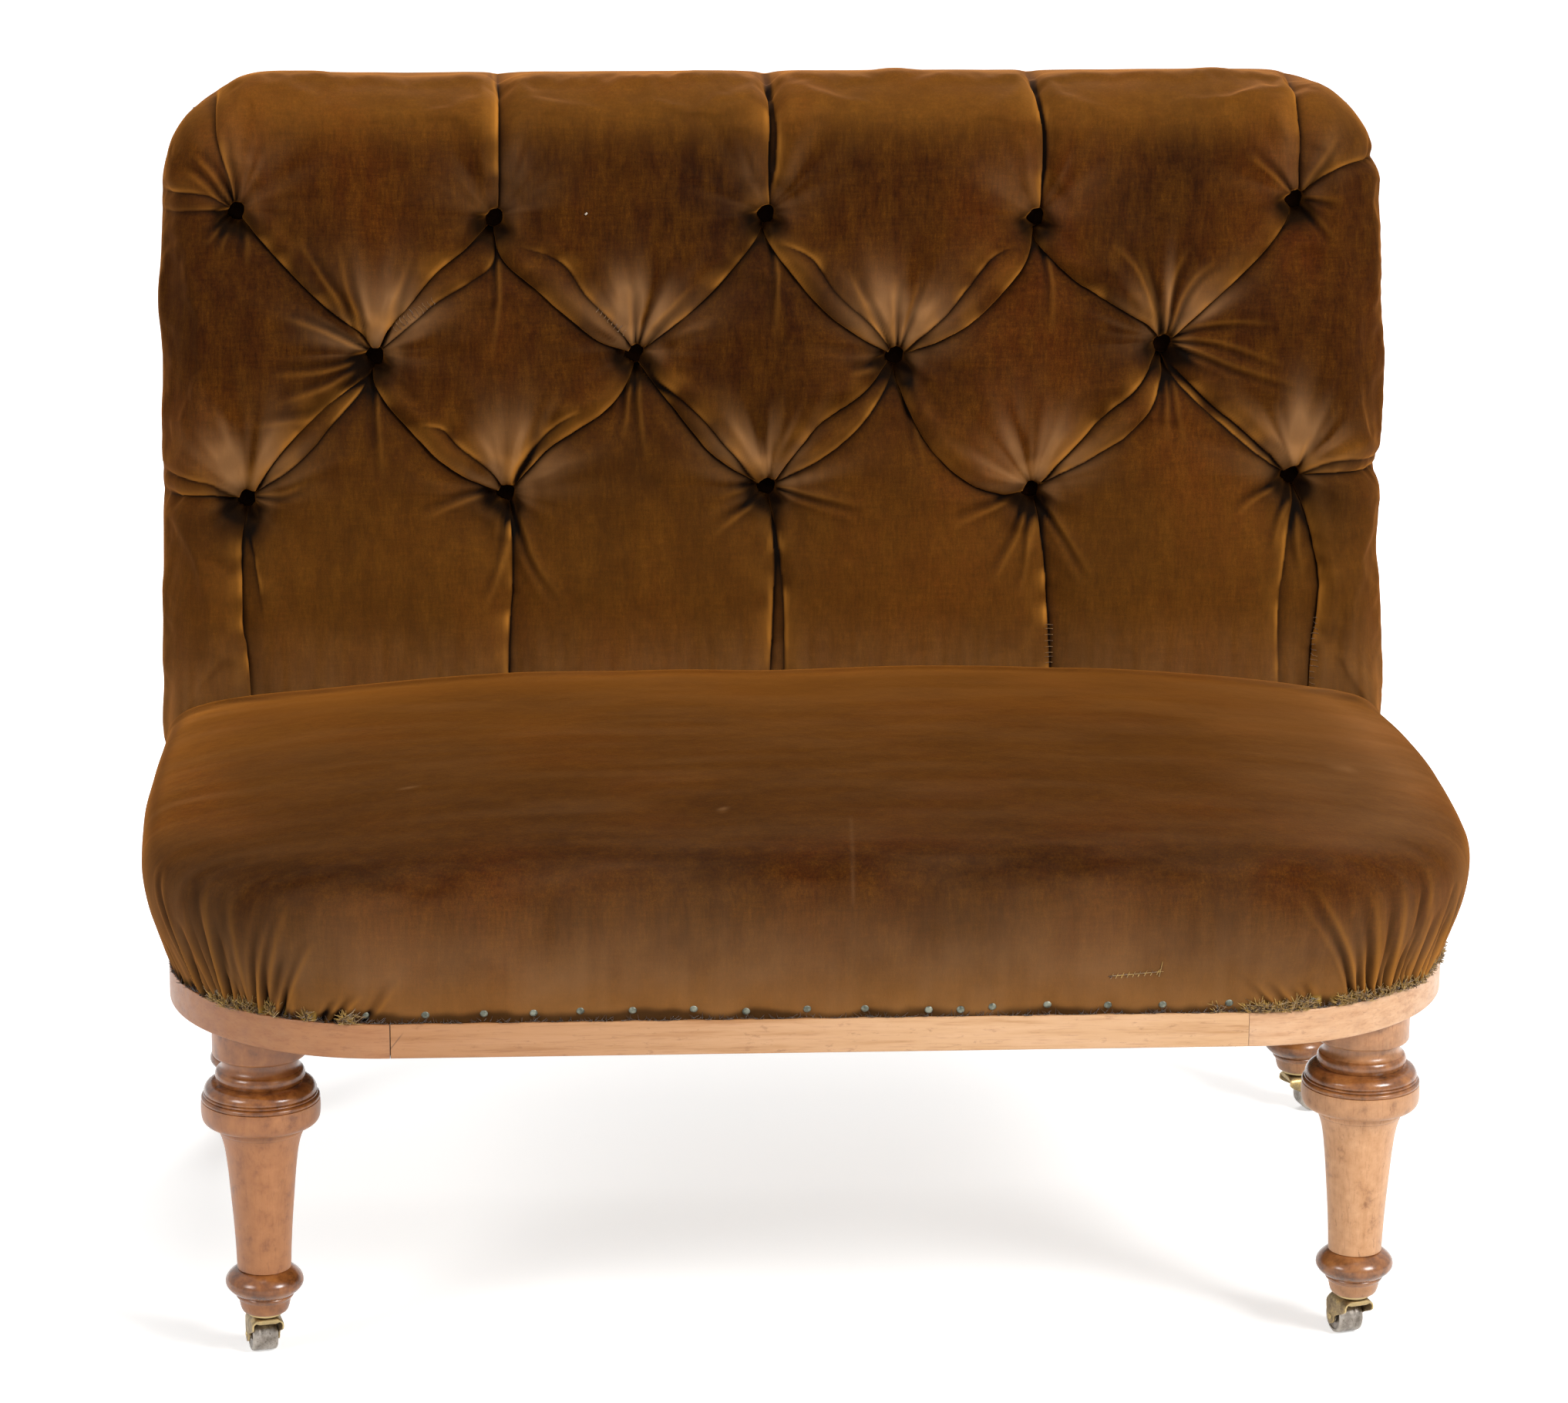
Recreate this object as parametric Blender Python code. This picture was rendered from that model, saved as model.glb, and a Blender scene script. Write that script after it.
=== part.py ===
"""Button back sofa: show-wood seat frame on turned legs with castors, sprung seat, deep-buttoned back.

Metres, +Z up, the front faces -Y. The origin is on the floor under the middle of the overall box.
"""

import math

import bmesh
import bpy
import numpy as np
from mathutils import Vector

# Clearances
GAP = 0.0003
SIDE_PLAY = 0.0005
OVERRUN = 0.012
MERGE_DISTANCE = 0.00001
LEAST_RADIUS = 0.001

# Seat frame: a rebated rail with a show-wood band below the velvet
RAIL_WIDTH = 1.059
RAIL_DEPTH = 0.705
RAIL_HEIGHT = 0.072
RAIL_THICKNESS = 0.045
SHOW_BAND = 0.029
REBATE = 0.007
FRONT_RADIUS = 0.180
FRONT_TAIL = 0.004
REAR_RADIUS = 0.035
REAR_TAIL = 0.070

# Legs: places in the corner pieces, then the turned profile
FRONT_LEG_SHARE = 0.505
REAR_LEG_SHARE = 0.412
FRONT_LEG_SKEW = 0.0068
REAR_LEG_SKEW = 0.0088
LEG_LENGTH = 0.2486
BLOCK_RADIUS = 0.0387
NECK_RADIUS = 0.0312
NECK_BEAD_RADIUS = 0.0365
BAND_RADIUS = 0.0485
SHAFT_TOP_RADIUS = 0.032
SHAFT_FOOT_RADIUS = 0.0222
FOOT_RING_RADIUS = 0.032
CUP_TOP_RADIUS = 0.0215
CUP_FOOT_RADIUS = 0.0190
DOWEL_RADIUS = 0.0125
DOWEL_RAIL_SHARE = 0.52

# Castors
CASTOR_HEIGHT = 0.0405
WHEEL_RADIUS = 0.0146
WHEEL_WIDTH = 0.0215
WHEEL_CHAMFER = 0.002
CASTOR_TRAIL = 0.0145
CASTOR_PLATE_RADIUS = 0.0145
CASTOR_PLATE_THICKNESS = 0.0025
STEM_RADIUS = 0.004
STEM_LENGTH = 0.030
RIVET_RADIUS = 0.0055
RIVET_THICKNESS = 0.0012
BOSS_RADIUS = 0.0133
BOSS_THICKNESS = 0.0075
CHEEK_THICKNESS = 0.0025
CHEEK_EYE_RADIUS = 0.0065
AXLE_RADIUS = 0.002
AXLE_END = 0.0008
CASTOR_HEADINGS = {"front_left": 12.0, "front_right": 17.0, "rear_left": 24.0, "rear_right": -75.0}

# Seat stuffing and springs
SEAT_BULGE = 0.022
STUFFING = 0.0535
SEAT_END_DROP = 0.034
SEAT_FRONT_DROP = 0.014
SEAT_REAR_DROP = 0.020
SEAT_REAR_RADIUS = 0.012
WEB_WIDTH = 0.050
WEB_THICKNESS = 0.0015
WEB_FIRST_SHARE = 0.36
WEBS_ALONG = 4
WEBS_ACROSS = 7
CANVAS_THICKNESS = 0.0015
CANVAS_LAP = 0.010
CANVAS_SLOPE = 0.045
SPRING_HEIGHT = 0.125
SPRING_RADIUS = 0.043
SPRING_WAIST_RADIUS = 0.030
SPRING_WIRE_RADIUS = 0.0018
SPRING_TURNS = 4
SPRING_COLUMNS = 4
SPRING_ROWS = 2

# Back frame
RAKE_DEGREES = 8.0
POST_INSET = 0.0085
POST_WIDTH = 0.045
POST_DEPTH = 0.030
TENON_SHOULDER = 0.006
TENON_RAIL_SHARE = 0.30
TOP_RAIL_TAIL = 0.010
STUFFING_RAIL_RISE = 0.045
STUFFING_RAIL_HEIGHT = 0.050
STUFFING_RAIL_DEPTH = 0.027
BACK_WEB_LAP = 0.018
BACK_WEBS_ALONG = 3
BACK_WEBS_ACROSS = 7
COVER_THICKNESS = 0.003
COVER_INSET = 0.008

# Back pad
BACK_HEIGHT = 0.609
BACK_RADIUS = 0.105
BACK_OVERHANG = 0.0305
BACK_TAPER = 0.008
BACK_TUCK = 0.024
BACK_TUCK_HEIGHT = 0.070
BACK_ROLL = 0.022
PAD_DEPTH = 0.075
PAD_EDGE_ROUND = 0.055
PAD_FOOT_ROUND = 0.014
PIT_DEPTH = 0.052
PIT_REACH = 0.040
PLEAT_DEPTH = 0.022
PLEAT_REACH = 0.016
SIDE_PLEAT_SHARE = 0.6
BUTTON_RADIUS = 0.011
BUTTON_THICKNESS = 0.006
BUTTON_SEAT = 0.0125
BUTTON_EDGE = 0.078
TOP_BUTTON_DROP = 0.131
BUTTON_ROW_PITCH = 0.1235
LOWEST_PLEAT_RISE = 0.085
WIDE_ROW_BUTTONS = 5
# How far each button was tied off the even lattice, across and up, in shares of the button pitch
TIE_REACH_SHARE = 0.21
TIE_SHARES = (
    (-0.034, 0.046), (-0.063, 0.017), (-0.036, 0.025), (-0.008, 0.008), (-0.017, 0.072),
    (-0.021, 0.021), (-0.034, 0.021), (-0.044, 0.008), (-0.019, 0.046),
    (-0.013, 0.0), (-0.030, 0.015), (-0.036, 0.030), (-0.025, 0.011), (-0.019, 0.059),
)

# Heights and places worked out from the sizes above
RAIL_BOTTOM = CASTOR_HEIGHT + LEG_LENGTH
LEDGE = RAIL_BOTTOM + SHOW_BAND
RAIL_TOP = RAIL_BOTTOM + RAIL_HEIGHT
CANVAS_TOP = RAIL_TOP + GAP + CANVAS_THICKNESS
PLATEAU = RAIL_BOTTOM + SPRING_HEIGHT
SEAT_CROWN = PLATEAU + CANVAS_THICKNESS + 2 * GAP + STUFFING
RAKE = math.radians(RAKE_DEGREES)
HALF_RAIL = RAIL_WIDTH / 2
BACK_FOOT_DEPTH = RAIL_DEPTH - REBATE - POST_DEPTH / math.cos(RAKE)
BACK_REACH = max(
    BACK_FOOT_DEPTH + BACK_HEIGHT * math.sin(RAKE) + POST_DEPTH * math.cos(RAKE),
    BACK_FOOT_DEPTH + (BACK_HEIGHT - COVER_INSET) * math.sin(RAKE)
    + (POST_DEPTH + GAP + COVER_THICKNESS) * math.cos(RAKE),
)
FRONT = (SEAT_BULGE - BACK_REACH) / 2
REAR = FRONT + RAIL_DEPTH
BACK_FOOT = FRONT + BACK_FOOT_DEPTH
PAD_REAR = GAP + WEB_THICKNESS + GAP
BUTTON_PITCH = 2 * (HALF_RAIL + BACK_OVERHANG - BACK_TAPER - BUTTON_EDGE) / (WIDE_ROW_BUTTONS - 1)
TOP_ROW = BACK_HEIGHT - TOP_BUTTON_DROP
MIDDLE_ROW = TOP_ROW - BUTTON_ROW_PITCH
LOW_ROW = MIDDLE_ROW - BUTTON_ROW_PITCH
FRAME_TOP = BACK_HEIGHT - BACK_ROLL
FRAME_RADIUS = BACK_RADIUS - BACK_ROLL
FRAME_HALF = HALF_RAIL - POST_INSET
TOP_RAIL_FOOT = FRAME_TOP - FRAME_RADIUS - TOP_RAIL_TAIL
WHEEL_FACETS = 24
AXLE_HEIGHT = WHEEL_RADIUS * math.cos(math.pi / WHEEL_FACETS)

# Facet counts
TURNED_FACETS = 18
PIN_FACETS = 12
BOSS_FACETS = 16
CORNER_STEPS = 9
BUTTON_FACETS = 10
COIL_STEPS = 8


def clear_objects():
    """Remove whatever objects the file holds."""
    for item in list(bpy.data.objects):
        bpy.data.objects.remove(item, do_unlink=True)


def make_finish(name, colour, roughness, metallic=0.0):
    """A plain Principled finish, its colour in linear light."""
    finish = bpy.data.materials.new(name)
    finish.use_nodes = True
    shader = finish.node_tree.nodes["Principled BSDF"]
    shader.inputs["Base Color"].default_value = (*colour, 1.0)
    shader.inputs["Roughness"].default_value = roughness
    shader.inputs["Metallic"].default_value = metallic
    finish.diffuse_color = (*colour, 1.0)
    return finish


def add_piece(name, shape, finish, rounded=False):
    """Turn a bmesh into a named object with one finish."""
    bmesh.ops.remove_doubles(shape, verts=shape.verts, dist=MERGE_DISTANCE)
    bmesh.ops.recalc_face_normals(shape, faces=shape.faces)
    mesh = bpy.data.meshes.new(name)
    shape.to_mesh(mesh)
    shape.free()
    mesh.materials.append(finish)
    if rounded:
        mesh.shade_smooth()
        mesh.set_sharp_from_angle(angle=math.radians(35))
    piece = bpy.data.objects.new(name, mesh)
    bpy.context.collection.objects.link(piece)
    return piece


def add_cutter(name, shape):
    """A guide solid that only cuts others."""
    cutter = add_piece(name, shape, None)
    cutter.hide_render = True
    cutter.display_type = "WIRE"
    return cutter


def combine(piece, other, operation="DIFFERENCE"):
    """Cut a piece with another, or join the two."""
    change = piece.modifiers.new(other.name, "BOOLEAN")
    change.operation = operation
    change.solver = "EXACT"
    change.object = other


def evaluated_copy(piece):
    """The mesh of a piece with its modifiers applied."""
    graph = bpy.context.evaluated_depsgraph_get()
    return bpy.data.meshes.new_from_object(piece.evaluated_get(graph))


def loft(rings, capped=True, closed=False):
    """Skin a list of rings that have the same number of points."""
    shape = bmesh.new()
    rows = [[shape.verts.new(point) for point in ring] for ring in rings]
    if closed:
        rows.append(rows[0])
    for low, high in zip(rows, rows[1:]):
        for here in range(len(low)):
            there = (here + 1) % len(low)
            shape.faces.new((low[here], low[there], high[there], high[here]))
    if capped and not closed:
        shape.faces.new(rows[0][::-1])
        shape.faces.new(rows[-1])
    return shape


def turned(profile, facets, centre=(0.0, 0.0)):
    """Turn a profile of (radius, height) round a vertical axis, one flat facing each way along X and Y."""
    angles = (np.arange(facets) + 0.5) * 2 * math.pi / facets
    rings = []
    for radius, height in profile:
        rings.append([(centre[0] + radius * math.cos(a), centre[1] + radius * math.sin(a), height)
                      for a in angles])
    return loft(rings)


def prism(outline, low, high):
    """Raise a flat outline of (x, y) between two heights."""
    return loft([[(x, y, low) for x, y in outline], [(x, y, high) for x, y in outline]])


def box(low, high):
    """A box between two corners."""
    outline = [(low[0], low[1]), (high[0], low[1]), (high[0], high[1]), (low[0], high[1])]
    return prism(outline, low[2], high[2])


def bore_radius(pin_radius, facets, gap=GAP):
    """Radius of a faceted bore in which a faceted pin can turn."""
    return (pin_radius + gap) / math.cos(math.pi / facets)


def arc(centre, radius, start, end, steps):
    """Points on an arc, angles in degrees, both ends included."""
    angles = np.radians(np.linspace(start, end, steps + 1))
    return [(centre[0] + radius * math.cos(a), centre[1] + radius * math.sin(a)) for a in angles]


def corner_sections(side, front, radius, tail):
    """Rail sections along a sawn corner piece: rounded and rebated outside, a straight chord inside."""
    reach = radius + tail
    turns = np.radians(np.linspace(0, 90, CORNER_STEPS + 1))

    def plan(inset):
        """Plan line a distance inside the outer faces."""
        bend = radius - inset
        return ([(inset, reach)] + [(radius - bend * math.cos(a), radius - bend * math.sin(a)) for a in turns]
                + [(reach, inset)])

    outer = plan(0.0)
    rebated = plan(REBATE)
    chord = zip(np.linspace(RAIL_THICKNESS, reach, len(outer)), np.linspace(reach, RAIL_THICKNESS, len(outer)))
    edge, inward = (FRONT, 1) if front else (REAR, -1)
    sections = []
    for face, step, inner in zip(outer, rebated, chord):
        corners = ((face, RAIL_BOTTOM), (face, LEDGE), (step, LEDGE), (step, RAIL_TOP), (inner, RAIL_TOP),
                   (inner, RAIL_BOTTOM))
        sections.append([(side * (HALF_RAIL - x), edge + inward * y, height) for (x, y), height in corners])
    return sections


def leg_place(side, front):
    """Axis of a leg, a share of the way from the corner piece's chord to its outer face."""
    radius = FRONT_RADIUS if front else REAR_RADIUS
    tail = FRONT_TAIL if front else REAR_TAIL
    share = FRONT_LEG_SHARE if front else REAR_LEG_SHARE
    chord = (radius + tail + RAIL_THICKNESS) / 2
    face = radius * (1 - math.sqrt(0.5))
    away = chord + share * (face - chord)
    skew = FRONT_LEG_SKEW if front else REAR_LEG_SKEW
    x = side * (HALF_RAIL - away + skew)
    return (x, FRONT + away + skew) if front else (x, REAR - away - skew)


def on_back(u, v, w):
    """World point of the raked back: u across, v up the slope from the rail top, w out of its front face."""
    return (u, BACK_FOOT + v * math.sin(RAKE) - w * math.cos(RAKE),
            RAIL_TOP + v * math.cos(RAKE) + w * math.sin(RAKE))


def back_plane(height, w):
    """Depth of the back's parallel plane w at a height."""
    v = (height - RAIL_TOP - w * math.sin(RAKE)) / math.cos(RAKE)
    return BACK_FOOT + v * math.sin(RAKE) - w * math.cos(RAKE)


def rounded_outline(half, front, rear, front_radius, rear_radius):
    """Plan outline with rounded corners, from the left end of the front, the same count at any size."""
    front_turn = max(front_radius, LEAST_RADIUS)
    rear_turn = max(rear_radius, LEAST_RADIUS)
    points = arc((-half + front_turn, front + front_turn), front_turn, 180, 270, CORNER_STEPS)
    points += [(x, front) for x in np.linspace(-half + front_turn, half - front_turn, 10)[1:-1]]
    points += arc((half - front_turn, front + front_turn), front_turn, 270, 360, CORNER_STEPS)
    points += [(half, y) for y in np.linspace(front + front_turn, rear - rear_turn, 6)[1:-1]]
    points += arc((half - rear_turn, rear - rear_turn), rear_turn, 0, 90, 3)
    points += [(x, rear) for x in np.linspace(half - rear_turn, -half + rear_turn, 10)[1:-1]]
    points += arc((-half + rear_turn, rear - rear_turn), rear_turn, 90, 180, 3)
    points += [(-half, y) for y in np.linspace(rear - rear_turn, front + front_turn, 6)[1:-1]]
    return np.array(points)


def make_seat_frame(wood):
    """Eight rebated pieces of rail: four straight, four sawn corners with their leg sockets."""
    front_reach = FRONT_RADIUS + FRONT_TAIL + GAP
    rear_reach = REAR_RADIUS + REAR_TAIL + GAP
    profile = [(0.0, RAIL_BOTTOM), (0.0, LEDGE), (REBATE, LEDGE), (REBATE, RAIL_TOP),
               (RAIL_THICKNESS, RAIL_TOP), (RAIL_THICKNESS, RAIL_BOTTOM)]
    for name, face, inward, reach in (("front_rail", FRONT, 1, front_reach), ("rear_rail", REAR, -1, rear_reach)):
        ends = (-HALF_RAIL + reach, HALF_RAIL - reach)
        rings = [[(x, face + inward * away, height) for away, height in profile] for x in ends]
        add_piece(name, loft(rings), wood)
    for label, side in (("left", -1), ("right", 1)):
        ends = (FRONT + front_reach, REAR - rear_reach)
        rings = [[(side * (HALF_RAIL - away), y, height) for away, height in profile] for y in ends]
        add_piece(f"side_rail_{label}", loft(rings), wood)
        for place, front, radius, tail in (("front", True, FRONT_RADIUS, FRONT_TAIL),
                                           ("rear", False, REAR_RADIUS, REAR_TAIL)):
            corner = add_piece(f"{place}_corner_{label}", loft(corner_sections(side, front, radius, tail)), wood)
            top = RAIL_BOTTOM + DOWEL_RAIL_SHARE * RAIL_HEIGHT + GAP
            socket = turned([(DOWEL_RADIUS + GAP, RAIL_BOTTOM - OVERRUN), (DOWEL_RADIUS + GAP, top)],
                            TURNED_FACETS, leg_place(side, front))
            combine(corner, add_cutter(f"leg_socket_{place}_{label}", socket))
            if not front:
                mortise = tenon_box(side, GAP, OVERRUN)
                combine(corner, add_cutter(f"post_mortise_{label}", mortise))


def tenon_box(side, gap, above):
    """The post's tenon, or its mortise when gap and above are given."""
    shoulder = TENON_SHOULDER
    y_low = BACK_FOOT + shoulder - gap
    y_high = BACK_FOOT + POST_DEPTH / math.cos(RAKE) - shoulder + gap
    x_outer = side * (FRAME_HALF - shoulder + gap)
    x_inner = side * (FRAME_HALF - POST_WIDTH + shoulder - gap)
    bottom = RAIL_TOP - TENON_RAIL_SHARE * RAIL_HEIGHT - gap
    return box((min(x_outer, x_inner), y_low, bottom), (max(x_outer, x_inner), y_high, RAIL_TOP + above))


def leg_profile():
    """Turned leg from the bore for the castor stem, down round the foot and up to the dowel."""
    turning_shares = (
        (0.0, CUP_FOOT_RADIUS, 1.0), (0.047, CUP_TOP_RADIUS, 1.0), (0.060, FOOT_RING_RADIUS, 0.73),
        (0.102, FOOT_RING_RADIUS, 1.0), (0.119, FOOT_RING_RADIUS, 0.975), (0.144, FOOT_RING_RADIUS, 0.735),
        (0.153, SHAFT_FOOT_RADIUS, 1.0), (0.319, SHAFT_FOOT_RADIUS, 1.10), (0.487, SHAFT_TOP_RADIUS, 0.875),
        (0.617, SHAFT_TOP_RADIUS, 1.0), (0.648, SHAFT_TOP_RADIUS, 1.045), (0.670, BAND_RADIUS, 0.915),
        (0.692, BAND_RADIUS, 1.0), (0.750, BAND_RADIUS, 1.0), (0.779, BAND_RADIUS, 0.960),
        (0.804, BAND_RADIUS, 0.890), (0.826, NECK_BEAD_RADIUS, 1.0), (0.850, NECK_BEAD_RADIUS, 0.978),
        (0.870, NECK_RADIUS, 1.0), (0.900, NECK_RADIUS, 1.0), (0.902, BLOCK_RADIUS, 1.0),
    )
    foot = CASTOR_HEIGHT
    bore = STEM_RADIUS + GAP
    top = RAIL_BOTTOM - GAP
    profile = [(bore, foot + STEM_LENGTH + GAP), (bore, foot)]
    profile += [(radius * radius_share, foot + height_share * LEG_LENGTH)
                for height_share, radius, radius_share in turning_shares]
    profile += [(BLOCK_RADIUS, top), (DOWEL_RADIUS, top),
                (DOWEL_RADIUS, RAIL_BOTTOM + DOWEL_RAIL_SHARE * RAIL_HEIGHT)]
    return profile


def make_legs(wood):
    """Four turned legs, their dowels in line with the sockets."""
    profile = leg_profile()
    for place, front in (("front", True), ("rear", False)):
        for label, side in (("left", -1), ("right", 1)):
            leg = turned(profile, TURNED_FACETS, leg_place(side, front))
            add_piece(f"{place}_leg_{label}", leg, wood, rounded=True)


def castor_meshes(brass):
    """Plate with stem, forked horn, wheel and axle, each about its own axis."""
    plate_foot = CASTOR_HEIGHT - CASTOR_PLATE_THICKNESS
    boss_top = plate_foot - GAP
    boss_foot = boss_top - BOSS_THICKNESS
    rivet_top = boss_foot - GAP
    plate = add_piece("plate_pattern", turned([
        (RIVET_RADIUS, rivet_top - RIVET_THICKNESS), (RIVET_RADIUS, rivet_top), (STEM_RADIUS, rivet_top),
        (STEM_RADIUS, plate_foot), (CASTOR_PLATE_RADIUS, plate_foot),
        (CASTOR_PLATE_RADIUS, CASTOR_HEIGHT - GAP), (STEM_RADIUS, CASTOR_HEIGHT - GAP),
        (STEM_RADIUS, CASTOR_HEIGHT + STEM_LENGTH)], TURNED_FACETS), brass, rounded=True)

    half_slot = WHEEL_WIDTH / 2 + SIDE_PLAY
    half_horn = half_slot + CHEEK_THICKNESS
    horn = add_piece("horn_pattern", turned([(BOSS_RADIUS, boss_foot), (BOSS_RADIUS, boss_top)], BOSS_FACETS),
                     brass, rounded=True)
    eye = arc((CASTOR_TRAIL, AXLE_HEIGHT), CHEEK_EYE_RADIUS, -150, 20, 7)
    throat_share = 0.7
    throat = BOSS_RADIUS * math.cos(math.pi / BOSS_FACETS) * throat_share
    side_view = [(-throat, boss_top - BOSS_THICKNESS / 3), (-throat, boss_foot)] + eye
    side_view += [(CASTOR_TRAIL + CHEEK_EYE_RADIUS / 2, boss_foot),
                  (BOSS_RADIUS, boss_foot + BOSS_THICKNESS / 3), (throat, boss_top - BOSS_THICKNESS / 3)]
    rings = [[(x, y, z) for y, z in side_view] for x in (-half_horn, half_horn)]
    cheeks = add_cutter("cheek_cutter", loft(rings))
    combine(horn, cheeks, "UNION")
    slot = add_cutter("slot_cutter", box((-half_slot, -BOSS_RADIUS * 2, -OVERRUN),
                                         (half_slot, CASTOR_TRAIL * 3, boss_foot)))
    combine(horn, slot)
    bore = bore_radius(STEM_RADIUS, TURNED_FACETS)
    swivel = add_cutter("swivel_cutter", turned([(bore, boss_foot - OVERRUN), (bore, boss_top + OVERRUN)],
                                                TURNED_FACETS))
    combine(horn, swivel)
    angles = (np.arange(PIN_FACETS) + 0.5) * 2 * math.pi / PIN_FACETS
    hole = AXLE_RADIUS + GAP
    rings = [[(x, CASTOR_TRAIL + hole * math.cos(a), AXLE_HEIGHT + hole * math.sin(a)) for a in angles]
             for x in (-half_horn - OVERRUN, half_horn + OVERRUN)]
    combine(horn, add_cutter("axle_cutter", loft(rings)))

    end = half_horn + AXLE_END
    rings = [[(x, AXLE_RADIUS * math.cos(a), AXLE_RADIUS * math.sin(a)) for a in angles] for x in (-end, end)]
    axle = add_piece("axle_pattern", loft(rings), brass, rounded=True)

    half = WHEEL_WIDTH / 2
    eased = WHEEL_RADIUS - WHEEL_CHAMFER
    hub = bore_radius(AXLE_RADIUS, PIN_FACETS)
    section = [(hub, -half), (eased, -half), (WHEEL_RADIUS, -half + WHEEL_CHAMFER),
               (WHEEL_RADIUS, half - WHEEL_CHAMFER), (eased, half), (hub, half)]
    turns = (np.arange(WHEEL_FACETS) + 0.5) * 2 * math.pi / WHEEL_FACETS - math.pi / 2
    rings = [[(x, radius * math.cos(a), radius * math.sin(a)) for a in turns] for radius, x in section]
    wheel = add_piece("wheel_pattern", loft(rings, closed=True), brass, rounded=True)

    patterns = {"plate": plate, "horn": horn, "axle": axle, "wheel": wheel}
    meshes = {name: evaluated_copy(piece) for name, piece in patterns.items()}
    for leftover in (*patterns.values(), *[o for o in bpy.data.objects if o.name.endswith("_cutter")]):
        bpy.data.objects.remove(leftover, do_unlink=True)
    return meshes


def make_castors(brass):
    """Four swivelling castors, each horn and wheel about its own joint axis."""
    meshes = castor_meshes(brass)
    for place, front in (("front", True), ("rear", False)):
        for label, side in (("left", -1), ("right", 1)):
            corner = f"{place}_{label}"
            x, y = leg_place(side, front)
            heading = math.radians(CASTOR_HEADINGS[corner])
            swivel = bpy.data.objects.new(f"castor_axis_{corner}", None)
            swivel.location = (x, y, 0.0)
            swivel.rotation_euler.z = heading
            bpy.context.collection.objects.link(swivel)
            for part in ("plate", "horn", "axle", "wheel"):
                piece = bpy.data.objects.new(f"castor_{part}_{corner}", meshes[part])
                bpy.context.collection.objects.link(piece)
                if part == "plate":
                    piece.location = (x, y, 0.0)
                else:
                    piece.parent = swivel
                if part in ("axle", "wheel"):
                    piece.location = (0.0, CASTOR_TRAIL, AXLE_HEIGHT)


def lattice(x_edges, y_edges, x_strips, y_strips, thickness):
    """Crossing strips fused to one sheet: a grid with only the cells under a strip filled, then thickened."""
    shape = bmesh.new()
    grid = [[shape.verts.new((x, y, 0.0)) for y in y_edges] for x in x_edges]
    for i in range(len(x_edges) - 1):
        for j in range(len(y_edges) - 1):
            if i in x_strips or j in y_strips:
                shape.faces.new((grid[i][j], grid[i + 1][j], grid[i + 1][j + 1], grid[i][j + 1]))
    loose = [corner for corner in shape.verts if not corner.link_faces]
    bmesh.ops.delete(shape, geom=loose, context="VERTS")
    raised = bmesh.ops.extrude_face_region(shape, geom=list(shape.faces))
    moved = [item for item in raised["geom"] if isinstance(item, bmesh.types.BMVert)]
    bmesh.ops.translate(shape, vec=Vector((0.0, 0.0, thickness)), verts=moved)
    return shape


def strip_edges(first, last, count):
    """Edges of evenly spaced strips, whose outer centre lines are at first and last."""
    edges = []
    for centre in np.linspace(first, last, count):
        edges += [centre - WEB_WIDTH / 2, centre + WEB_WIDTH / 2]
    return edges


def make_seat_webbing(jute):
    """Webbing tacked under the rails, kept clear of the leg blocks."""
    front_leg = leg_place(1, True)
    rear_leg = leg_place(1, False)
    lap = RAIL_THICKNESS * (1 - WEB_FIRST_SHARE)
    clear = BLOCK_RADIUS + WEB_WIDTH / 2 + lap
    across_reach = front_leg[0] - clear
    x_edges = [-HALF_RAIL + RAIL_THICKNESS - lap] + strip_edges(-across_reach, across_reach, WEBS_ACROSS)
    x_edges += [HALF_RAIL - RAIL_THICKNESS + lap]
    y_edges = [FRONT + RAIL_THICKNESS - lap]
    y_edges += strip_edges(front_leg[1] + clear, rear_leg[1] - clear, WEBS_ALONG)
    y_edges += [REAR - RAIL_THICKNESS + lap]
    x_strips = set(range(1, 2 * WEBS_ACROSS, 2))
    y_strips = set(range(1, 2 * WEBS_ALONG, 2))
    shape = lattice(x_edges, y_edges, x_strips, y_strips, WEB_THICKNESS)
    bmesh.ops.translate(shape, vec=Vector((0.0, 0.0, RAIL_BOTTOM - GAP - WEB_THICKNESS)), verts=shape.verts)
    add_piece("seat_webbing", shape, jute)


def make_back_webbing(jute):
    """Webbing on the front faces of the back frame."""
    inner = FRAME_HALF - POST_WIDTH
    low = STUFFING_RAIL_RISE + STUFFING_RAIL_HEIGHT
    reach = inner - 2 * WEB_WIDTH
    rise = (TOP_RAIL_FOOT - low) / (BACK_WEBS_ALONG + 1)
    x_edges = [-inner - BACK_WEB_LAP] + strip_edges(-reach, reach, BACK_WEBS_ACROSS) + [inner + BACK_WEB_LAP]
    y_edges = [low - BACK_WEB_LAP] + strip_edges(low + rise, TOP_RAIL_FOOT - rise, BACK_WEBS_ALONG)
    y_edges += [TOP_RAIL_FOOT + BACK_WEB_LAP]
    x_strips = set(range(1, 2 * BACK_WEBS_ACROSS, 2))
    y_strips = set(range(1, 2 * BACK_WEBS_ALONG, 2))
    shape = lattice(x_edges, y_edges, x_strips, y_strips, WEB_THICKNESS)
    for corner in shape.verts:
        corner.co = Vector(on_back(corner.co.x, corner.co.y, corner.co.z + GAP))
    add_piece("back_webbing", shape, jute)


def canvas_ring(side_inset, rear_depth, height):
    """Plan ring of the spring canvas, set in from the rail's outer faces."""
    outline = rounded_outline(HALF_RAIL - side_inset, FRONT + side_inset, FRONT + rear_depth,
                              FRONT_RADIUS - side_inset, REAR_RADIUS)
    return [(x, y, height) for x, y in outline]


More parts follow.
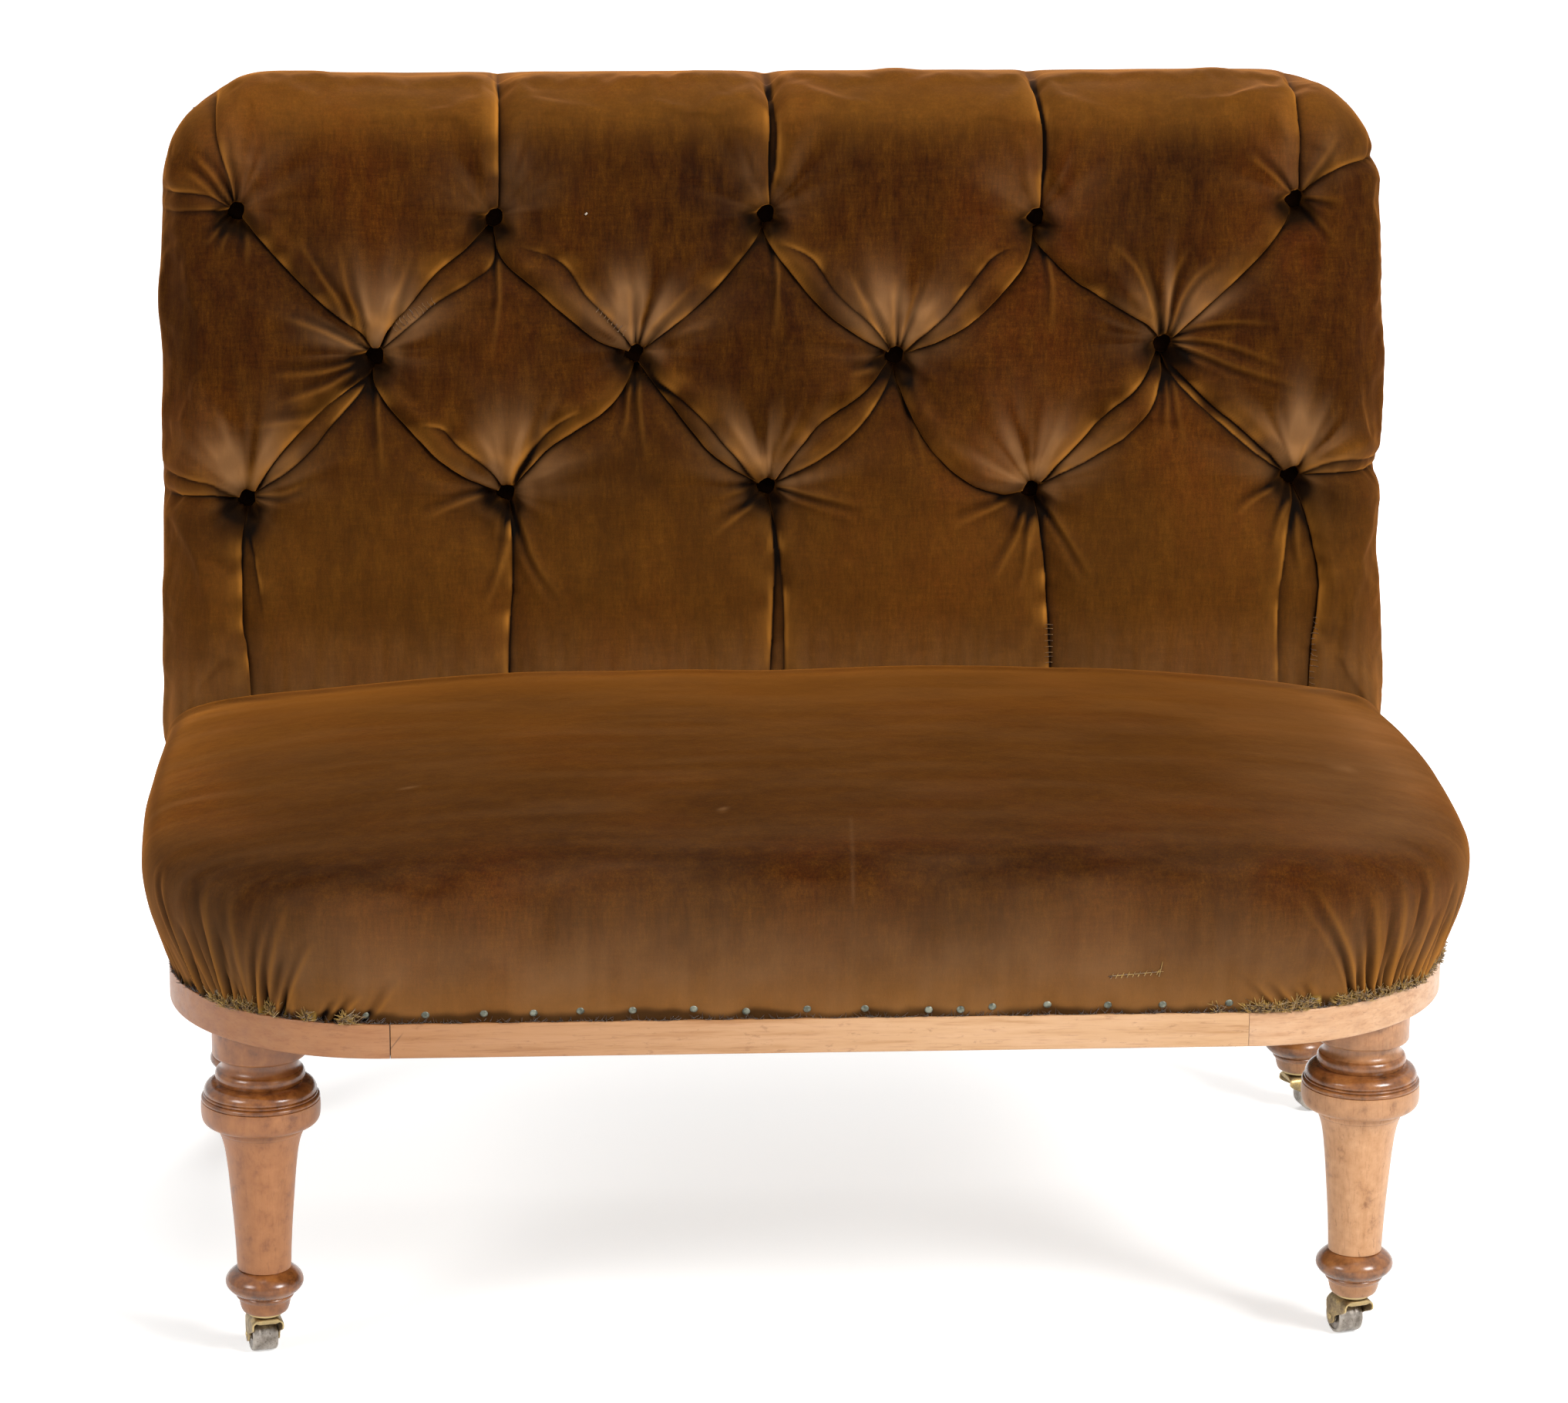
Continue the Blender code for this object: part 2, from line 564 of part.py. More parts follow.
def canvas_sizes():
    """Side inset and rear depth of the canvas at its edge, at the foot of its rise and on its plateau."""
    pad_front = back_plane(RAIL_TOP, PAD_DEPTH) - FRONT
    foot = RAIL_THICKNESS + CANVAS_LAP
    return ((REBATE + CANVAS_LAP, BACK_FOOT_DEPTH - CANVAS_LAP / 2),
            (foot, pad_front - CANVAS_LAP),
            (foot + CANVAS_SLOPE, pad_front - CANVAS_LAP - CANVAS_SLOPE))


def make_canvas(jute):
    """Spring canvas: flat over the rails, rising to a plateau on the springs."""
    edge, foot, plateau = canvas_sizes()
    thick = CANVAS_THICKNESS
    low = RAIL_TOP + GAP
    rings = [canvas_ring(plateau[0] + thick, plateau[1] - thick, PLATEAU),
             canvas_ring(foot[0] + thick, foot[1] - thick, low),
             canvas_ring(edge[0], edge[1], low),
             canvas_ring(edge[0], edge[1], low + thick),
             canvas_ring(foot[0], foot[1], low + thick),
             canvas_ring(plateau[0], plateau[1], PLATEAU + thick)]
    add_piece("spring_canvas", loft(rings), jute)


def seat_core():
    """What the seat and back pads are hollowed by: the rebated rail top and the canvas on its springs."""
    foot, plateau = canvas_sizes()[1:]
    inset = REBATE - GAP
    top = CANVAS_TOP + GAP
    rings = []
    for height in (LEDGE - OVERRUN, top):
        outline = rounded_outline(HALF_RAIL - inset, FRONT + inset, REAR + OVERRUN, FRONT_RADIUS - inset, OVERRUN)
        rings.append([(x, y, height) for x, y in outline])
    rings.append(canvas_ring(foot[0] - GAP, foot[1] + GAP, top))
    rings.append(canvas_ring(plateau[0] - GAP, plateau[1] + GAP, PLATEAU + CANVAS_THICKNESS + GAP))
    return add_cutter("seat_core", loft(rings))


def least_self_gap(points, wire, turn_steps):
    """Least gap between a coil's own turns, from its points more than half a turn apart."""
    apart = np.linalg.norm(points[:, None] - points[None], axis=2)
    order = np.arange(len(points))
    far_along = np.abs(order[:, None] - order[None]) > turn_steps / 2
    return apart[far_along].min() - 2 * wire


def make_springs(steel):
    """Hourglass springs between webbing and canvas, the end half turns flat."""
    plateau = canvas_sizes()[2]
    half = HALF_RAIL - plateau[0]
    near = FRONT + plateau[0]
    far = FRONT + plateau[1]
    wire = SPRING_WIRE_RADIUS
    low = RAIL_BOTTOM + wire
    high = PLATEAU - GAP - wire
    turns = np.arange(SPRING_TURNS * COIL_STEPS + 1) / COIL_STEPS
    share = np.clip((turns - 0.5) / (SPRING_TURNS - 1), 0, 1)
    waist = np.abs(2 * turns / SPRING_TURNS - 1) ** 1.5
    radius = SPRING_WAIST_RADIUS + (SPRING_RADIUS - SPRING_WAIST_RADIUS) * waist
    angle = 2 * math.pi * turns
    coil = np.stack([radius * np.cos(angle), radius * np.sin(angle), low + (high - low) * share], axis=1)
    print("least gap of a spring to itself, m:", round(least_self_gap(coil, wire, COIL_STEPS), 5))
    number = 0
    for row in range(SPRING_ROWS):
        for column in range(SPRING_COLUMNS):
            number += 1
            x = -half + 2 * half * (column + 0.5) / SPRING_COLUMNS
            y = near + (far - near) * (row + 0.5) / SPRING_ROWS
            curve = bpy.data.curves.new(f"seat_spring_{number}", "CURVE")
            curve.dimensions = "3D"
            curve.bevel_depth = wire
            curve.bevel_resolution = 0
            curve.use_fill_caps = True
            line = curve.splines.new("POLY")
            line.points.add(len(coil) - 1)
            for point, (dx, dy, z) in zip(line.points, coil):
                point.co = (x + dx, y + dy, z, 1.0)
            curve.materials.append(steel)
            piece = bpy.data.objects.new(f"seat_spring_{number}", curve)
            bpy.context.collection.objects.link(piece)


def make_back_frame(wood):
    """Two raked posts on tenons, a top rail with rounded ends and a stuffing rail."""
    post_top = TOP_RAIL_FOOT - GAP
    for label, side in (("left", -1), ("right", 1)):
        x_near = side * (FRAME_HALF - POST_WIDTH)
        x_far = side * FRAME_HALF
        foot = RAIL_TOP + GAP
        rear_foot = back_plane(foot, -POST_DEPTH)
        corners = [[(x_near, back_plane(foot, 0.0), foot), (x_far, back_plane(foot, 0.0), foot),
                    (x_far, rear_foot, foot), (x_near, rear_foot, foot)],
                   [on_back(x_near, post_top, 0.0), on_back(x_far, post_top, 0.0),
                    on_back(x_far, post_top, -POST_DEPTH), on_back(x_near, post_top, -POST_DEPTH)]]
        post = add_piece(f"back_post_{label}", loft(corners), wood)
        tenon = add_cutter(f"post_tenon_{label}", tenon_box(side, 0.0, TENON_SHOULDER))
        combine(post, tenon, "UNION")
    outline = [(-FRAME_HALF, TOP_RAIL_FOOT), (FRAME_HALF, TOP_RAIL_FOOT)]
    outline += arc((FRAME_HALF - FRAME_RADIUS, FRAME_TOP - FRAME_RADIUS), FRAME_RADIUS, 0, 90, CORNER_STEPS)
    outline += arc((-FRAME_HALF + FRAME_RADIUS, FRAME_TOP - FRAME_RADIUS), FRAME_RADIUS, 90, 180, CORNER_STEPS)
    rings = [[on_back(u, v, w) for u, v in outline] for w in (-POST_DEPTH, 0.0)]
    add_piece("back_top_rail", loft(rings), wood)
    half = FRAME_HALF - POST_WIDTH - GAP
    low = STUFFING_RAIL_RISE
    high = low + STUFFING_RAIL_HEIGHT
    outline = [(-half, low), (half, low), (half, high), (-half, high)]
    rings = [[on_back(u, v, w) for u, v in outline] for w in (-STUFFING_RAIL_DEPTH, 0.0)]
    add_piece("back_stuffing_rail", loft(rings), wood)


def seat_top(x, y, half, front, rear):
    """Height of the seat's dome over a plan point."""
    middle = (front + rear) / 2
    across = np.abs(x) / half
    along = (y - middle) / (rear - middle)
    drop = SEAT_END_DROP * across ** 3.2
    drop += SEAT_FRONT_DROP * np.clip(-along, 0, None) ** 3
    drop += SEAT_REAR_DROP * np.clip(along, 0, None) ** 2
    return SEAT_CROWN - drop


def make_seat_pad(velvet, core):
    """Stuffed seat: walls that swell over the show-wood, a domed top, hollow over the springs."""
    wall_shares = ((0.0, -0.10), (0.06, 0.05), (0.18, 0.28), (0.33, 0.60), (0.50, 0.86), (0.68, 1.0),
                   (0.81, 0.84), (0.92, 0.32), (1.0, -0.60))
    top_shares = (0.955, 0.88, 0.74, 0.52, 0.25)
    foot = LEDGE + GAP
    middle_height = (LEDGE + SEAT_CROWN) / 2
    rear_middle = back_plane(middle_height, PAD_DEPTH + GAP)
    half = HALF_RAIL + SEAT_BULGE
    front = FRONT - SEAT_BULGE

    def leaned(outline, height):
        """Carry an outline to its heights, the rear following the raked back."""
        lean = back_plane(height, PAD_DEPTH + GAP) - rear_middle
        share = np.clip((outline[:, 1] - front) / (rear_middle - front), 0, 1)
        return np.stack([outline[:, 0], outline[:, 1] + share * lean, height], axis=1)

    def outline_at(outward):
        """Plan outline at a distance outside the rail's faces."""
        return rounded_outline(HALF_RAIL + outward, FRONT - outward, rear_middle, FRONT_RADIUS + outward,
                               SEAT_REAR_RADIUS)

    rim = outline_at(wall_shares[-1][1] * SEAT_BULGE)
    shoulder = seat_top(rim[:, 0], rim[:, 1], half, front, rear_middle)
    rings = []
    for height_share, bulge_share in wall_shares:
        height = foot + height_share * (shoulder - foot)
        rings.append(leaned(outline_at(bulge_share * SEAT_BULGE), height))
    centre = np.array([0.0, (front + rear_middle) / 2])
    for share in top_shares:
        inner = centre + share * (rim - centre)
        height = seat_top(inner[:, 0], inner[:, 1], half, front, rear_middle)
        rings.append(leaned(inner, height))
    pad = add_piece("seat_pad", loft(rings), velvet, rounded=True)
    combine(pad, core)


def outline_distance(u, v, half, top, radius):
    """Distance inside the back's outline, which has rounded top corners and no bottom edge."""
    across = np.abs(u) - (half - radius)
    up = v - (top - radius)
    outside = np.hypot(np.maximum(across, 0), np.maximum(up, 0))
    return radius - outside - np.minimum(np.maximum(across, up), 0)


def segment_distance(u, v, start, end):
    """Distance from points to a straight line between two places."""
    run = np.subtract(end, start)
    share = np.clip(((u - start[0]) * run[0] + (v - start[1]) * run[1]) / run.dot(run), 0, 1)
    return np.hypot(u - start[0] - share * run[0], v - start[1] - share * run[1])


def button_places():
    """Even places of the buttons on the back, row by row from the top."""
    places = []
    for height, count in ((TOP_ROW, WIDE_ROW_BUTTONS), (MIDDLE_ROW, WIDE_ROW_BUTTONS - 1),
                          (LOW_ROW, WIDE_ROW_BUTTONS)):
        for number in range(count):
            places.append(((number - (count - 1) / 2) * BUTTON_PITCH, height))
    return places


def tied_off(u, v):
    """Carry points of the even lattice along with the buttons, which were tied by eye."""
    reach = TIE_REACH_SHARE * BUTTON_PITCH
    edge = np.clip(outline_distance(u, v, back_half_width(v), BACK_HEIGHT, BACK_RADIUS) / BUTTON_EDGE, 0, 1)
    held = edge ** 2 * (3 - 2 * edge)
    across = np.zeros_like(u)
    up = np.zeros_like(u)
    for place, (across_share, up_share) in zip(button_places(), TIE_SHARES):
        pull = held * np.exp(-((u - place[0]) ** 2 + (v - place[1]) ** 2) / (2 * reach ** 2))
        across += pull * across_share * BUTTON_PITCH
        up += pull * up_share * BUTTON_PITCH
    return u + across, v + up


def pleat_lines(places):
    """Folds of the velvet: between neighbouring rows, up over the top, down to the seat, out to the sides."""
    lines = []
    for start in places:
        for end in places:
            steep = 0 < start[1] - end[1] < 1.5 * BUTTON_ROW_PITCH
            if steep and abs(start[0] - end[0]) < BUTTON_PITCH * 0.75:
                lines.append((start, end, 1.0))
        if start[1] == TOP_ROW:
            lines.append((start, (start[0], BACK_HEIGHT), 1.0))
        if start[1] == LOW_ROW:
            lines.append((start, (start[0], LOWEST_PLEAT_RISE), 1.0))
        if start[1] != MIDDLE_ROW and abs(start[0]) > BUTTON_PITCH * 1.5:
            side = math.copysign(HALF_RAIL + BACK_OVERHANG, start[0])
            lines.append((start, (side, start[1]), SIDE_PLEAT_SHARE))
    return lines


def back_half_width(v):
    """Half width of the back pad at a height up the slope: tapered, drawn in at the foot."""
    low = (LEDGE - RAIL_TOP) / math.cos(RAKE)
    tuck = np.clip(1 - (v - low) / BACK_TUCK_HEIGHT, 0, 1) ** 2
    return HALF_RAIL + BACK_OVERHANG - BACK_TAPER * np.clip(v / BACK_HEIGHT, 0, 1) - BACK_TUCK * tuck


def pad_height(u, v, half, places, lines):
    """How far the tufted face stands out of the back frame."""
    risen = np.clip(v / LOWEST_PLEAT_RISE, 0, 1)
    round_size = PAD_FOOT_ROUND + (PAD_EDGE_ROUND - PAD_FOOT_ROUND) * risen ** 2
    inside = np.clip(outline_distance(u, v, half, BACK_HEIGHT, BACK_RADIUS) / round_size, 0, 1)
    rounded = np.sqrt(1 - (1 - inside) ** 2)
    dent = np.zeros_like(u)
    for start, end, share in lines:
        reach = segment_distance(u, v, start, end) / PLEAT_REACH
        dent = np.maximum(dent, PLEAT_DEPTH * share * np.exp(-reach ** 2))
    for place in places:
        reach = np.hypot(u - place[0], v - place[1]) / PIT_REACH
        dent = np.maximum(dent, PIT_DEPTH * np.exp(-reach ** 1.2))
    return (PAD_DEPTH - dent) * rounded


def back_grid():
    """Square places of the pad's face: columns in eighths of the button pitch, rows in quarters of the row pitch."""
    eighth = BUTTON_PITCH / 8
    inner = np.arange(-(WIDE_ROW_BUTTONS - 1) * 4, (WIDE_ROW_BUTTONS - 1) * 4 + 1) * eighth
    edge_shares = np.array([0.50, 0.86, 1.0])
    upper_shares = np.array([0.30, 0.60, 0.86, 1.0])
    lower_shares = np.array([0.0, 0.14, 0.28, 0.42, 0.54, 0.66, 0.78, 0.89])
    low = (LEDGE - OVERRUN - RAIL_TOP) / math.cos(RAKE)
    upper = TOP_ROW + TOP_BUTTON_DROP * upper_shares
    lower = low + (LOW_ROW - low) * lower_shares
    rows = np.concatenate([lower, LOW_ROW + np.arange(9) * BUTTON_ROW_PITCH / 4, upper])
    half = back_half_width(rows)
    outer = inner[-1] + (half[:, None] - inner[-1]) * edge_shares[None]
    u = np.concatenate([-outer[:, ::-1], np.repeat(inner[None], len(rows), axis=0), outer], axis=1)
    v = np.repeat(rows[:, None], u.shape[1], axis=1)
    return u, v, half[:, None], len(edge_shares), len(lower)


def round_corners(u, v, half):
    """Bend the square top corners of the grid into quarter circles."""
    across = (np.abs(u) - (half - BACK_RADIUS)) / BACK_RADIUS
    up = (v - (BACK_HEIGHT - BACK_RADIUS)) / BACK_RADIUS
    corner = (across > 0) & (up > 0)
    bent_across = across * np.sqrt(np.clip(1 - up ** 2 / 2, 0, 1))
    bent_up = up * np.sqrt(np.clip(1 - across ** 2 / 2, 0, 1))
    new_u = np.sign(u) * (half - BACK_RADIUS + bent_across * BACK_RADIUS)
    new_v = BACK_HEIGHT - BACK_RADIUS + bent_up * BACK_RADIUS
    return np.where(corner, new_u, u), np.where(corner, new_v, v)


def make_back_pad(velvet, core):
    """Tufted back: a pit with a flat floor at each button, folds between them, sides round the frame."""
    places = button_places()
    lines = pleat_lines(places)
    u, v, half, first, low_row = back_grid()
    u, v = round_corners(u, v, half)
    w = pad_height(u, v, half, places, lines)
    u, v = tied_off(u, v)
    rows, columns = u.shape
    pits = set()
    for row, start, count in ((low_row + 8, 0, WIDE_ROW_BUTTONS), (low_row + 4, 4, WIDE_ROW_BUTTONS - 1),
                              (low_row, 0, WIDE_ROW_BUTTONS)):
        pits |= {(row, first + start + 8 * number) for number in range(count)}

    shape = bmesh.new()
    grid = [[shape.verts.new(on_back(u[j, i], v[j, i], w[j, i])) for i in range(columns)] for j in range(rows)]
    around = ((-1, -1), (-1, 0), (-1, 1), (0, 1), (1, 1), (1, 0), (1, -1), (0, -1))
    beside_pit = {(j + dj, i + di) for j, i in pits for dj in (-1, 0) for di in (-1, 0)}
    for j in range(rows - 1):
        for i in range(columns - 1):
            if (j, i) in beside_pit:
                continue
            a, b, c, d = grid[j][i], grid[j][i + 1], grid[j + 1][i + 1], grid[j + 1][i]
            if w[j, i] + w[j + 1, i + 1] <= w[j, i + 1] + w[j + 1, i]:
                shape.faces.new((a, b, c))
                shape.faces.new((a, c, d))
            else:
                shape.faces.new((a, b, d))
                shape.faces.new((b, c, d))
    floor_height = PAD_DEPTH - PIT_DEPTH
    for j, i in pits:
        floor = []
        for dj, di in around:
            angle = math.atan2(v[j + dj, i + di] - v[j, i], u[j + dj, i + di] - u[j, i])
            floor.append(shape.verts.new(on_back(u[j, i] + BUTTON_SEAT * math.cos(angle),
                                                 v[j, i] + BUTTON_SEAT * math.sin(angle), floor_height)))
        for here in range(8):
            there = (here + 1) % 8
            near = grid[j + around[here][0]][i + around[here][1]]
            next_near = grid[j + around[there][0]][i + around[there][1]]
            shape.faces.new((near, next_near, floor[there]))
            shape.faces.new((near, floor[there], floor[here]))
        shape.faces.new(floor)
        shape.verts.remove(grid[j][i])

    rim = [(0, i) for i in range(columns)] + [(j, columns - 1) for j in range(1, rows)]
    rim += [(rows - 1, i) for i in range(columns - 2, -1, -1)] + [(j, 0) for j in range(rows - 2, 0, -1)]
    front_rim = [grid[j][i] for j, i in rim]
    rear_rim = [shape.verts.new(on_back(u[j, i], v[j, i], -POST_DEPTH)) for j, i in rim]
    for here in range(len(rim)):
        there = (here + 1) % len(rim)
        shape.faces.new((front_rim[there], front_rim[here], rear_rim[here], rear_rim[there]))
    shape.faces.new(rear_rim[::-1])
    pad = add_piece("back_pad", shape, velvet, rounded=True)

    reach = FRAME_HALF + GAP
    top = FRAME_TOP + GAP
    turn = FRAME_RADIUS + GAP
    outline = [(-reach, -BACK_HEIGHT), (reach, -BACK_HEIGHT)]
    outline += arc((reach - turn, top - turn), turn, 0, 90, CORNER_STEPS)
    outline += arc((-reach + turn, top - turn), turn, 90, 180, CORNER_STEPS)
    rings = [[on_back(a, b, c) for a, b in outline] for c in (-POST_DEPTH - OVERRUN, PAD_REAR)]
    combine(pad, add_cutter("frame_pocket", loft(rings)))
    wide = RAIL_WIDTH
    ground = box((-wide, FRONT - wide, LEDGE - wide), (wide, REAR + wide, LEDGE + GAP))
    combine(pad, add_cutter("ledge_cut", ground))
    combine(pad, core)


def make_buttons(velvet):
    """Covered buttons, domed in front, seated on the floors of the pits."""
    low = PAD_DEPTH - PIT_DEPTH + GAP
    dome_shares = ((0.85, 0.0), (1.0, 0.4), (0.62, 0.9), (0.2, 1.0))
    profile = [(BUTTON_RADIUS * across, low + BUTTON_THICKNESS * up) for across, up in dome_shares]
    angles = np.arange(BUTTON_FACETS) * 2 * math.pi / BUTTON_FACETS
    places = np.array(button_places())
    tied_u, tied_v = tied_off(places[:, 0], places[:, 1])
    for number, (u, v) in enumerate(zip(tied_u, tied_v), start=1):
        rings = [[on_back(u + radius * math.cos(a), v + radius * math.sin(a), height) for a in angles]
                 for radius, height in profile]
        add_piece(f"back_button_{number:02d}", loft(rings), velvet, rounded=True)


def make_outside_back(cover):
    """Outside cover: upright behind the rail's rebate, then raked up the posts to a rounded top."""
    top = BACK_HEIGHT - COVER_INSET
    turn = BACK_RADIUS - COVER_INSET
    near = REAR - REBATE + GAP
    inner = -POST_DEPTH - GAP
    outer = inner - COVER_THICKNESS
    low_half = HALF_RAIL - REAR_RADIUS

    def bend(depth, w):
        """Height up the slope at which a raked plane meets an upright one."""
        return (depth - BACK_FOOT + w * math.cos(RAKE)) / math.sin(RAKE)

    def row(half, inner_v, outer_v):
        """Four corners of the sheet at one height."""
        return [on_back(-half, inner_v, inner), on_back(half, inner_v, inner),
                on_back(half, outer_v, outer), on_back(-half, outer_v, outer)]

    far = near + COVER_THICKNESS
    foot = LEDGE + GAP
    rings = [[(-low_half, near, foot), (low_half, near, foot), (low_half, far, foot), (-low_half, far, foot)],
             row(low_half, bend(near, inner), bend(far, outer))]
    shoulder = bend(near, inner) + 2 * COVER_INSET
    rings.append(row(back_half_width(shoulder) - COVER_INSET, shoulder, shoulder))
    straight = back_half_width(top - turn) - COVER_INSET
    for angle in np.radians(np.linspace(0, 80, 8)):
        v = top - turn + turn * math.sin(angle)
        rings.append(row(straight - turn + turn * math.cos(angle), v, v))
    rings.append(row(straight - turn, top, top))
    add_piece("outside_back", loft(rings), cover)


def main():
    """Build the whole sofa."""
    clear_objects()
    birch = make_finish("waxed_birch", (0.56, 0.27, 0.12), 0.45)
    beech = make_finish("frame_beech", (0.50, 0.33, 0.18), 0.75)
    velvet = make_finish("cotton_velvet", (0.115, 0.045, 0.006), 0.85)
    jute = make_finish("jute_webbing", (0.38, 0.25, 0.12), 0.9)
    steel = make_finish("spring_steel", (0.35, 0.33, 0.31), 0.4, 1.0)
    brass = make_finish("cast_brass", (0.52, 0.40, 0.20), 0.38, 1.0)
    make_seat_frame(birch)
    make_legs(birch)
    make_castors(brass)
    make_seat_webbing(jute)
    make_springs(steel)
    make_canvas(jute)
    make_back_frame(beech)
    make_back_webbing(jute)
    core = seat_core()
    make_seat_pad(velvet, core)
    make_back_pad(velvet, core)
    make_buttons(velvet)
    make_outside_back(velvet)


main()
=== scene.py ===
"""Button back sofa, dressed: deep-buttoned velvet back, stuff-over seat, waxed birch show-wood and brass castors.

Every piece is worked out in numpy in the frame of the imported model, in metres, +Z up, the front facing -Y.
"""

import logging
import math
from collections.abc import Callable, Sequence
from dataclasses import dataclass, field
from enum import Enum

import bpy
import numpy as np
from mathutils import Matrix


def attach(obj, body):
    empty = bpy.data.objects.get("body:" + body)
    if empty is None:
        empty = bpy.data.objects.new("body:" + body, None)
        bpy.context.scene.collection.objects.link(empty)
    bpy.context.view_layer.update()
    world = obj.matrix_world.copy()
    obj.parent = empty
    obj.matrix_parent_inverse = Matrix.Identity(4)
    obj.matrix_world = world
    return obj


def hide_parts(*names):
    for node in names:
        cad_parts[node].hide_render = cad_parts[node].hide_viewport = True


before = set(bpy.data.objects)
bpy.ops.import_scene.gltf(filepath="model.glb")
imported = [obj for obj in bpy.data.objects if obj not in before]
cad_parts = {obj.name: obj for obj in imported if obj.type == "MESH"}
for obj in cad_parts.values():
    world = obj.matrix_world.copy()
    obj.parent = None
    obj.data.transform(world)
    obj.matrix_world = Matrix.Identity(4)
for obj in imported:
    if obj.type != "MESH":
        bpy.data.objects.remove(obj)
log = logging.getLogger("sofa")

Grid = np.ndarray
Point = tuple[float, float]
Place = tuple[float, float, float]
Counts = tuple[int, int, int, int, int]
Placing = Callable[[Grid, Grid, Grid], Grid]
Tree = bpy.types.NodeTree
Socket = bpy.types.NodeSocket
Inputs = dict[str | int, object]

UPWARD = np.array([0.0, 0.0, 1.0])


# ---------------------------------------------------------------- sizes


@dataclass(frozen=True)
class SofaPlan:
    """Sizes that several sub-assemblies share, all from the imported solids."""

    gap: float = 0.0003
    rail_width: float = 1.059
    rail_depth: float = 0.705
    rail_height: float = 0.072
    rail_thickness: float = 0.045
    show_band: float = 0.029
    rebate: float = 0.007
    front_radius: float = 0.180
    front_tail: float = 0.004
    rear_radius: float = 0.035
    rear_tail: float = 0.070
    leg_length: float = 0.2486
    castor_height: float = 0.0405
    front: float = -0.381162
    back_foot: float = 0.286543
    rake: float = math.radians(8.0)
    back_height: float = 0.609
    back_radius: float = 0.105
    back_overhang: float = 0.0305
    back_taper: float = 0.008
    back_tuck: float = 0.024
    back_tuck_height: float = 0.070
    pad_depth: float = 0.075
    post_depth: float = 0.030
    button_pitch: float = 0.237
    row_pitch: float = 0.1235
    top_row: float = 0.478

    @property
    def half_rail(self) -> float:
        """Half the width over the rails."""
        return self.rail_width / 2

    @property
    def rear(self) -> float:
        """Depth of the rails' rear face."""
        return self.front + self.rail_depth

    @property
    def rail_bottom(self) -> float:
        """Height of the rails' lower edge."""
        return self.castor_height + self.leg_length

    @property
    def ledge(self) -> float:
        """Height of the rebate that the seat velvet stops on."""
        return self.rail_bottom + self.show_band

    @property
    def rail_top(self) -> float:
        """Height of the rails' upper face."""
        return self.rail_bottom + self.rail_height

    @property
    def back_low(self) -> float:
        """Where the back's cover starts, up its slope from the rail top."""
        return (self.ledge + self.gap - self.rail_top) / math.cos(self.rake)

    def on_back(self, u: Grid, v: Grid, w: Grid) -> Grid:
        """World points of the raked back: (u, foot + v sin r - w cos r, rail top + v cos r + w sin r).

        Args: u across; v up the slope from the rail top; w out of its face.
        Returns: points, with their coordinates along the last axis.
        """
        sine, cosine = math.sin(self.rake), math.cos(self.rake)
        u, v, w = np.broadcast_arrays(u, v, w)
        return np.stack([u, self.back_foot + v * sine - w * cosine, self.rail_top + v * cosine + w * sine], axis=-1)

    def back_plane(self, height: Grid, w: float) -> Grid:
        """Plane that lies in front of the back's frame and leans as it does.

        Args: height above the floor; w, how far in front it lies.
        Returns: the plane's depth at that height.
        """
        v = (height - self.rail_top - w * math.sin(self.rake)) / math.cos(self.rake)
        return self.back_foot + v * math.sin(self.rake) - w * math.cos(self.rake)

    def back_half(self, v: Grid) -> Grid:
        """Half width of the back: tapered upwards, and drawn in at the foot by a squared share of the tuck's height.

        Args: v up the slope.
        Returns: the half width there.
        """
        low = (self.ledge - self.rail_top) / math.cos(self.rake)
        tuck = np.clip(1 - (v - low) / self.back_tuck_height, 0, 1) ** 2
        taper = self.back_taper * np.clip(v / self.back_height, 0, 1)
        return self.half_rail + self.back_overhang - taper - self.back_tuck * tuck

    def buttons(self) -> Grid:
        """Fourteen buttons, each a little off the even lattice, as they were tied by eye.

        Returns: their places (u, v).
        """
        ties = np.array([
            (-0.034, 0.046), (-0.063, 0.017), (-0.036, 0.025), (-0.008, 0.008), (-0.017, 0.072),
            (-0.021, 0.021), (-0.034, 0.021), (-0.044, 0.008), (-0.019, 0.046),
            (-0.013, 0.0), (-0.030, 0.015), (-0.036, 0.030), (-0.025, 0.011), (-0.019, 0.059),
        ])
        even = [((number - (count - 1) / 2) * self.button_pitch, self.top_row - row * self.row_pitch)
                for row, count in enumerate((5, 4, 5)) for number in range(count)]
        return np.array(even) + ties * self.button_pitch

    def leg_axis(self, side: int, front: bool) -> Point:
        """Axis of a leg in plan.

        Args: side, -1 left or 1 right; front, whether it is a front leg.
        Returns: (x, y).
        """
        x = 0.4530 if front else 0.48998
        y = -0.29106 if front else 0.26671
        return side * x, y


PLAN = SofaPlan()


class Corner(Enum):
    """The four corners: body name stem, side, at the front or not, heading of the castor in degrees."""

    FRONT_LEFT = ("front_left", -1, True, 12.0)
    FRONT_RIGHT = ("front_right", 1, True, 17.0)
    REAR_LEFT = ("rear_left", -1, False, 24.0)
    REAR_RIGHT = ("rear_right", 1, False, -75.0)

    @property
    def key(self) -> str:
        """Name stem of the corner's castor bodies and nodes."""
        return self.value[0]

    @property
    def leg_node(self) -> str:
        """Name of the corner's leg."""
        place, side = self.value[0].split("_")
        return f"{place}_leg_{side}"

    @property
    def rail_node(self) -> str:
        """Name of the corner's sawn rail piece."""
        place, side = self.value[0].split("_")
        return f"{place}_corner_{side}"


# ---------------------------------------------------------------- numbers and noise


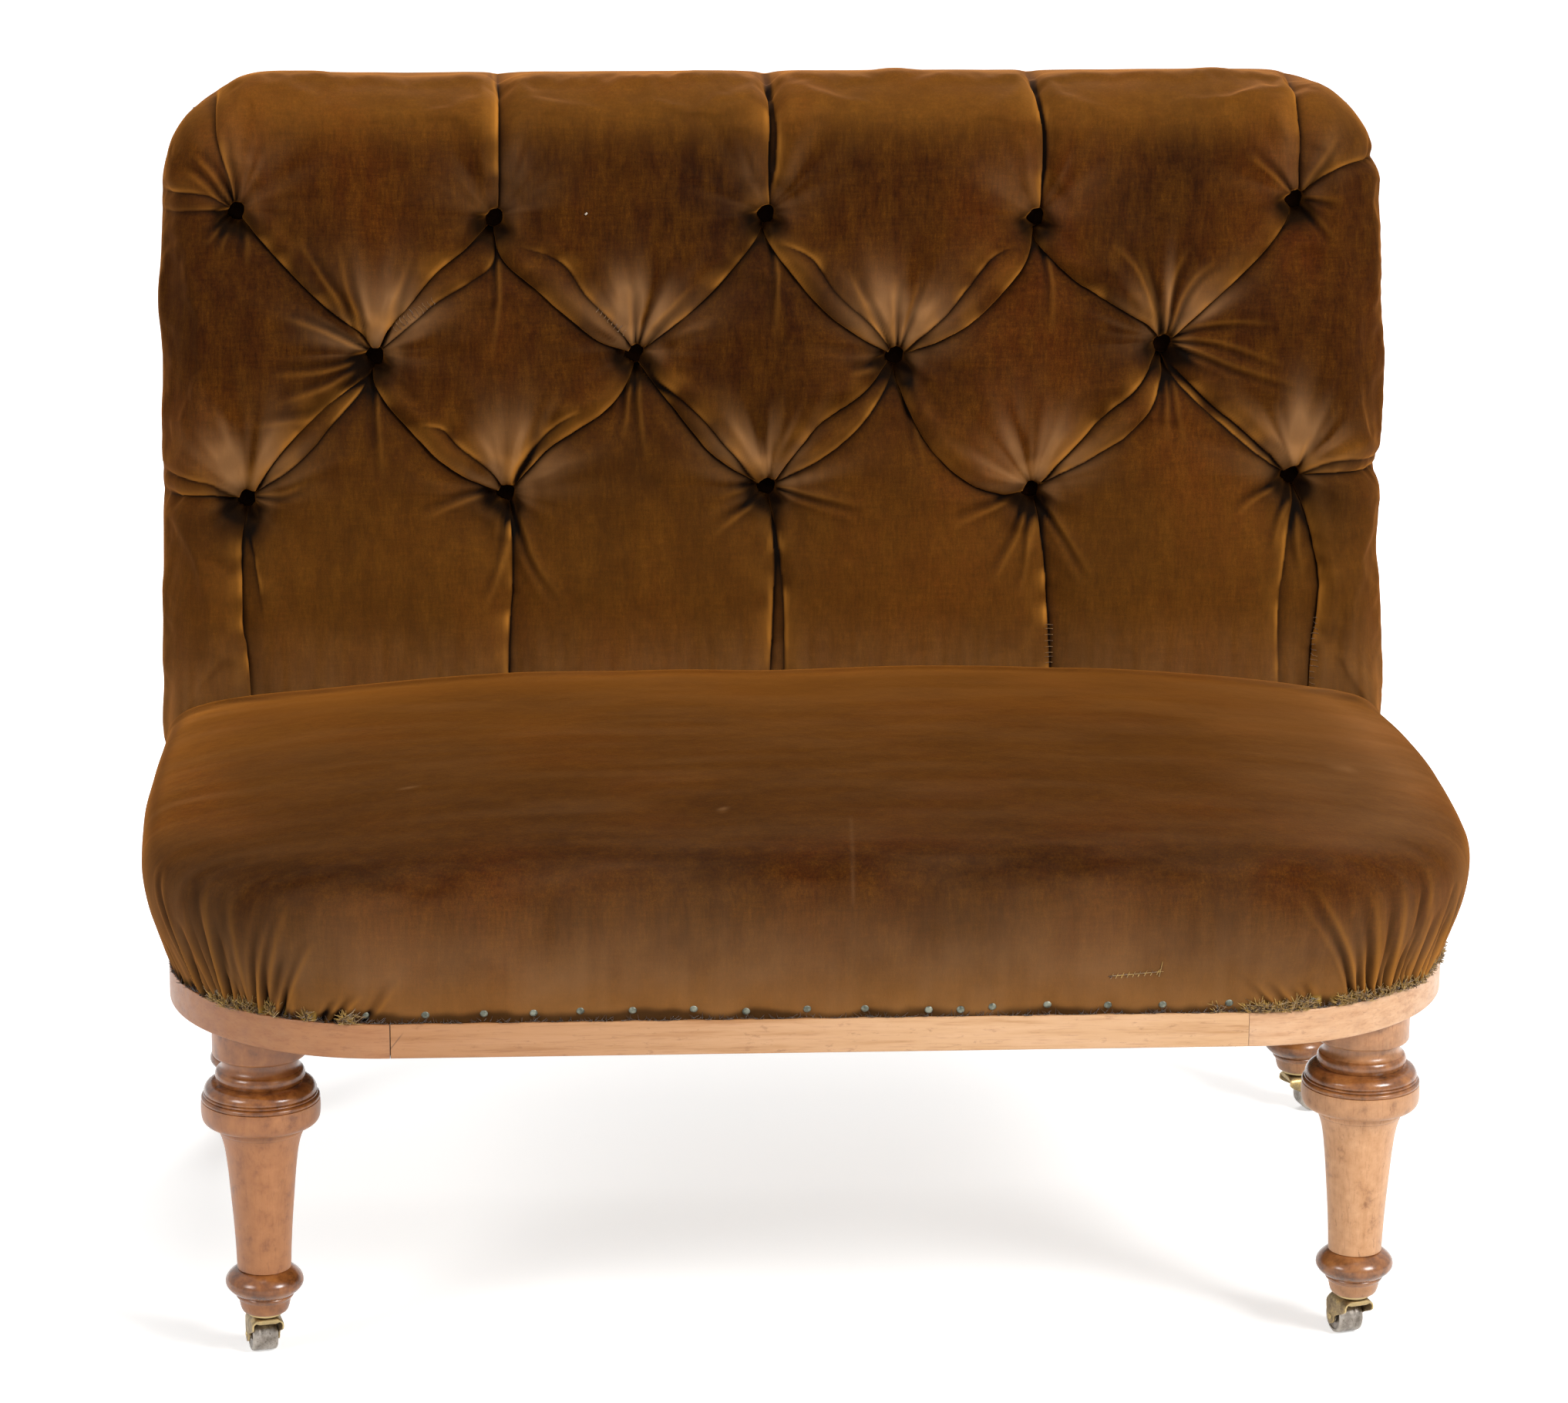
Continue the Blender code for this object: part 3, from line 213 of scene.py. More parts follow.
def smooth(low: float, high: float, value: Grid) -> Grid:
    """Rise from 0 at low to 1 at high with level ends: t squared times (3 - 2t).

    Args: low and high, either of which may be the greater; value.
    Returns: the share from 0 to 1.
    """
    share = np.clip((value - low) / (high - low), 0.0, 1.0)
    return share * share * (3 - 2 * share)


def bell(value: Grid, middle: float, width: float) -> Grid:
    """Bell curve: exp(-((value - middle) / width)^2)."""
    return np.exp(-((value - middle) / width) ** 2)


def unit(vectors: Grid) -> Grid:
    """Vectors along the last axis divided by their lengths: v / |v|."""
    return vectors / np.maximum(np.linalg.norm(vectors, axis=-1, keepdims=True), 1e-12)


def round_angles(count: int) -> Grid:
    """Even angles once round: 2 pi k / count."""
    return np.arange(count) * 2 * math.pi / count


def way_round(ring: Grid) -> Grid:
    """Length round a closed ring of points up to each of them: the sum of the steps before it."""
    step = np.linalg.norm(np.roll(ring, -1, axis=0) - ring, axis=1)
    return np.concatenate([[0], np.cumsum(step)[:-1]])


class LatticeNoise:
    """Seeded noise: random corner values of unit cells, blended with the smooth step between them."""

    def __init__(self, seed: int) -> None:
        """Draw the corner values once.

        Args: seed, so that each run gives the same surface.
        """
        self.table = np.random.default_rng(seed).random((64, 64)) * 2 - 1

    def at(self, x: Grid, y: Grid) -> Grid:
        """Noise at points counted in cells.

        Args: x; y.
        Returns: values from -1 to 1.
        """
        x, y = np.broadcast_arrays(x, y)
        column, row = np.floor(x).astype(int), np.floor(y).astype(int)
        a, b = smooth(0, 1, x - column), smooth(0, 1, y - row)
        near = self.table[row % 64, column % 64] * (1 - a) + self.table[row % 64, (column + 1) % 64] * a
        far = self.table[(row + 1) % 64, column % 64] * (1 - a) + self.table[(row + 1) % 64, (column + 1) % 64] * a
        return near * (1 - b) + far * b

    def layered(self, x: Grid, y: Grid, layers: int = 3) -> Grid:
        """Sum of layers, each twice as fine and half as strong as the one before.

        Args: x; y, counted in cells of the coarsest layer; layers, their number.
        Returns: values about 0.
        """
        total = np.zeros(np.broadcast(x, y).shape)
        for layer in range(layers):
            scale = 2.0 ** layer
            total += self.at(x * scale + 17.3 * layer, y * scale + 9.1 * layer) / scale
        return total


# ---------------------------------------------------------------- meshes


@dataclass
class Shape:
    """Points with faces of four and of three corners, and named values at the points."""

    points: Grid
    quads: Grid
    triangles: Grid = field(default_factory=lambda: np.zeros((0, 3), int))
    values: dict[str, Grid] = field(default_factory=dict)

    def corners(self) -> list[Grid]:
        """First, second and third corners of its triangles, each face of four corners split in two."""
        split = np.concatenate([self.quads[:, [0, 1, 2]], self.quads[:, [0, 2, 3]], self.triangles])
        return [self.points[split[:, k]] for k in range(3)]

    def volume(self) -> float:
        """Signed volume: the sum over triangles of a . (b x c) / 6, positive when faces point outwards."""
        a, b, c = self.corners()
        return float(np.einsum("ij,ij->i", a, np.cross(b, c)).sum() / 6)

    def outward(self) -> "Shape":
        """Turn the faces outwards.

        Returns: the same shape.
        """
        if self.volume() < 0:
            self.quads = self.quads[:, ::-1]
            self.triangles = self.triangles[:, ::-1]
        return self


def joined(shapes: Sequence[Shape]) -> Shape:
    """Join shapes, each keeping its own points.

    Args: shapes; a value that one lacks is 0 there.
    Returns: one shape.
    """
    offsets = np.cumsum([0] + [len(shape.points) for shape in shapes])
    names = sorted({name for shape in shapes for name in shape.values})
    values = {name: np.concatenate([shape.values.get(name, np.zeros(len(shape.points))) for shape in shapes])
              for name in names}
    return Shape(np.concatenate([shape.points for shape in shapes]),
                 np.concatenate([shape.quads + shift for shape, shift in zip(shapes, offsets)]),
                 np.concatenate([shape.triangles + shift for shape, shift in zip(shapes, offsets)]), values)


def grid_quads(rows: int, columns: int, closed_columns: bool = False) -> Grid:
    """Faces of a grid of points numbered row by row.

    Args: rows and columns of points; closed_columns, whether the last column joins the first.
    Returns: an array of four indices for each face.
    """
    row = np.arange(rows - 1)[:, None]
    column = np.arange(columns if closed_columns else columns - 1)[None]
    after = (column + 1) % columns
    corners = [row * columns + column, row * columns + after, (row + 1) * columns + after, (row + 1) * columns + column]
    return np.stack(np.broadcast_arrays(*corners), axis=-1).reshape(-1, 4)


def skinned(rings: Grid, values: dict[str, Grid] | None = None) -> Shape:
    """Closed body through rings of points: quads between rings, a fan from the middle of each end ring.

    Args: rings, an array (rings, points, 3); values at those points.
    Returns: a closed shape that faces outwards.
    """
    count, around = rings.shape[:2]
    points = np.concatenate([rings.reshape(-1, 3), rings[:1].mean(axis=1), rings[-1:].mean(axis=1)])
    here = np.arange(around)
    there = (here + 1) % around
    last = (count - 1) * around
    first_fan = np.stack([there, here, np.full(around, count * around)], axis=1)
    last_fan = np.stack([last + here, last + there, np.full(around, count * around + 1)], axis=1)
    kept = {}
    for name, value in (values or {}).items():
        flat = np.broadcast_to(value, (count, around)).reshape(-1)
        kept[name] = np.concatenate([flat, [flat[:around].mean(), flat[-around:].mean()]])
    return Shape(points, grid_quads(count, around, closed_columns=True),
                 np.concatenate([first_fan, last_fan]), kept).outward()


def lathe(profile: Grid, facets: int, axis: Point = (0.0, 0.0), values: dict[str, Grid] | None = None) -> Shape:
    """Turn a profile of (radius, height) round an upright axis: x = r cos a, y = r sin a.

    Args: profile; facets round it; the axis in plan; values along the profile.
    Returns: a closed shape.
    """
    angles = round_angles(facets)
    radius, height = profile[:, :1], profile[:, 1:]
    rings = np.stack([axis[0] + radius * np.cos(angles), axis[1] + radius * np.sin(angles),
                      np.broadcast_to(height, (len(profile), facets))], axis=-1)
    return skinned(rings, {name: value[:, None] for name, value in (values or {}).items()})


def along_path(path: Grid, section: Grid, up: Grid, scale: Grid | float = 1.0) -> Shape:
    """Carry a flat section along a path: point = path + a (tangent x up) + b up, with up made square to the path.

    Args: path (n, 3); section (m, 2); up, a direction for each path point or one for all; scale along the path.
    Returns: a closed shape with fans at its ends.
    """
    tangent = unit(np.gradient(path, axis=0))
    up = np.broadcast_to(up, path.shape)
    up = up - tangent * np.einsum("ij,ij->i", up, tangent)[:, None]
    up = unit(up)
    side = np.cross(tangent, up)
    size = np.broadcast_to(scale, (len(path),))[:, None, None]
    rings = path[:, None] + size * (side[:, None] * section[None, :, :1] + up[:, None] * section[None, :, 1:])
    return skinned(rings)


def strands(paths: Grid, radius: float) -> Shape:
    """Thin tapered yarns along paths.

    Args: paths, an array (strands, points, 3); radius at the root.
    Returns: closed three-sided tubes, each r cos(a) A + r sin(a) B round its path.
    """
    count, steps = paths.shape[:2]
    tangent = unit(np.gradient(paths, axis=1))
    first = np.cross(tangent, np.where(np.abs(tangent[..., 2:]) > 0.8, [[1.0, 0, 0]], [[0, 0, 1.0]]))
    first = unit(first)
    second = np.cross(tangent, first)
    angle = round_angles(3)
    thick = radius * (1 - 0.5 * np.linspace(0, 1, steps) ** 2)[None, :, None, None]
    rings = paths[:, :, None] + thick * (np.cos(angle)[:, None] * first[:, :, None]
                                         + np.sin(angle)[:, None] * second[:, :, None])
    start = (np.arange(count) * steps * 3)[:, None, None]
    quads = (start + grid_quads(steps, 3, closed_columns=True)[None]).reshape(-1, 4)
    root, tip = start[:, 0] + [[2, 1, 0]], start[:, 0] + (steps - 1) * 3 + [[0, 1, 2]]
    return Shape(rings.reshape(-1, 3), quads, np.concatenate([root, tip]))


def rounded_section(width: float, height: float, radius: float, steps: int = 3) -> Grid:
    """Rectangle with quarter-circle corners, centred.

    Args: width; height; radius of its corners; steps round each corner.
    Returns: (m, 2) points.
    """
    turns = np.radians(np.linspace(0, 90, steps + 1))
    parts = []
    for quarter, (sx, sy) in enumerate(((1, 1), (-1, 1), (-1, -1), (1, -1))):
        angle = turns + quarter * math.pi / 2
        parts.append(np.stack([sx * (width / 2 - radius) + radius * np.cos(angle),
                               sy * (height / 2 - radius) + radius * np.sin(angle)], axis=1))
    return np.concatenate(parts)


def eased(outline: Sequence[Point], radii: Sequence[float], steps: int = 3) -> Grid:
    """Round each corner of a flat outline: a quadratic curve from radius before the corner to radius after it.

    Args: outline; a radius for each corner, 0 for a sharp one; steps along each curve.
    Returns: (corners times (steps + 1), 2) points.
    """
    corners = np.array(outline, float)
    share = np.linspace(0, 1, steps + 1)[:, None]
    parts = []
    for number, radius in enumerate(radii):
        before, here, after = corners[number - 1], corners[number], corners[(number + 1) % len(corners)]
        start, end = here + unit(before - here) * radius, here + unit(after - here) * radius
        parts.append((1 - share) ** 2 * start + 2 * share * (1 - share) * here + share ** 2 * end)
    return np.concatenate(parts)


def smooth_line(points: Sequence[Sequence[float]], count: int) -> Grid:
    """Catmull-Rom curve through points, evenly spread in its parameter: each span is the usual cubic blend.

    Args: points to pass through; count of points to give.
    Returns: the curve's points.
    """
    knots = np.array(points, float)
    padded = np.concatenate([2 * knots[:1] - knots[1:2], knots, 2 * knots[-1:] - knots[-2:-1]])
    where = np.linspace(0, len(knots) - 1, count)
    span = np.clip(where.astype(int), 0, len(knots) - 2)
    t = (where - span)[:, None]
    a, b, c, d = (padded[span + k] for k in range(4))
    return 0.5 * (2 * b + (c - a) * t + (2 * a - 5 * b + 4 * c - d) * t ** 2 + (3 * b - a - 3 * c + d) * t ** 3)


def add_mesh(name: str, shape: Shape) -> bpy.types.Mesh:
    """Put a shape and its values into a new smooth-shaded mesh.

    Args: name; shape.
    Returns: the mesh.
    """
    mesh = bpy.data.meshes.new(name)
    mesh.vertices.add(len(shape.points))
    mesh.vertices.foreach_set("co", np.ascontiguousarray(shape.points, np.float32).ravel())
    loops = np.concatenate([shape.quads.ravel(), shape.triangles.ravel()]).astype(np.int32)
    mesh.loops.add(len(loops))
    mesh.loops.foreach_set("vertex_index", loops)
    starts = np.concatenate([np.arange(len(shape.quads)) * 4,
                             len(shape.quads) * 4 + np.arange(len(shape.triangles)) * 3]).astype(np.int32)
    mesh.polygons.add(len(starts))
    mesh.polygons.foreach_set("loop_start", starts)
    for label, value in shape.values.items():
        layer = mesh.attributes.new(label, "FLOAT", "POINT")
        layer.data.foreach_set("value", np.ascontiguousarray(value, np.float32))
    mesh.update(calc_edges=True)
    mesh.validate()
    mesh.shade_smooth()
    return mesh


def add_piece(name: str, shape: Shape, finish: "Finish", nodes: Sequence[str] = (), body: str = "sofa_body",
              crease: float | None = 40.0) -> bpy.types.Object:
    """Make a shape a piece of the scene.

    Args: name; shape; finish; CAD nodes it stands for; body it rides on; crease angle in degrees, None for none.
    Returns: the new object.
    """
    mesh = add_mesh(name, shape)
    mesh.materials.append(finish.make())
    if crease is not None:
        mesh.set_sharp_from_angle(angle=math.radians(crease))
    piece = bpy.data.objects.new(name, mesh)
    bpy.context.scene.collection.objects.link(piece)
    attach(piece, body)
    if nodes:
        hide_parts(*nodes)
    log.info("%s: %d faces", name, len(mesh.polygons))
    return piece


# ---------------------------------------------------------------- finishes


def linear(code: str) -> tuple[float, float, float, float]:
    """Turn an sRGB colour to linear light: c / 12.92 when dark, else ((c + 0.055) / 1.055) to the power 2.4.

    Args: code, a hex colour such as '#5a3210'.
    Returns: red, green, blue and an alpha of 1.
    """
    channels = np.array([int(code[k:k + 2], 16) for k in (1, 3, 5)]) / 255
    lit = np.where(channels <= 0.04045, channels / 12.92, ((channels + 0.055) / 1.055) ** 2.4)
    return (*[float(value) for value in lit], 1.0)


def fill(tree: Tree, node: bpy.types.Node, inputs: Inputs) -> None:
    """Fill a node's sockets.

    Args: tree; node; inputs by name or number: a socket is linked, a hex colour made linear, a number set.
    """
    for name, value in inputs.items():
        if isinstance(value, Socket):
            tree.links.new(value, node.inputs[name])
        else:
            node.inputs[name].default_value = linear(value) if isinstance(value, str) else value


def add_node(tree: Tree, kind: str, inputs: Inputs | None = None, out: int | str = 0,
             stops: Sequence[tuple[float, str]] = (), **settings: object) -> Socket:
    """Add a node with its settings and links.

    Args: tree; kind, its type name after ShaderNode; inputs, as for fill; out, the output that is wanted; stops of
    a colour ramp as (position, hex); settings by name.
    Returns: the wanted output socket.
    """
    node = tree.nodes.new(f"ShaderNode{kind}")
    for name, value in settings.items():
        setattr(node, name, value)
    while stops and len(node.color_ramp.elements) < len(stops):
        node.color_ramp.elements.new(0.5)
    for number, (position, code) in enumerate(stops):
        node.color_ramp.elements[number].position = position
        node.color_ramp.elements[number].color = linear(code)
    fill(tree, node, inputs or {})
    return node.outputs[out]


def per_mm(size: float) -> float:
    """Noise scale whose features are about this many millimetres across."""
    return 1000.0 / size


@dataclass(frozen=True)
class Finish:
    """What every finish has: a name, the record's slot, a roughness and a way to paint itself."""

    name: str = "finish"
    slot: str = ""
    roughness: float = 0.5

    def make(self) -> bpy.types.Material:
        """Build the material the first time that it is asked for.

        Returns: the material.
        """
        known = bpy.data.materials.get(self.name)
        if known:
            return known
        material = bpy.data.materials.new(self.name)
        material.use_nodes = True
        tree = material.node_tree
        shader = tree.nodes["Principled BSDF"]
        shader.inputs["Roughness"].default_value = self.roughness
        fill(tree, shader, self.paint(tree))
        return material

    def paint(self, tree: Tree) -> Inputs:
        """Nodes of the plain finish: none. Each other finish adds its own and gives the shader's inputs."""
        return {}

    def spot(self, tree: Tree, *stretch: float) -> Socket:
        """Object coordinates, stretched along each axis where a stretch is given."""
        spot = add_node(tree, "TexCoord", out="Object")
        return add_node(tree, "Mapping", {"Vector": spot, "Scale": stretch or (1, 1, 1)})

    def clouds(self, tree: Tree, *patterns: tuple) -> list[Socket]:
        """Add noise textures.

        Args: tree; patterns, each (coordinates, size in millimetres, detail, roughness).
        Returns: a socket for each.
        """
        found = []
        for spot, size, detail, rough in patterns:
            inputs = {"Vector": spot, "Scale": per_mm(size), "Detail": detail, "Roughness": rough}
            found.append(add_node(tree, "TexNoise", inputs, out="Fac"))
        return found

    def layers(self, tree: Tree, colour: Socket, *layers: tuple) -> Socket:
        """Lay colours over one another.

        Args: tree; colour, the lowest one; layers as (share, colour, how it blends), where a share may be a value,
        a socket, the name of the piece's own value, or (socket, low, high, share at low, share at high).
        Returns: the uppermost colour.
        """
        for share, over, *blend in layers:
            if isinstance(share, str):
                share = add_node(tree, "Attribute", out="Fac", attribute_name=share)
            elif isinstance(share, tuple):
                share = add_node(tree, "MapRange", dict(enumerate(share)))
            colour = add_node(tree, "Mix", {0: share, 6: colour, 7: over}, 2, data_type="RGBA",
                              blend_type=blend[0] if blend else "MIX")
        return colour

    def relief(self, tree: Tree, *heights: tuple) -> Socket:
        """Chain bump layers.

        Args: tree; heights, each (height, depth in millimetres, strength).
        Returns: the last layer's normal.
        """
        normal = {}
        for height, depth, strength in heights:
            inputs = {"Height": height, "Distance": depth / 1000, "Strength": strength, **normal}
            normal = {"Normal": add_node(tree, "Bump", inputs)}
        return normal["Normal"]


@dataclass(frozen=True)
class CottonVelvet(Finish):
    """Cotton velvet, woven and cut: dark where one looks into the pile, golden by sheen and painted highlight where it
    bends away, darkened by painted shade in folds and pits, paler where crushed. The weave is drawn some 3 mm coarse,
    since its real threads, under 0.5 mm, are too fine to show."""

    name: str = "golden_brown_velvet"
    slot: str = "cotton_velvet"
    roughness: float = 0.85
    deep: str = "#371803"
    ground: str = "#4c2505"
    warm: str = "#602d08"
    gold: str = "#7c4b10"
    # painted highlight colour along fold edges and rolls
    rim: str = "#c98432"
    # pale colour of crushed pile, also used as painted light where a side is lit
    crushed_pile_and_painted_light: str = "#9b7048"
    # painted shade colour for pits, creases, folds and buttons
    painted_shade_colour: str = "#070301"
    bare: str = "#a8843c"
    sheen_tint: str = "#c27a2c"

    def paint(self, tree: Tree) -> Inputs:
        """Pile colour by broad and fine noise and by the piece's own values: painted highlight, crushed pile with
        painted light, painted shade, and wear.

        Args: tree of the material.
        Returns: what goes into the shader, by the name of its input.
        """
        broad, patch, pile, cross, nap = self.clouds(
            tree, (self.spot(tree, 1.0, 1.0, 0.6), 110, 1, 0.55), (self.spot(tree, 1.0, 1.0, 0.35), 14, 4, 0.62),
            (self.spot(tree, 1.0, 1.0, 0.14), 2.4, 3, 0.65), (self.spot(tree, 0.14, 0.3, 1.0), 2.6, 3, 0.65),
            (self.spot(tree), 0.9, 2, 0.7))
        depths = ((0.22, self.deep), (0.50, self.ground), (0.78, self.warm))
        colour = add_node(tree, "ValToRGB", {0: broad}, stops=depths)
        threads = [(share, add_node(tree, "ValToRGB", {0: value}, stops=((0.30, low), (0.68, "#ffffff"))), "MULTIPLY")
                   for value, share, low in ((pile, 0.60, "#8c8684"), (cross, 0.42, "#948a86"), (nap, 0.7, "#989898"))]
        crush = add_node(tree, "Attribute", out="Fac", attribute_name="crush")
        # layers: crushed pile and painted light, painted highlight, painted shade, then worn pile
        colour = self.layers(
            tree, colour, ((patch, 0.38, 0.78, 0.0, 0.42), self.gold), *threads, ((crush, 0, 1, 0, 0.80), self.crushed_pile_and_painted_light),
            ("lip", self.rim), ("hollow", self.painted_shade_colour), ("worn", self.bare))
        return {"Base Color": colour, "Sheen Weight": 0.85, "Sheen Roughness": 0.34, "Sheen Tint": self.sheen_tint,
                "Specular IOR Level": 0.05,
                "Normal": self.relief(tree, (patch, 1.4, 0.16), (pile, 0.35, 0.30), (nap, 0.25, 0.3))}


@dataclass(frozen=True)
class FrayedYarn(Finish):
    """Loose cotton yarn at a raw edge, faded or dark with dust."""

    name: str = "frayed_yarn_gold"
    slot: str = "cotton_velvet"
    roughness: float = 0.9
    low: str = "#5d3c12"
    high: str = "#b08a3c"

    def paint(self, tree: Tree) -> Inputs:
        """Colour that changes from yarn to yarn.

        Args: tree of the material.
        Returns: what goes into the shader, by the name of its input.
        """
        spot, = self.clouds(tree, (self.spot(tree), 4, 3, 0.55))
        return {"Base Color": add_node(tree, "ValToRGB", {0: spot}, stops=((0.36, self.low), (0.62, self.high))),
                "Sheen Weight": 0.3, "Normal": self.relief(tree, (spot, 0.1, 0.3))}


@dataclass(frozen=True)
class WaxedBirch(Finish):
    """Birch, planed or turned and waxed: fine straight grain, soft ray flecks, burr mottling, satin gloss."""

    name: str = "waxed_birch"
    slot: str = "waxed_birch"
    roughness: float = 0.42
    grain: tuple[float, float, float] = (0.06, 1.0, 1.0)
    pale: str = "#d2a67e"
    middle: str = "#c99c70"
    dark: str = "#b38252"
    burr: float = 0.0
    flecks: float = 0.35
    # painted shade colour that the wood's left end is multiplied by
    left_shade_colour: str = "#c09a66"
    crack: tuple[Point, Point] | None = None

    def paint(self, tree: Tree) -> Inputs:
        """Grain lines along the piece, burr patches, painted shade towards the left end, and the stained mouldings by
        the piece's stain value.

        Args: tree of the material.
        Returns: what goes into the shader, by the name of its input.
        """
        along, spot = self.spot(tree, *self.grain), self.spot(tree)
        slant = self.spot(tree, *(0.3 + 0.7 * share for share in self.grain))
        lines, fine, cloud, figure, fleck = self.clouds(
            tree, (along, 6.5, 5, 0.62), (along, 1.6, 3, 0.6), (spot, 70, 2, 0.55), (spot, 13, 4, 0.62),
            (slant, 4.5, 4, 0.7))
        # painted shade: darker from x = 0.1 towards the left end at x = -0.5, away from the key lamp at the right
        across = add_node(tree, "SeparateXYZ", {0: spot})
        left_shade = add_node(tree, "MapRange", {0: across, 1: -0.5, 2: 0.1})
        colour, burr, pores, stained, left_shade_colour = (add_node(tree, "ValToRGB", {0: value}, stops=stops) for value, stops in (
            (lines, ((0.30, self.dark), (0.46, self.middle), (0.70, self.pale))),
            (figure, ((0.30, "#80502c"), (0.42, "#bd8a5c"), (0.66, "#d6a57a"))),
            (fine, ((0.33, "#a87a52"), (0.45, "#ffffff"))),
            (figure, ((0.30, "#45220b"), (0.50, "#7c461c"), (0.72, "#a0642c"))),
            (left_shade, ((0.0, self.left_shade_colour), (1.0, "#ffffff")))))
        stain = add_node(tree, "Attribute", out="Fac", attribute_name="stain")
        crack = [(self.split(tree, spot), "#4a2a14")] if self.crack else []
        colour = self.layers(
            tree, colour, (self.burr, burr), ((cloud, 0.35, 0.70, 0.0, 0.45), self.middle), (0.22, pores, "MULTIPLY"),
            (1.0, left_shade_colour, "MULTIPLY"), ((fleck, 0.60, 0.70, 0.0, self.flecks), "#744522"), (stain, stained), *crack,
            ("hollow", "#231006"))
        waxed = {0: figure, 1: 0.3, 2: 0.7, 3: self.roughness - 0.06, 4: self.roughness + 0.10}
        gloss = add_node(tree, "MapRange", waxed)
        return {"Base Color": colour, "Roughness": add_node(tree, "Mix", {0: stain, 2: gloss, 3: 0.2}),
                "Coat Weight": 0.12, "Coat Roughness": 0.2,
                "Normal": self.relief(tree, (lines, 0.20, 0.25), (fine, 0.08, 0.3), (figure, 0.25, 0.15))}

    def split(self, tree: Tree, spot: Socket) -> Socket:
        """Hairline crack: |z - z0 - slope (x - x0)| within half a millimetre, between the crack's ends.

        Args: tree; spot, the unstretched coordinates.
        Returns: how far the crack shows, from 0 to 0.6.
        """
        (x0, z0), (x1, z1) = self.crack
        slope = (z1 - z0) / (x1 - x0)
        x, z = (add_node(tree, "SeparateXYZ", {0: spot}, out=axis) for axis in "XZ")
        fallen = add_node(tree, "Math", {0: x, 1: -slope, 2: z}, operation="MULTIPLY_ADD")
        off = add_node(tree, "Math", {0: fallen, 1: z0 - slope * x0}, operation="SUBTRACT")
        away = add_node(tree, "Math", {0: off}, operation="ABSOLUTE")
        near = add_node(tree, "MapRange", {0: away, 1: 0.0004, 2: 0.0011, 3: 0.6, 4: 0.0})
        within = add_node(tree, "MapRange", {0: x, 1: x1 - 0.004, 2: x1, 3: 1.0, 4: 0.0})
        return add_node(tree, "Math", {0: near, 1: within}, operation="MULTIPLY")


@dataclass(frozen=True)
class FrameBeech(Finish):
    """Beech of the inner frame, sawn and left bare: even pinkish brown with short dark flecks."""

    name: str = "sawn_beech"
    slot: str = "frame_beech"
    roughness: float = 0.78

    def paint(self, tree: Tree) -> Inputs:
        """Straight grain with flecks and saw marks.

        Args: tree of the material.
        Returns: what goes into the shader, by the name of its input.
        """
        lines, fleck = self.clouds(
            tree, (self.spot(tree, 0.05, 1, 1), 7, 4, 0.55), (self.spot(tree, 0.35, 1, 1), 1.8, 2, 0.55))
        colour = add_node(tree, "ValToRGB", {0: lines}, stops=((0.3, "#94683f"), (0.6, "#b98c5f")))
        flecks = add_node(tree, "ValToRGB", {0: fleck}, stops=((0.33, "#7a5433"), (0.45, "#ffffff")))
        return {"Base Color": self.layers(tree, colour, (0.5, flecks, "MULTIPLY")),
                "Normal": self.relief(tree, (lines, 0.3, 0.4), (fleck, 0.2, 0.3))}


@dataclass(frozen=True)
class WornBrass(Finish):
    """Cast yellow brass, rubbed and tarnished: dull brown in the pits, brighter on the worn edges."""

    name: str = "worn_brass"
    slot: str = "cast_brass"
    roughness: float = 0.40
    bright: str = "#b79a63"
    middle: str = "#97835f"
    dull: str = "#73624a"
    edge: str = "#c9b382"

    def paint(self, tree: Tree) -> Inputs:
        """Tarnish clouds, cast pitting, worn edges from the surface's own curvature.

        Args: tree of the material.
        Returns: what goes into the shader, by the name of its input.
        """
        spot = self.spot(tree)
        cloud, pits = self.clouds(tree, (spot, 9, 4, 0.6), (spot, 1.2, 3, 0.6))
        tarnish = ((0.34, self.dull), (0.52, self.middle), (0.70, self.bright))
        colour = add_node(tree, "ValToRGB", {0: cloud}, stops=tarnish)
        edge = add_node(tree, "NewGeometry", out="Pointiness")
        rubbed = {0: cloud, 1: 0.3, 2: 0.7, 3: self.roughness + 0.14, 4: self.roughness - 0.06}
        return {"Base Color": self.layers(tree, colour, ((pits, 0.30, 0.44, 0.7, 0.0), "#3f3320"),
                                          ((edge, 0.52, 0.60), self.edge)),
                "Metallic": 1.0, "Roughness": add_node(tree, "MapRange", rubbed),
                "Normal": self.relief(tree, (cloud, 0.25, 0.3), (pits, 0.12, 0.5))}


@dataclass(frozen=True)
class PlainMetal(Finish):
    """A plain metal with light mottling: tinned iron tacks, or blued spring steel."""

    name: str = "blued_spring_steel"
    slot: str = "spring_steel"
    roughness: float = 0.45
    low: str = "#3b3633"
    high: str = "#6d6660"
    metallic: float = 1.0

    def paint(self, tree: Tree) -> Inputs:
        """Patches of oxide on the metal.

        Args: tree of the material.
        Returns: what goes into the shader, by the name of its input.
        """
        cloud, = self.clouds(tree, (self.spot(tree), 5, 4, 0.55))
        return {"Base Color": add_node(tree, "ValToRGB", {0: cloud}, stops=((0.35, self.low), (0.65, self.high))),
                "Metallic": self.metallic, "Normal": self.relief(tree, (cloud, 0.1, 0.4))}


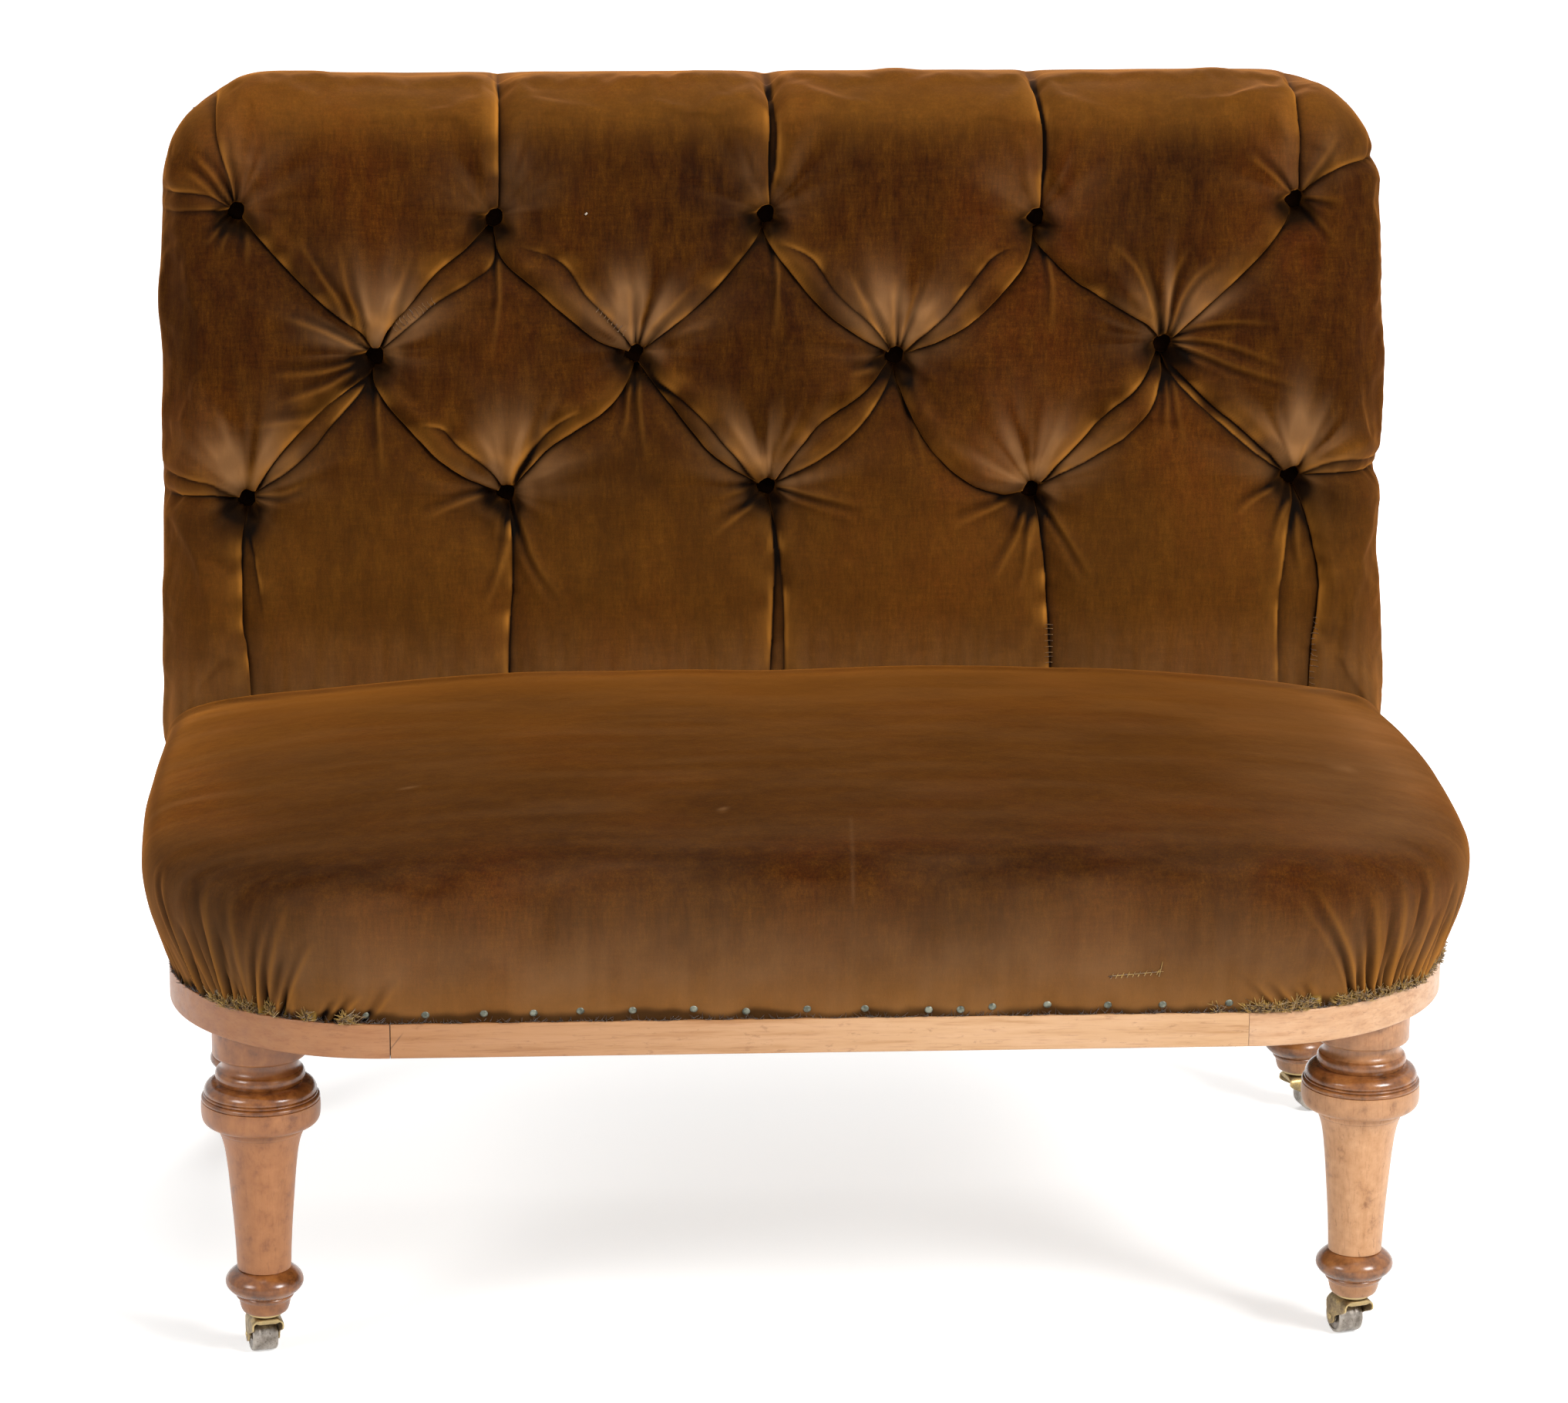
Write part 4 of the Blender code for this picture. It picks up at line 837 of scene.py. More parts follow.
@dataclass(frozen=True)
class WovenJute(Finish):
    """Jute, plain woven: threads cross one over one, drawn at their real spacing."""

    name: str = "woven_jute_webbing"
    slot: str = "jute_webbing"
    roughness: float = 0.9
    spacing_mm: float = 2.2
    low: str = "#6d5130"
    high: str = "#b28f5e"

    def paint(self, tree: Tree) -> Inputs:
        """Two sets of waves across each other, shaded and raised, over a fibre noise.

        Args: tree of the material.
        Returns: what goes into the shader, by the name of its input.
        """
        spot = self.spot(tree)
        # a wave texture's bands lie pi / (10 scale) apart
        scale = per_mm(self.spacing_mm) * math.pi / 10
        waves = [add_node(tree, "TexWave", {"Vector": spot, "Scale": scale, "Distortion": 0.6}, "Fac",
                          bands_direction=axis) for axis in "XY"]
        weave = add_node(tree, "Math", {0: waves[0], 1: waves[1]}, operation="MULTIPLY")
        fibre, = self.clouds(tree, (spot, 3, 4, 0.7))
        colour = add_node(tree, "ValToRGB", {0: weave}, stops=((0.0, self.low), (0.7, self.high)))
        fibres = add_node(tree, "ValToRGB", {0: fibre}, stops=((0.3, "#8f8f8f"), (0.6, "#ffffff")))
        return {"Base Color": self.layers(tree, colour, (0.5, fibres, "MULTIPLY")),
                "Normal": self.relief(tree, (weave, 0.5, 0.6), (fibre, 0.2, 0.4))}


@dataclass(frozen=True)
class StudioFloor(Finish):
    """Matt white paper floor: white to the camera, and it keeps the object's shadow."""

    name: str = "studio_floor"
    roughness: float = 0.9

    def paint(self, tree: Tree) -> Inputs:
        """Pale grain-free paper, lifted to white where the camera or a reflection sees it.

        Args: tree of the material.
        Returns: what goes into the shader, by the name of its input.
        """
        cloud, = self.clouds(tree, (self.spot(tree), 900, 2, 0.55))
        camera, glossy = (add_node(tree, "LightPath", out=f"Is {ray} Ray") for ray in ("Camera", "Glossy"))
        seen = add_node(tree, "Math", {0: camera, 1: glossy}, operation="MAXIMUM")
        far = add_node(tree, "VectorMath", {0: self.spot(tree)}, "Value", operation="LENGTH")
        glow = add_node(tree, "MapRange", {0: far, 1: 0.7, 2: 1.9, 3: 0.50, 4: 1.0})
        return {"Base Color": add_node(tree, "ValToRGB", {0: cloud}, stops=((0.3, "#f1f1f0"), (0.7, "#f4f4f3"))),
                "Emission Color": "#ffffff",
                "Emission Strength": add_node(tree, "Math", {0: seen, 1: glow}, operation="MULTIPLY")}


VELVET = CottonVelvet()
FRAYED_GOLD = FrayedYarn()
STITCH_YARN = FrayedYarn(name="stitch_yarn", low="#4a2c0e", high="#8a6028")
LINT = FrayedYarn(name="lint", low="#b5a58c", high="#e6dfd0")
FRAYED_DARK = FrayedYarn(name="frayed_yarn_dark", low="#1b0f06", high="#4d3014")
RAIL_BIRCH = WaxedBirch(name="waxed_birch_rail", crack=((-0.351, 0.290), (-0.334, 0.312)))
SIDE_BIRCH = WaxedBirch(name="waxed_birch_side", grain=(1.0, 0.06, 1.0), pale="#c89a6a", middle="#b07b4c",
                        dark="#8c5a30")
CORNER_BIRCH = WaxedBirch(name="waxed_birch_corner", grain=(0.10, 0.5, 1.0), pale="#d6ad88", middle="#c69870",
                          dark="#a9774c", burr=0.2)
LEG_BIRCH = WaxedBirch(name="waxed_birch_turned", grain=(1.0, 1.0, 0.08), pale="#cf9d72", middle="#c08a5c",
                       dark="#a26d40", burr=0.65, flecks=0.5, left_shade_colour="#cfb394")
BRASS = WornBrass()
WHEEL_BRASS = WornBrass(name="worn_brass_wheel", bright="#a8a098", middle="#8c847b", dull="#6f675f",
                        edge="#bdb5aa", roughness=0.34)
STEEL = PlainMetal()
TACK_IRON = PlainMetal(name="tinned_iron", low="#4a4c42", high="#858778", roughness=0.5, metallic=0.7)
WEBBING = WovenJute()
HESSIAN = WovenJute(name="jute_canvas", spacing_mm=1.6, low="#7a603c", high="#c4a574")
BEECH = FrameBeech()


# ---------------------------------------------------------------- show-wood, legs, castors


@dataclass
class ShowWoodFrame:
    """Rebated rails: four straight, four sawn corners, butt-jointed with a hairline between them."""

    plan: SofaPlan
    edge: float = 0.0016
    inner_edges: tuple[float, ...] = (0.0008, 0.001, 0.001, 0.001)
    joint: float = 0.0005
    tight_joint: float = 0.12
    corner_steps: int = 49

    def section(self) -> Grid:
        """Section of the rails, its corners rounded.

        Returns: (n, 2) points: distance in from the outer face, and height.
        """
        p = self.plan
        outline = [(0.0, p.rail_bottom), (0.0, p.ledge), (p.rebate, p.ledge), (p.rebate, p.rail_top),
                   (p.rail_thickness, p.rail_top), (p.rail_thickness, p.rail_bottom)]
        return eased(outline, (self.edge, self.edge * 0.7, *self.inner_edges), 4)

    def straight(self, name: str, ends: Point, place: Placing, finish: Finish, tight: bool = False) -> None:
        """A straight rail: its section at each station, drawn in by the joint at its ends.

        Args: name of the node; ends; place, which puts (station, distance in, height) into the sofa; finish; tight,
        whether the right end closes so well that its joint hardly shows.
        """
        section = self.section()
        low, high = ends
        stations = np.array([low, low + self.joint, *np.linspace(low, high, 26)[1:-1], high - self.joint, high])
        inset = np.zeros(len(stations))
        inset[0], inset[-1] = self.joint, self.joint * (0.15 if tight else 1.0)
        away = np.maximum(section[None, :, 0], inset[:, None])
        rings = place(stations[:, None], away, np.broadcast_to(section[None, :, 1], away.shape))
        dark = np.zeros(away.shape)
        dark[0], dark[-1] = 1.0, self.tight_joint if tight else 1.0
        add_piece(f"{name}_wood", skinned(rings, {"hollow": dark}), finish, [name])

    def sawn_corner(self, corner: Corner) -> None:
        """A corner piece: the section follows quarter circles outside and a straight chord inside.

        Args: corner.
        """
        p = self.plan
        _, side, front, _ = corner.value
        radius, tail = (p.front_radius, p.front_tail) if front else (p.rear_radius, p.rear_tail)
        reach = radius + tail
        turns = np.radians(np.linspace(0, 90, self.corner_steps))[:, None]
        section = self.section()
        inset = np.minimum(section[:, 0], p.rebate)
        bend = radius - inset
        arc = np.stack([radius - bend * np.cos(turns), radius - bend * np.sin(turns)], axis=-1)
        starts = [np.stack([inset, np.full_like(inset, reach - short)], axis=-1)[None] for short in (0, self.joint)]
        outer = np.concatenate([*starts, arc, *(start[..., ::-1] for start in starts[::-1])])
        ends = np.linspace(0, 1, len(outer))[:, None]
        chord = np.stack([p.rail_thickness + ends * (reach - p.rail_thickness),
                          reach + ends * (p.rail_thickness - reach)], axis=-1)
        depth = np.clip((section[:, 0] - p.rebate) / (p.rail_thickness - p.rebate), 0, 1)[None, :, None]
        plan = outer * (1 - depth) + chord * depth
        edge, inward = (p.front, 1) if front else (p.rear, -1)
        rings = np.stack([side * (p.half_rail - plan[..., 0]), edge + inward * plan[..., 1],
                          np.broadcast_to(section[:, 1], plan.shape[:2])], axis=-1)
        dark = np.zeros(rings.shape[:2])
        dark[0], dark[-1] = 0.8, self.tight_joint if corner is Corner.FRONT_RIGHT else 0.8
        add_piece(f"{corner.rail_node}_wood", skinned(rings, {"hollow": dark}), CORNER_BIRCH, [corner.rail_node])

    def build(self) -> None:
        """Make the eight pieces of the frame."""
        p = self.plan
        near, far = (radius + tail + p.gap for radius, tail in
                     ((p.front_radius, p.front_tail), (p.rear_radius, p.rear_tail)))
        half = p.half_rail

        def across(face: float, inward: int) -> Placing:
            """Placing of a rail that runs across the sofa."""
            return lambda s, a, h: np.stack(np.broadcast_arrays(s, face + inward * a, h), axis=-1)

        def along(side: int) -> Placing:
            """Placing of a rail that runs from front to rear."""
            return lambda s, a, h: np.stack(np.broadcast_arrays(side * (half - a), s, h), axis=-1)

        self.straight("front_rail", (near - half, half - near), across(p.front, 1), RAIL_BIRCH, True)
        self.straight("rear_rail", (far - half, half - far), across(p.rear, -1), RAIL_BIRCH)
        for label, side in (("left", -1), ("right", 1)):
            self.straight(f"side_rail_{label}", (p.front + near, p.rear - far), along(side), SIDE_BIRCH)
        for corner in Corner:
            self.sawn_corner(corner)


@dataclass
class TurnedLegs:
    """Four turned legs of one pattern: block, neck, stained mouldings, rounded band, tapered shaft, ring and cup."""

    plan: SofaPlan
    facets: int = 96

    def profile(self) -> tuple[Grid, Grid]:
        """Turning profile, drawn in millimetres as runs of a smooth curve, each with how dark it is stained.

        Returns: (radius, height) points, and the stain at each.
        """
        top = self.plan.rail_bottom * 1000 - 0.3
        runs = (
            (((1, 40.5), (14, 40.5), (16.6, 40.6)), 2, 0.0),
            (((16.6, 40.6), (18.2, 41.3), (19.3, 43.0), (20.3, 46.0), (20.9, 49.0), (21.7, 52.2)), 3, 0.42),
            (((22.3, 53.0), (23.3, 53.9), (24.0, 55.0), (24.2, 56.2)), 3, 0.75),
            (((23.9, 56.7), (26.2, 58.4), (29.4, 61.2), (31.7, 64.6), (32.1, 67.8), (31.2, 71.0), (28.8, 74.2),
              (25.4, 77.0), (23.1, 78.3)), 3, 0.85),
            (((21.7, 78.7), (21.9, 79.3)), 2, 0.9),
            (((22.2, 79.6), (22.9, 98.0), (24.2, 119.8), (25.8, 140.0), (27.6, 161.6), (29.4, 178.0), (30.9, 187.0),
              (32.6, 193.6), (34.4, 198.4)), 5, 0.0),
            (((34.5, 198.9), (34.8, 199.3)), 2, 0.35),
            (((34.9, 199.5), (35.5, 200.6), (35.8, 202.6), (35.8, 204.4)), 3, 0.0),
            (((36.4, 205.1), (39.0, 205.3), (42.2, 205.9), (45.0, 207.1), (47.2, 209.2), (48.4, 212.4), (48.8, 217.0),
              (48.8, 222.5), (48.4, 226.0)), 4, 0.22),
            (((47.6, 226.5), (48.3, 227.0), (48.6, 228.2), (48.1, 229.5), (47.0, 230.1)), 3, 0.8),
            (((46.0, 230.4), (46.6, 230.9), (46.6, 231.8), (46.1, 232.4)), 3, 0.9),
            (((45.1, 232.8), (46.0, 233.4), (46.1, 235.0), (45.2, 237.6), (43.2, 240.0), (40.0, 241.5),
              (36.6, 242.0)), 4, 0.9),
            (((35.1, 242.4), (35.7, 243.3), (36.3, 245.2), (36.8, 247.6), (36.5, 250.0), (35.6, 251.9),
              (34.8, 252.7)), 3, 0.85),
            (((33.6, 253.4), (32.2, 255.0), (31.3, 257.4), (30.9, 260.4), (31.1, 263.4), (31.6, 264.2)), 3, 0.5),
            (((33.5, 264.4), (36.2, 264.6), (37.6, 265.1), (38.5, 266.4), (38.7, 268.4), (38.7, 280.0)), 3, 0.45),
            (((38.7, 281.0), (38.7, top)), 2, 0.45),
            (((38.2, top), (1.0, top)), 2, 0.45),
        )
        parts, stains = [], []
        for knots, finer, stain in runs:
            line = smooth_line(knots, (len(knots) - 1) * finer + 1)
            parts.append(line)
            stains.append(np.full(len(line), stain))
        return np.concatenate(parts) / 1000, np.concatenate(stains)

    def build(self) -> None:
        """Turn the four legs."""
        profile, stain = self.profile()
        for corner in Corner:
            _, side, front, _ = corner.value
            shape = lathe(profile, self.facets, self.plan.leg_axis(side, front), {"stain": stain})
            add_piece(f"{corner.leg_node}_turned", shape, LEG_BIRCH, [corner.leg_node], crease=32.0)


@dataclass
class Castors:
    """Brass castors: plate and stem, hooded horn with two cheeks, wheel and riveted axle, each about its own axis."""

    plan: SofaPlan
    wheel_radius: float = 0.0146
    wheel_width: float = 0.0215
    trail: float = 0.0145
    plate_radius: float = 0.0145
    stem_length: float = 0.030
    cheek: float = 0.0025
    play: float = 0.0005
    axle_radius: float = 0.002
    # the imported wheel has 24 sides and stands on one of them
    axle_height: float = 0.0146 * math.cos(math.pi / 24)
    crown: float = 0.0340
    eye_radius: float = 0.0062
    shoulder: float = 0.004
    eye_reach: float = 0.0065
    hood_reach: float = 0.0128
    facets: tuple[int, int, int] = (40, 72, 24)

    def plate(self) -> Shape:
        """Plate with its stem and the riveted foot of the pin, about the leg's axis.

        Returns: a closed shape.
        """
        top, r = self.plan.castor_height * 1000, self.plate_radius * 1000
        foot = top - 2.5
        rivet = foot - 0.3 - 7.5 - 0.3
        knots = [(0, rivet - 1.4), (3.2, rivet - 1.3), (5.0, rivet - 0.8), (5.5, rivet), (4, rivet), (4, foot),
                 (r - 0.5, foot), (r, foot + 0.5), (r, top - 0.7), (r - 0.4, top - 0.3), (4, top - 0.3),
                 (4, top + self.stem_length * 1000 - 1), (3, top + self.stem_length * 1000),
                 (0, top + self.stem_length * 1000)]
        return lathe(np.array(knots) / 1000, self.facets[0])

    def horn(self) -> Shape:
        """Hooded horn: a bent strap whose path runs up one cheek, over the wheel and down the other.

        The section at each station is a rounded bar; its reach fore and aft follows the hood's side view,
        round at the axle eyes and full over the swivel.
        Returns: a closed shape.
        """
        half = self.wheel_width / 2 + self.play + self.cheek / 2
        crown, low, bent, reach = self.crown, self.axle_height - self.eye_radius, self.shoulder, self.eye_reach
        lift = np.linspace(0, 1, 30)
        up = np.stack([np.full(30, -half), low + (crown - bent - low) * lift], axis=1)
        turn = np.radians(np.linspace(180, 90, 9))[1:]
        bend = np.stack([-half + bent + bent * np.cos(turn), crown - bent + bent * np.sin(turn)], axis=1)
        level = np.stack([np.linspace(-half + bent, 0, 10)[1:], np.full(9, crown)], axis=1)
        left = np.concatenate([up, bend, level])
        path = np.concatenate([left, left[-2::-1] * [-1, 1]])
        x, z = path[:, 0], path[:, 1]
        share = np.clip((z - low) / (crown - low), 0, 1)
        dome = np.sqrt(np.clip(1 - (1 - np.clip((z - low) / self.eye_radius, 0, 1)) ** 2, 0.02, 1))
        fore = self.trail - reach * dome - (self.trail + self.hood_reach - reach) * smooth(0.25, 0.80, share)
        aft = self.trail + reach * dome + 0.0022 * smooth(0.2, 0.6, share) - 0.0045 * smooth(0.7, 1.0, share)
        thick = self.cheek + 0.0046 * smooth(half - 0.001, half - 0.006, np.abs(x))
        tangent = unit(np.gradient(path, axis=0))
        normal = np.stack([-tangent[:, 1], tangent[:, 0]], axis=1)
        section = rounded_section(1.0, 1.0, 0.3, 4)
        offset = section[None, :, 1] * thick[:, None]
        y = ((fore + aft) / 2)[:, None] + section[None, :, 0] * (aft - fore)[:, None]
        rings = np.stack([x[:, None] + normal[:, :1] * offset, y, z[:, None] + normal[:, 1:] * offset], axis=-1)
        pitted = LatticeNoise(31).layered(rings[..., 1] * 900, rings[..., 2] * 900)
        rings[..., 1] += 0.00012 * pitted
        return skinned(rings)

    @staticmethod
    def spun(knots: Grid, facets: int) -> Shape:
        """Turn a profile of (radius, place) about the X axis: y = r cos a, z = r sin a.

        Args: knots of the profile; facets round it.
        Returns: a closed shape.
        """
        angles = round_angles(facets)
        return skinned(np.stack([np.broadcast_to(knots[:, 1:], (len(knots), facets)), knots[:, :1] * np.cos(angles),
                                 knots[:, :1] * np.sin(angles)], axis=-1))

    def wheel(self) -> Shape:
        """Wheel about its axle: a crowned tread with worn rounds, hollowed sides and a hub.

        Returns: a closed shape.
        """
        half, r = self.wheel_width * 500, self.wheel_radius * 1000
        right = [(2.4, half - 0.2), (4.2, half - 0.2), (4.8, half - 0.9), (r - 3.6, half - 1.0), (r - 3.0, half - 0.2),
                 (r - 1.6, half - 0.1), (r - 0.55, half - 0.8), (r - 0.12, half - 2.2), (r - 0.02, half * 0.6),
                 (r - 0.02, half * 0.42), (r - 0.22, half * 0.36), (r - 0.02, half * 0.30), (r, 0.0)]
        return self.spun(np.array(right + [(a, -b) for a, b in right[-2::-1]]) / 1000, self.facets[1])

    def axle(self) -> Shape:
        """Axle with domed, riveted ends.

        Returns: a closed shape.
        """
        end = self.wheel_width / 2 + self.play + self.cheek + 0.0008
        left = [(0.4, -end), (1.15, -end + 0.0003), (1.25, -end + 0.0007), (0.98, -end + 0.0008)]
        knots = left + [(radius, -place) for radius, place in left[::-1]]
        return self.spun(np.array([(self.axle_radius * radius, place) for radius, place in knots]), self.facets[2])

    def build(self) -> None:
        """Place the four castors: turned by their heading about the leg's axis, their axles trailing behind it."""
        axle_place = np.array([0, self.trail, self.axle_height])
        parts = (("plate", self.plate(), 0, BRASS, "sofa_body"), ("horn", self.horn(), 0, BRASS, "{}_horn"),
                 ("axle", self.axle(), axle_place, BRASS, "{}_horn"),
                 ("wheel", self.wheel(), axle_place, WHEEL_BRASS, "{}_wheel"))
        for corner in Corner:
            key, side, front, heading = corner.value
            sine, cosine = math.sin(math.radians(heading)), math.cos(math.radians(heading))
            turn = np.array([[cosine, sine, 0], [-sine, cosine, 0], [0, 0, 1]])
            foot = np.array([*self.plan.leg_axis(side, front), 0])
            for part, shape, place, finish, body in parts:
                points = (shape.points + place) @ turn + foot
                node = f"castor_{part}_{key}"
                add_piece(f"{node}_cast", Shape(points, shape.quads, shape.triangles, shape.values), finish, [node],
                          body.format(key))


# ---------------------------------------------------------------- springs, webbing, canvas, inner frame


def seat_outline(half: float, front: float, rear: float, front_radius: float, rear_radius: float,
                 counts: Counts) -> Grid:
    """Plan outline with rounded corners, from the left end of the front corner, always the same count.

    Args: half width, front and rear depth, corner radii; points on a front corner, the front, a side, a rear
    corner and the rear.
    Returns: (n, 2) points, anticlockwise seen from above.
    """
    corner, face, flank, turn, tail = counts
    a, b = max(front_radius, 0.001), max(rear_radius, 0.001)

    def arc(x: float, y: float, radius: float, start: float, steps: int) -> Grid:
        """Quarter circle of points without its last one."""
        angle = np.radians(start + 90 * np.arange(steps) / steps)
        return np.stack([x + radius * np.cos(angle), y + radius * np.sin(angle)], axis=1)

    def straight(start: Point, end: Point, steps: int) -> Grid:
        """Straight run of points without its last one."""
        share = (np.arange(steps) / steps)[:, None]
        return np.array(start) * (1 - share) + np.array(end) * share

    return np.concatenate([
        arc(-half + a, front + a, a, 180, corner), straight((-half + a, front), (half - a, front), face),
        arc(half - a, front + a, a, 270, corner), straight((half, front + a), (half, rear - b), flank),
        arc(half - b, rear - b, b, 0, turn), straight((half - b, rear), (-half + b, rear), tail),
        arc(-half + b, rear - b, b, 90, turn), straight((-half, rear - b), (-half, front + a), flank)])


def weave(run: Grid, crossed: Grid, number: int) -> Grid:
    """Rise and fall of a woven strip: the cosine of pi times its way counted in crossed strips.

    Args: run, places along the strip; crossed, places of the strips that it crosses; number of the strip, since
    each goes over where the one before goes under.
    Returns: values from -1 to 1.
    """
    return np.cos((run - crossed[0]) / (crossed[1] - crossed[0]) * math.pi + number * math.pi)


def thicken(piece: bpy.types.Object, thickness: float) -> None:
    """Give a sheet its thickness, half to each side."""
    wall = piece.modifiers.new("thickness", "SOLIDIFY")
    wall.thickness, wall.offset = thickness, 0.0


@dataclass
class SeatSuspension:
    """What carries the seat: woven webbing under the rails, hourglass springs, canvas drawn over them."""

    plan: SofaPlan
    web_width: float = 0.050
    web_thickness: float = 0.0013
    leg_radius: float = 0.0387
    canvas: float = 0.0015
    canvas_counts: Counts = (24, 60, 40, 6, 60)
    spring_height: float = 0.125
    spring_radius: float = 0.043
    waist_radius: float = 0.030
    wire: float = 0.0018
    turns: int = 4
    wire_facets: int = 10
    spring_rows: int = 2
    spring_columns: int = 4
    rise_stretch: float = 1.06

    def canvas_sizes(self) -> list[Point]:
        """Sizes of the canvas at its edge, at the foot of its rise and on its plateau.

        Returns: a side inset and a rear depth for each.
        """
        p = self.plan
        pad_front = float(p.back_plane(p.rail_top, p.pad_depth)) - p.front
        foot = p.rail_thickness + 0.010
        return [(p.rebate + 0.010, p.back_foot - p.front - 0.005), (foot, pad_front - 0.010),
                (foot + 0.045, pad_front - 0.055)]

    def canvas_ring(self, inset: float, depth: float, height: float, counts: Counts) -> Grid:
        """Plan ring of the canvas at a height.

        Args: inset from the rails' faces; depth of its rear edge behind their front; height; counts of points.
        Returns: (n, 3) points.
        """
        p = self.plan
        flat = seat_outline(p.half_rail - inset, p.front + inset, p.front + depth, p.front_radius - inset,
                            p.rear_radius, counts)
        return np.column_stack([flat, np.full(len(flat), height)])

    def webbing(self) -> None:
        """Seven strips front to rear and four across, woven: height is a raised cosine, level at the tacked ends."""
        p = self.plan
        leg_x, leg_y = p.leg_axis(1, True)
        rear_y = p.leg_axis(1, False)[1]
        lap = p.rail_thickness * 0.64
        clear = self.leg_radius + self.web_width / 2 + lap
        columns = np.linspace(-(leg_x - clear), leg_x - clear, 7)
        rows = np.linspace(leg_y + clear, rear_y - clear, 4)
        level, swing = p.rail_bottom - p.gap - 0.0016, self.web_thickness * 0.56
        section = rounded_section(self.web_width - 0.002, self.web_thickness, self.web_thickness * 0.48, 2)
        x = np.linspace(-1, 1, 220) * (p.half_rail - p.rail_thickness + lap)
        y = np.linspace(p.front + p.rail_thickness - lap, p.rear - p.rail_thickness + lap, 160)
        strips = []
        for number, place in enumerate(rows):
            height = level + swing * weave(x, columns, number) * smooth(0, 0.05, x[-1] - np.abs(x))
            strips.append(np.column_stack([x, np.full_like(x, place), height]))
        for number, place in enumerate(columns):
            height = level - swing * weave(y, rows, number) * smooth(0, 0.05, np.minimum(y - y[0], y[-1] - y))
            strips.append(np.column_stack([np.full_like(y, place), y, height]))
        shape = joined([along_path(strip, section, UPWARD) for strip in strips])
        add_piece("seat_webbing_woven", shape, WEBBING, ["seat_webbing"])

    def springs(self) -> None:
        """Eight springs: radius r(t) from foot to waist to head, height rising evenly, round wire swept along."""
        p = self.plan
        inset, depth = self.canvas_sizes()[2]
        half, near, far = p.half_rail - inset, p.front + inset, p.front + depth
        low = p.rail_bottom + self.wire
        high = p.rail_bottom + self.spring_height - p.gap - self.wire
        t = np.linspace(0, self.turns, self.turns * 40 + 1)
        radius = self.waist_radius + (self.spring_radius - self.waist_radius) * np.abs(2 * t / self.turns - 1) ** 1.5
        angle = 2 * math.pi * t
        rise = np.clip((t - 0.5) / (self.turns - 1), 0, 1)
        coil = np.column_stack([radius * np.cos(angle), radius * np.sin(angle), low + (high - low) * rise])
        circle = round_angles(self.wire_facets)
        section = self.wire * np.column_stack([np.cos(circle), np.sin(circle)])
        for number in range(self.spring_rows * self.spring_columns):
            row, column = divmod(number, self.spring_columns)
            place = np.array([-half + 2 * half * (column + 0.5) / self.spring_columns,
                              near + (far - near) * (row + 0.5) / self.spring_rows, 0.0])
            node = f"seat_spring_{number + 1}"
            add_piece(f"{node}_wire", along_path(coil + place, section, UPWARD), STEEL, [node], crease=None)

    def cover(self) -> None:
        """Canvas on the springs: rings from the middle of its plateau, down its slope, out to its tacked edge."""
        p = self.plan
        edge, foot, plateau = (np.array(size) for size in self.canvas_sizes())
        top = p.rail_bottom + self.spring_height + self.canvas * 0.5
        low = p.rail_top + p.gap + self.canvas * 0.5
        outer = self.canvas_ring(*plateau, top, self.canvas_counts)
        middle = np.array([0.0, p.front + plateau.sum() / 2, top])
        rings = [middle + (outer - middle) * share for share in (0.04, 0.3, 0.55, 0.78, 0.92)]
        rings += [self.canvas_ring(*(plateau + (foot - plateau) * share), top + (low - top) * share, self.canvas_counts)
                  for share in np.linspace(0, 1, 8)]
        rings.append(self.canvas_ring(*edge, low, self.canvas_counts))
        grid = np.array(rings)
        around = grid.shape[1]
        points = np.concatenate([grid.reshape(-1, 3), grid[:1].mean(axis=1)])
        here = np.arange(around)
        fan = np.stack([here, (here + 1) % around, np.full(around, len(points) - 1)], axis=1)
        shape = Shape(points, grid_quads(len(grid), around, closed_columns=True), fan)
        piece = add_piece("spring_canvas_hessian", shape, HESSIAN, ["spring_canvas"], crease=None)
        thicken(piece, self.canvas)

    def build(self) -> None:
        """Make webbing, springs and canvas."""
        self.webbing()
        self.springs()
        self.cover()


@dataclass
class BackFrame:
    """Bare beech posts and rails inside the back, with the webbing that carries its stuffing."""

    plan: SofaPlan
    web_width: float = 0.050
    post_width: float = 0.045
    post_inset: float = 0.0085
    low: float = 0.095
    top: float = 0.494
    lap: float = 0.018

    def webbing(self) -> None:
        """Three strips across and seven up the back's frame, woven over and under each other."""
        p = self.plan
        inner = p.half_rail - self.post_inset - self.post_width
        columns = np.linspace(-(inner - 0.1), inner - 0.1, 7)
        rise = (self.top - self.low) / 4
        rows = np.linspace(self.low + rise, self.top - rise, 3)
        level, swing = p.gap + 0.00075, 0.00035
        section = rounded_section(self.web_width - 0.002, 0.0007, 0.0003, 2)
        normal = np.array([0.0, -math.cos(p.rake), math.sin(p.rake)])
        u = np.linspace(-inner - self.lap, inner + self.lap, 180)
        v = np.linspace(self.low - self.lap, self.top + self.lap, 120)
        strips = [p.on_back(u, place, level + swing * weave(u, columns, number)) for number, place in enumerate(rows)]
        strips += [p.on_back(place, v, level - swing * weave(v, rows, number)) for number, place in enumerate(columns)]
        shape = joined([along_path(strip, section, normal) for strip in strips])
        add_piece("back_webbing_woven", shape, WEBBING, ["back_webbing"])

    def build(self) -> None:
        """Give the solid frame its timber and weave the webbing."""
        for name in ("back_post_left", "back_post_right", "back_top_rail", "back_stuffing_rail"):
            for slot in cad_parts[name].material_slots:
                slot.material = BEECH.make()
        self.webbing()


# ---------------------------------------------------------------- stuffed velvet


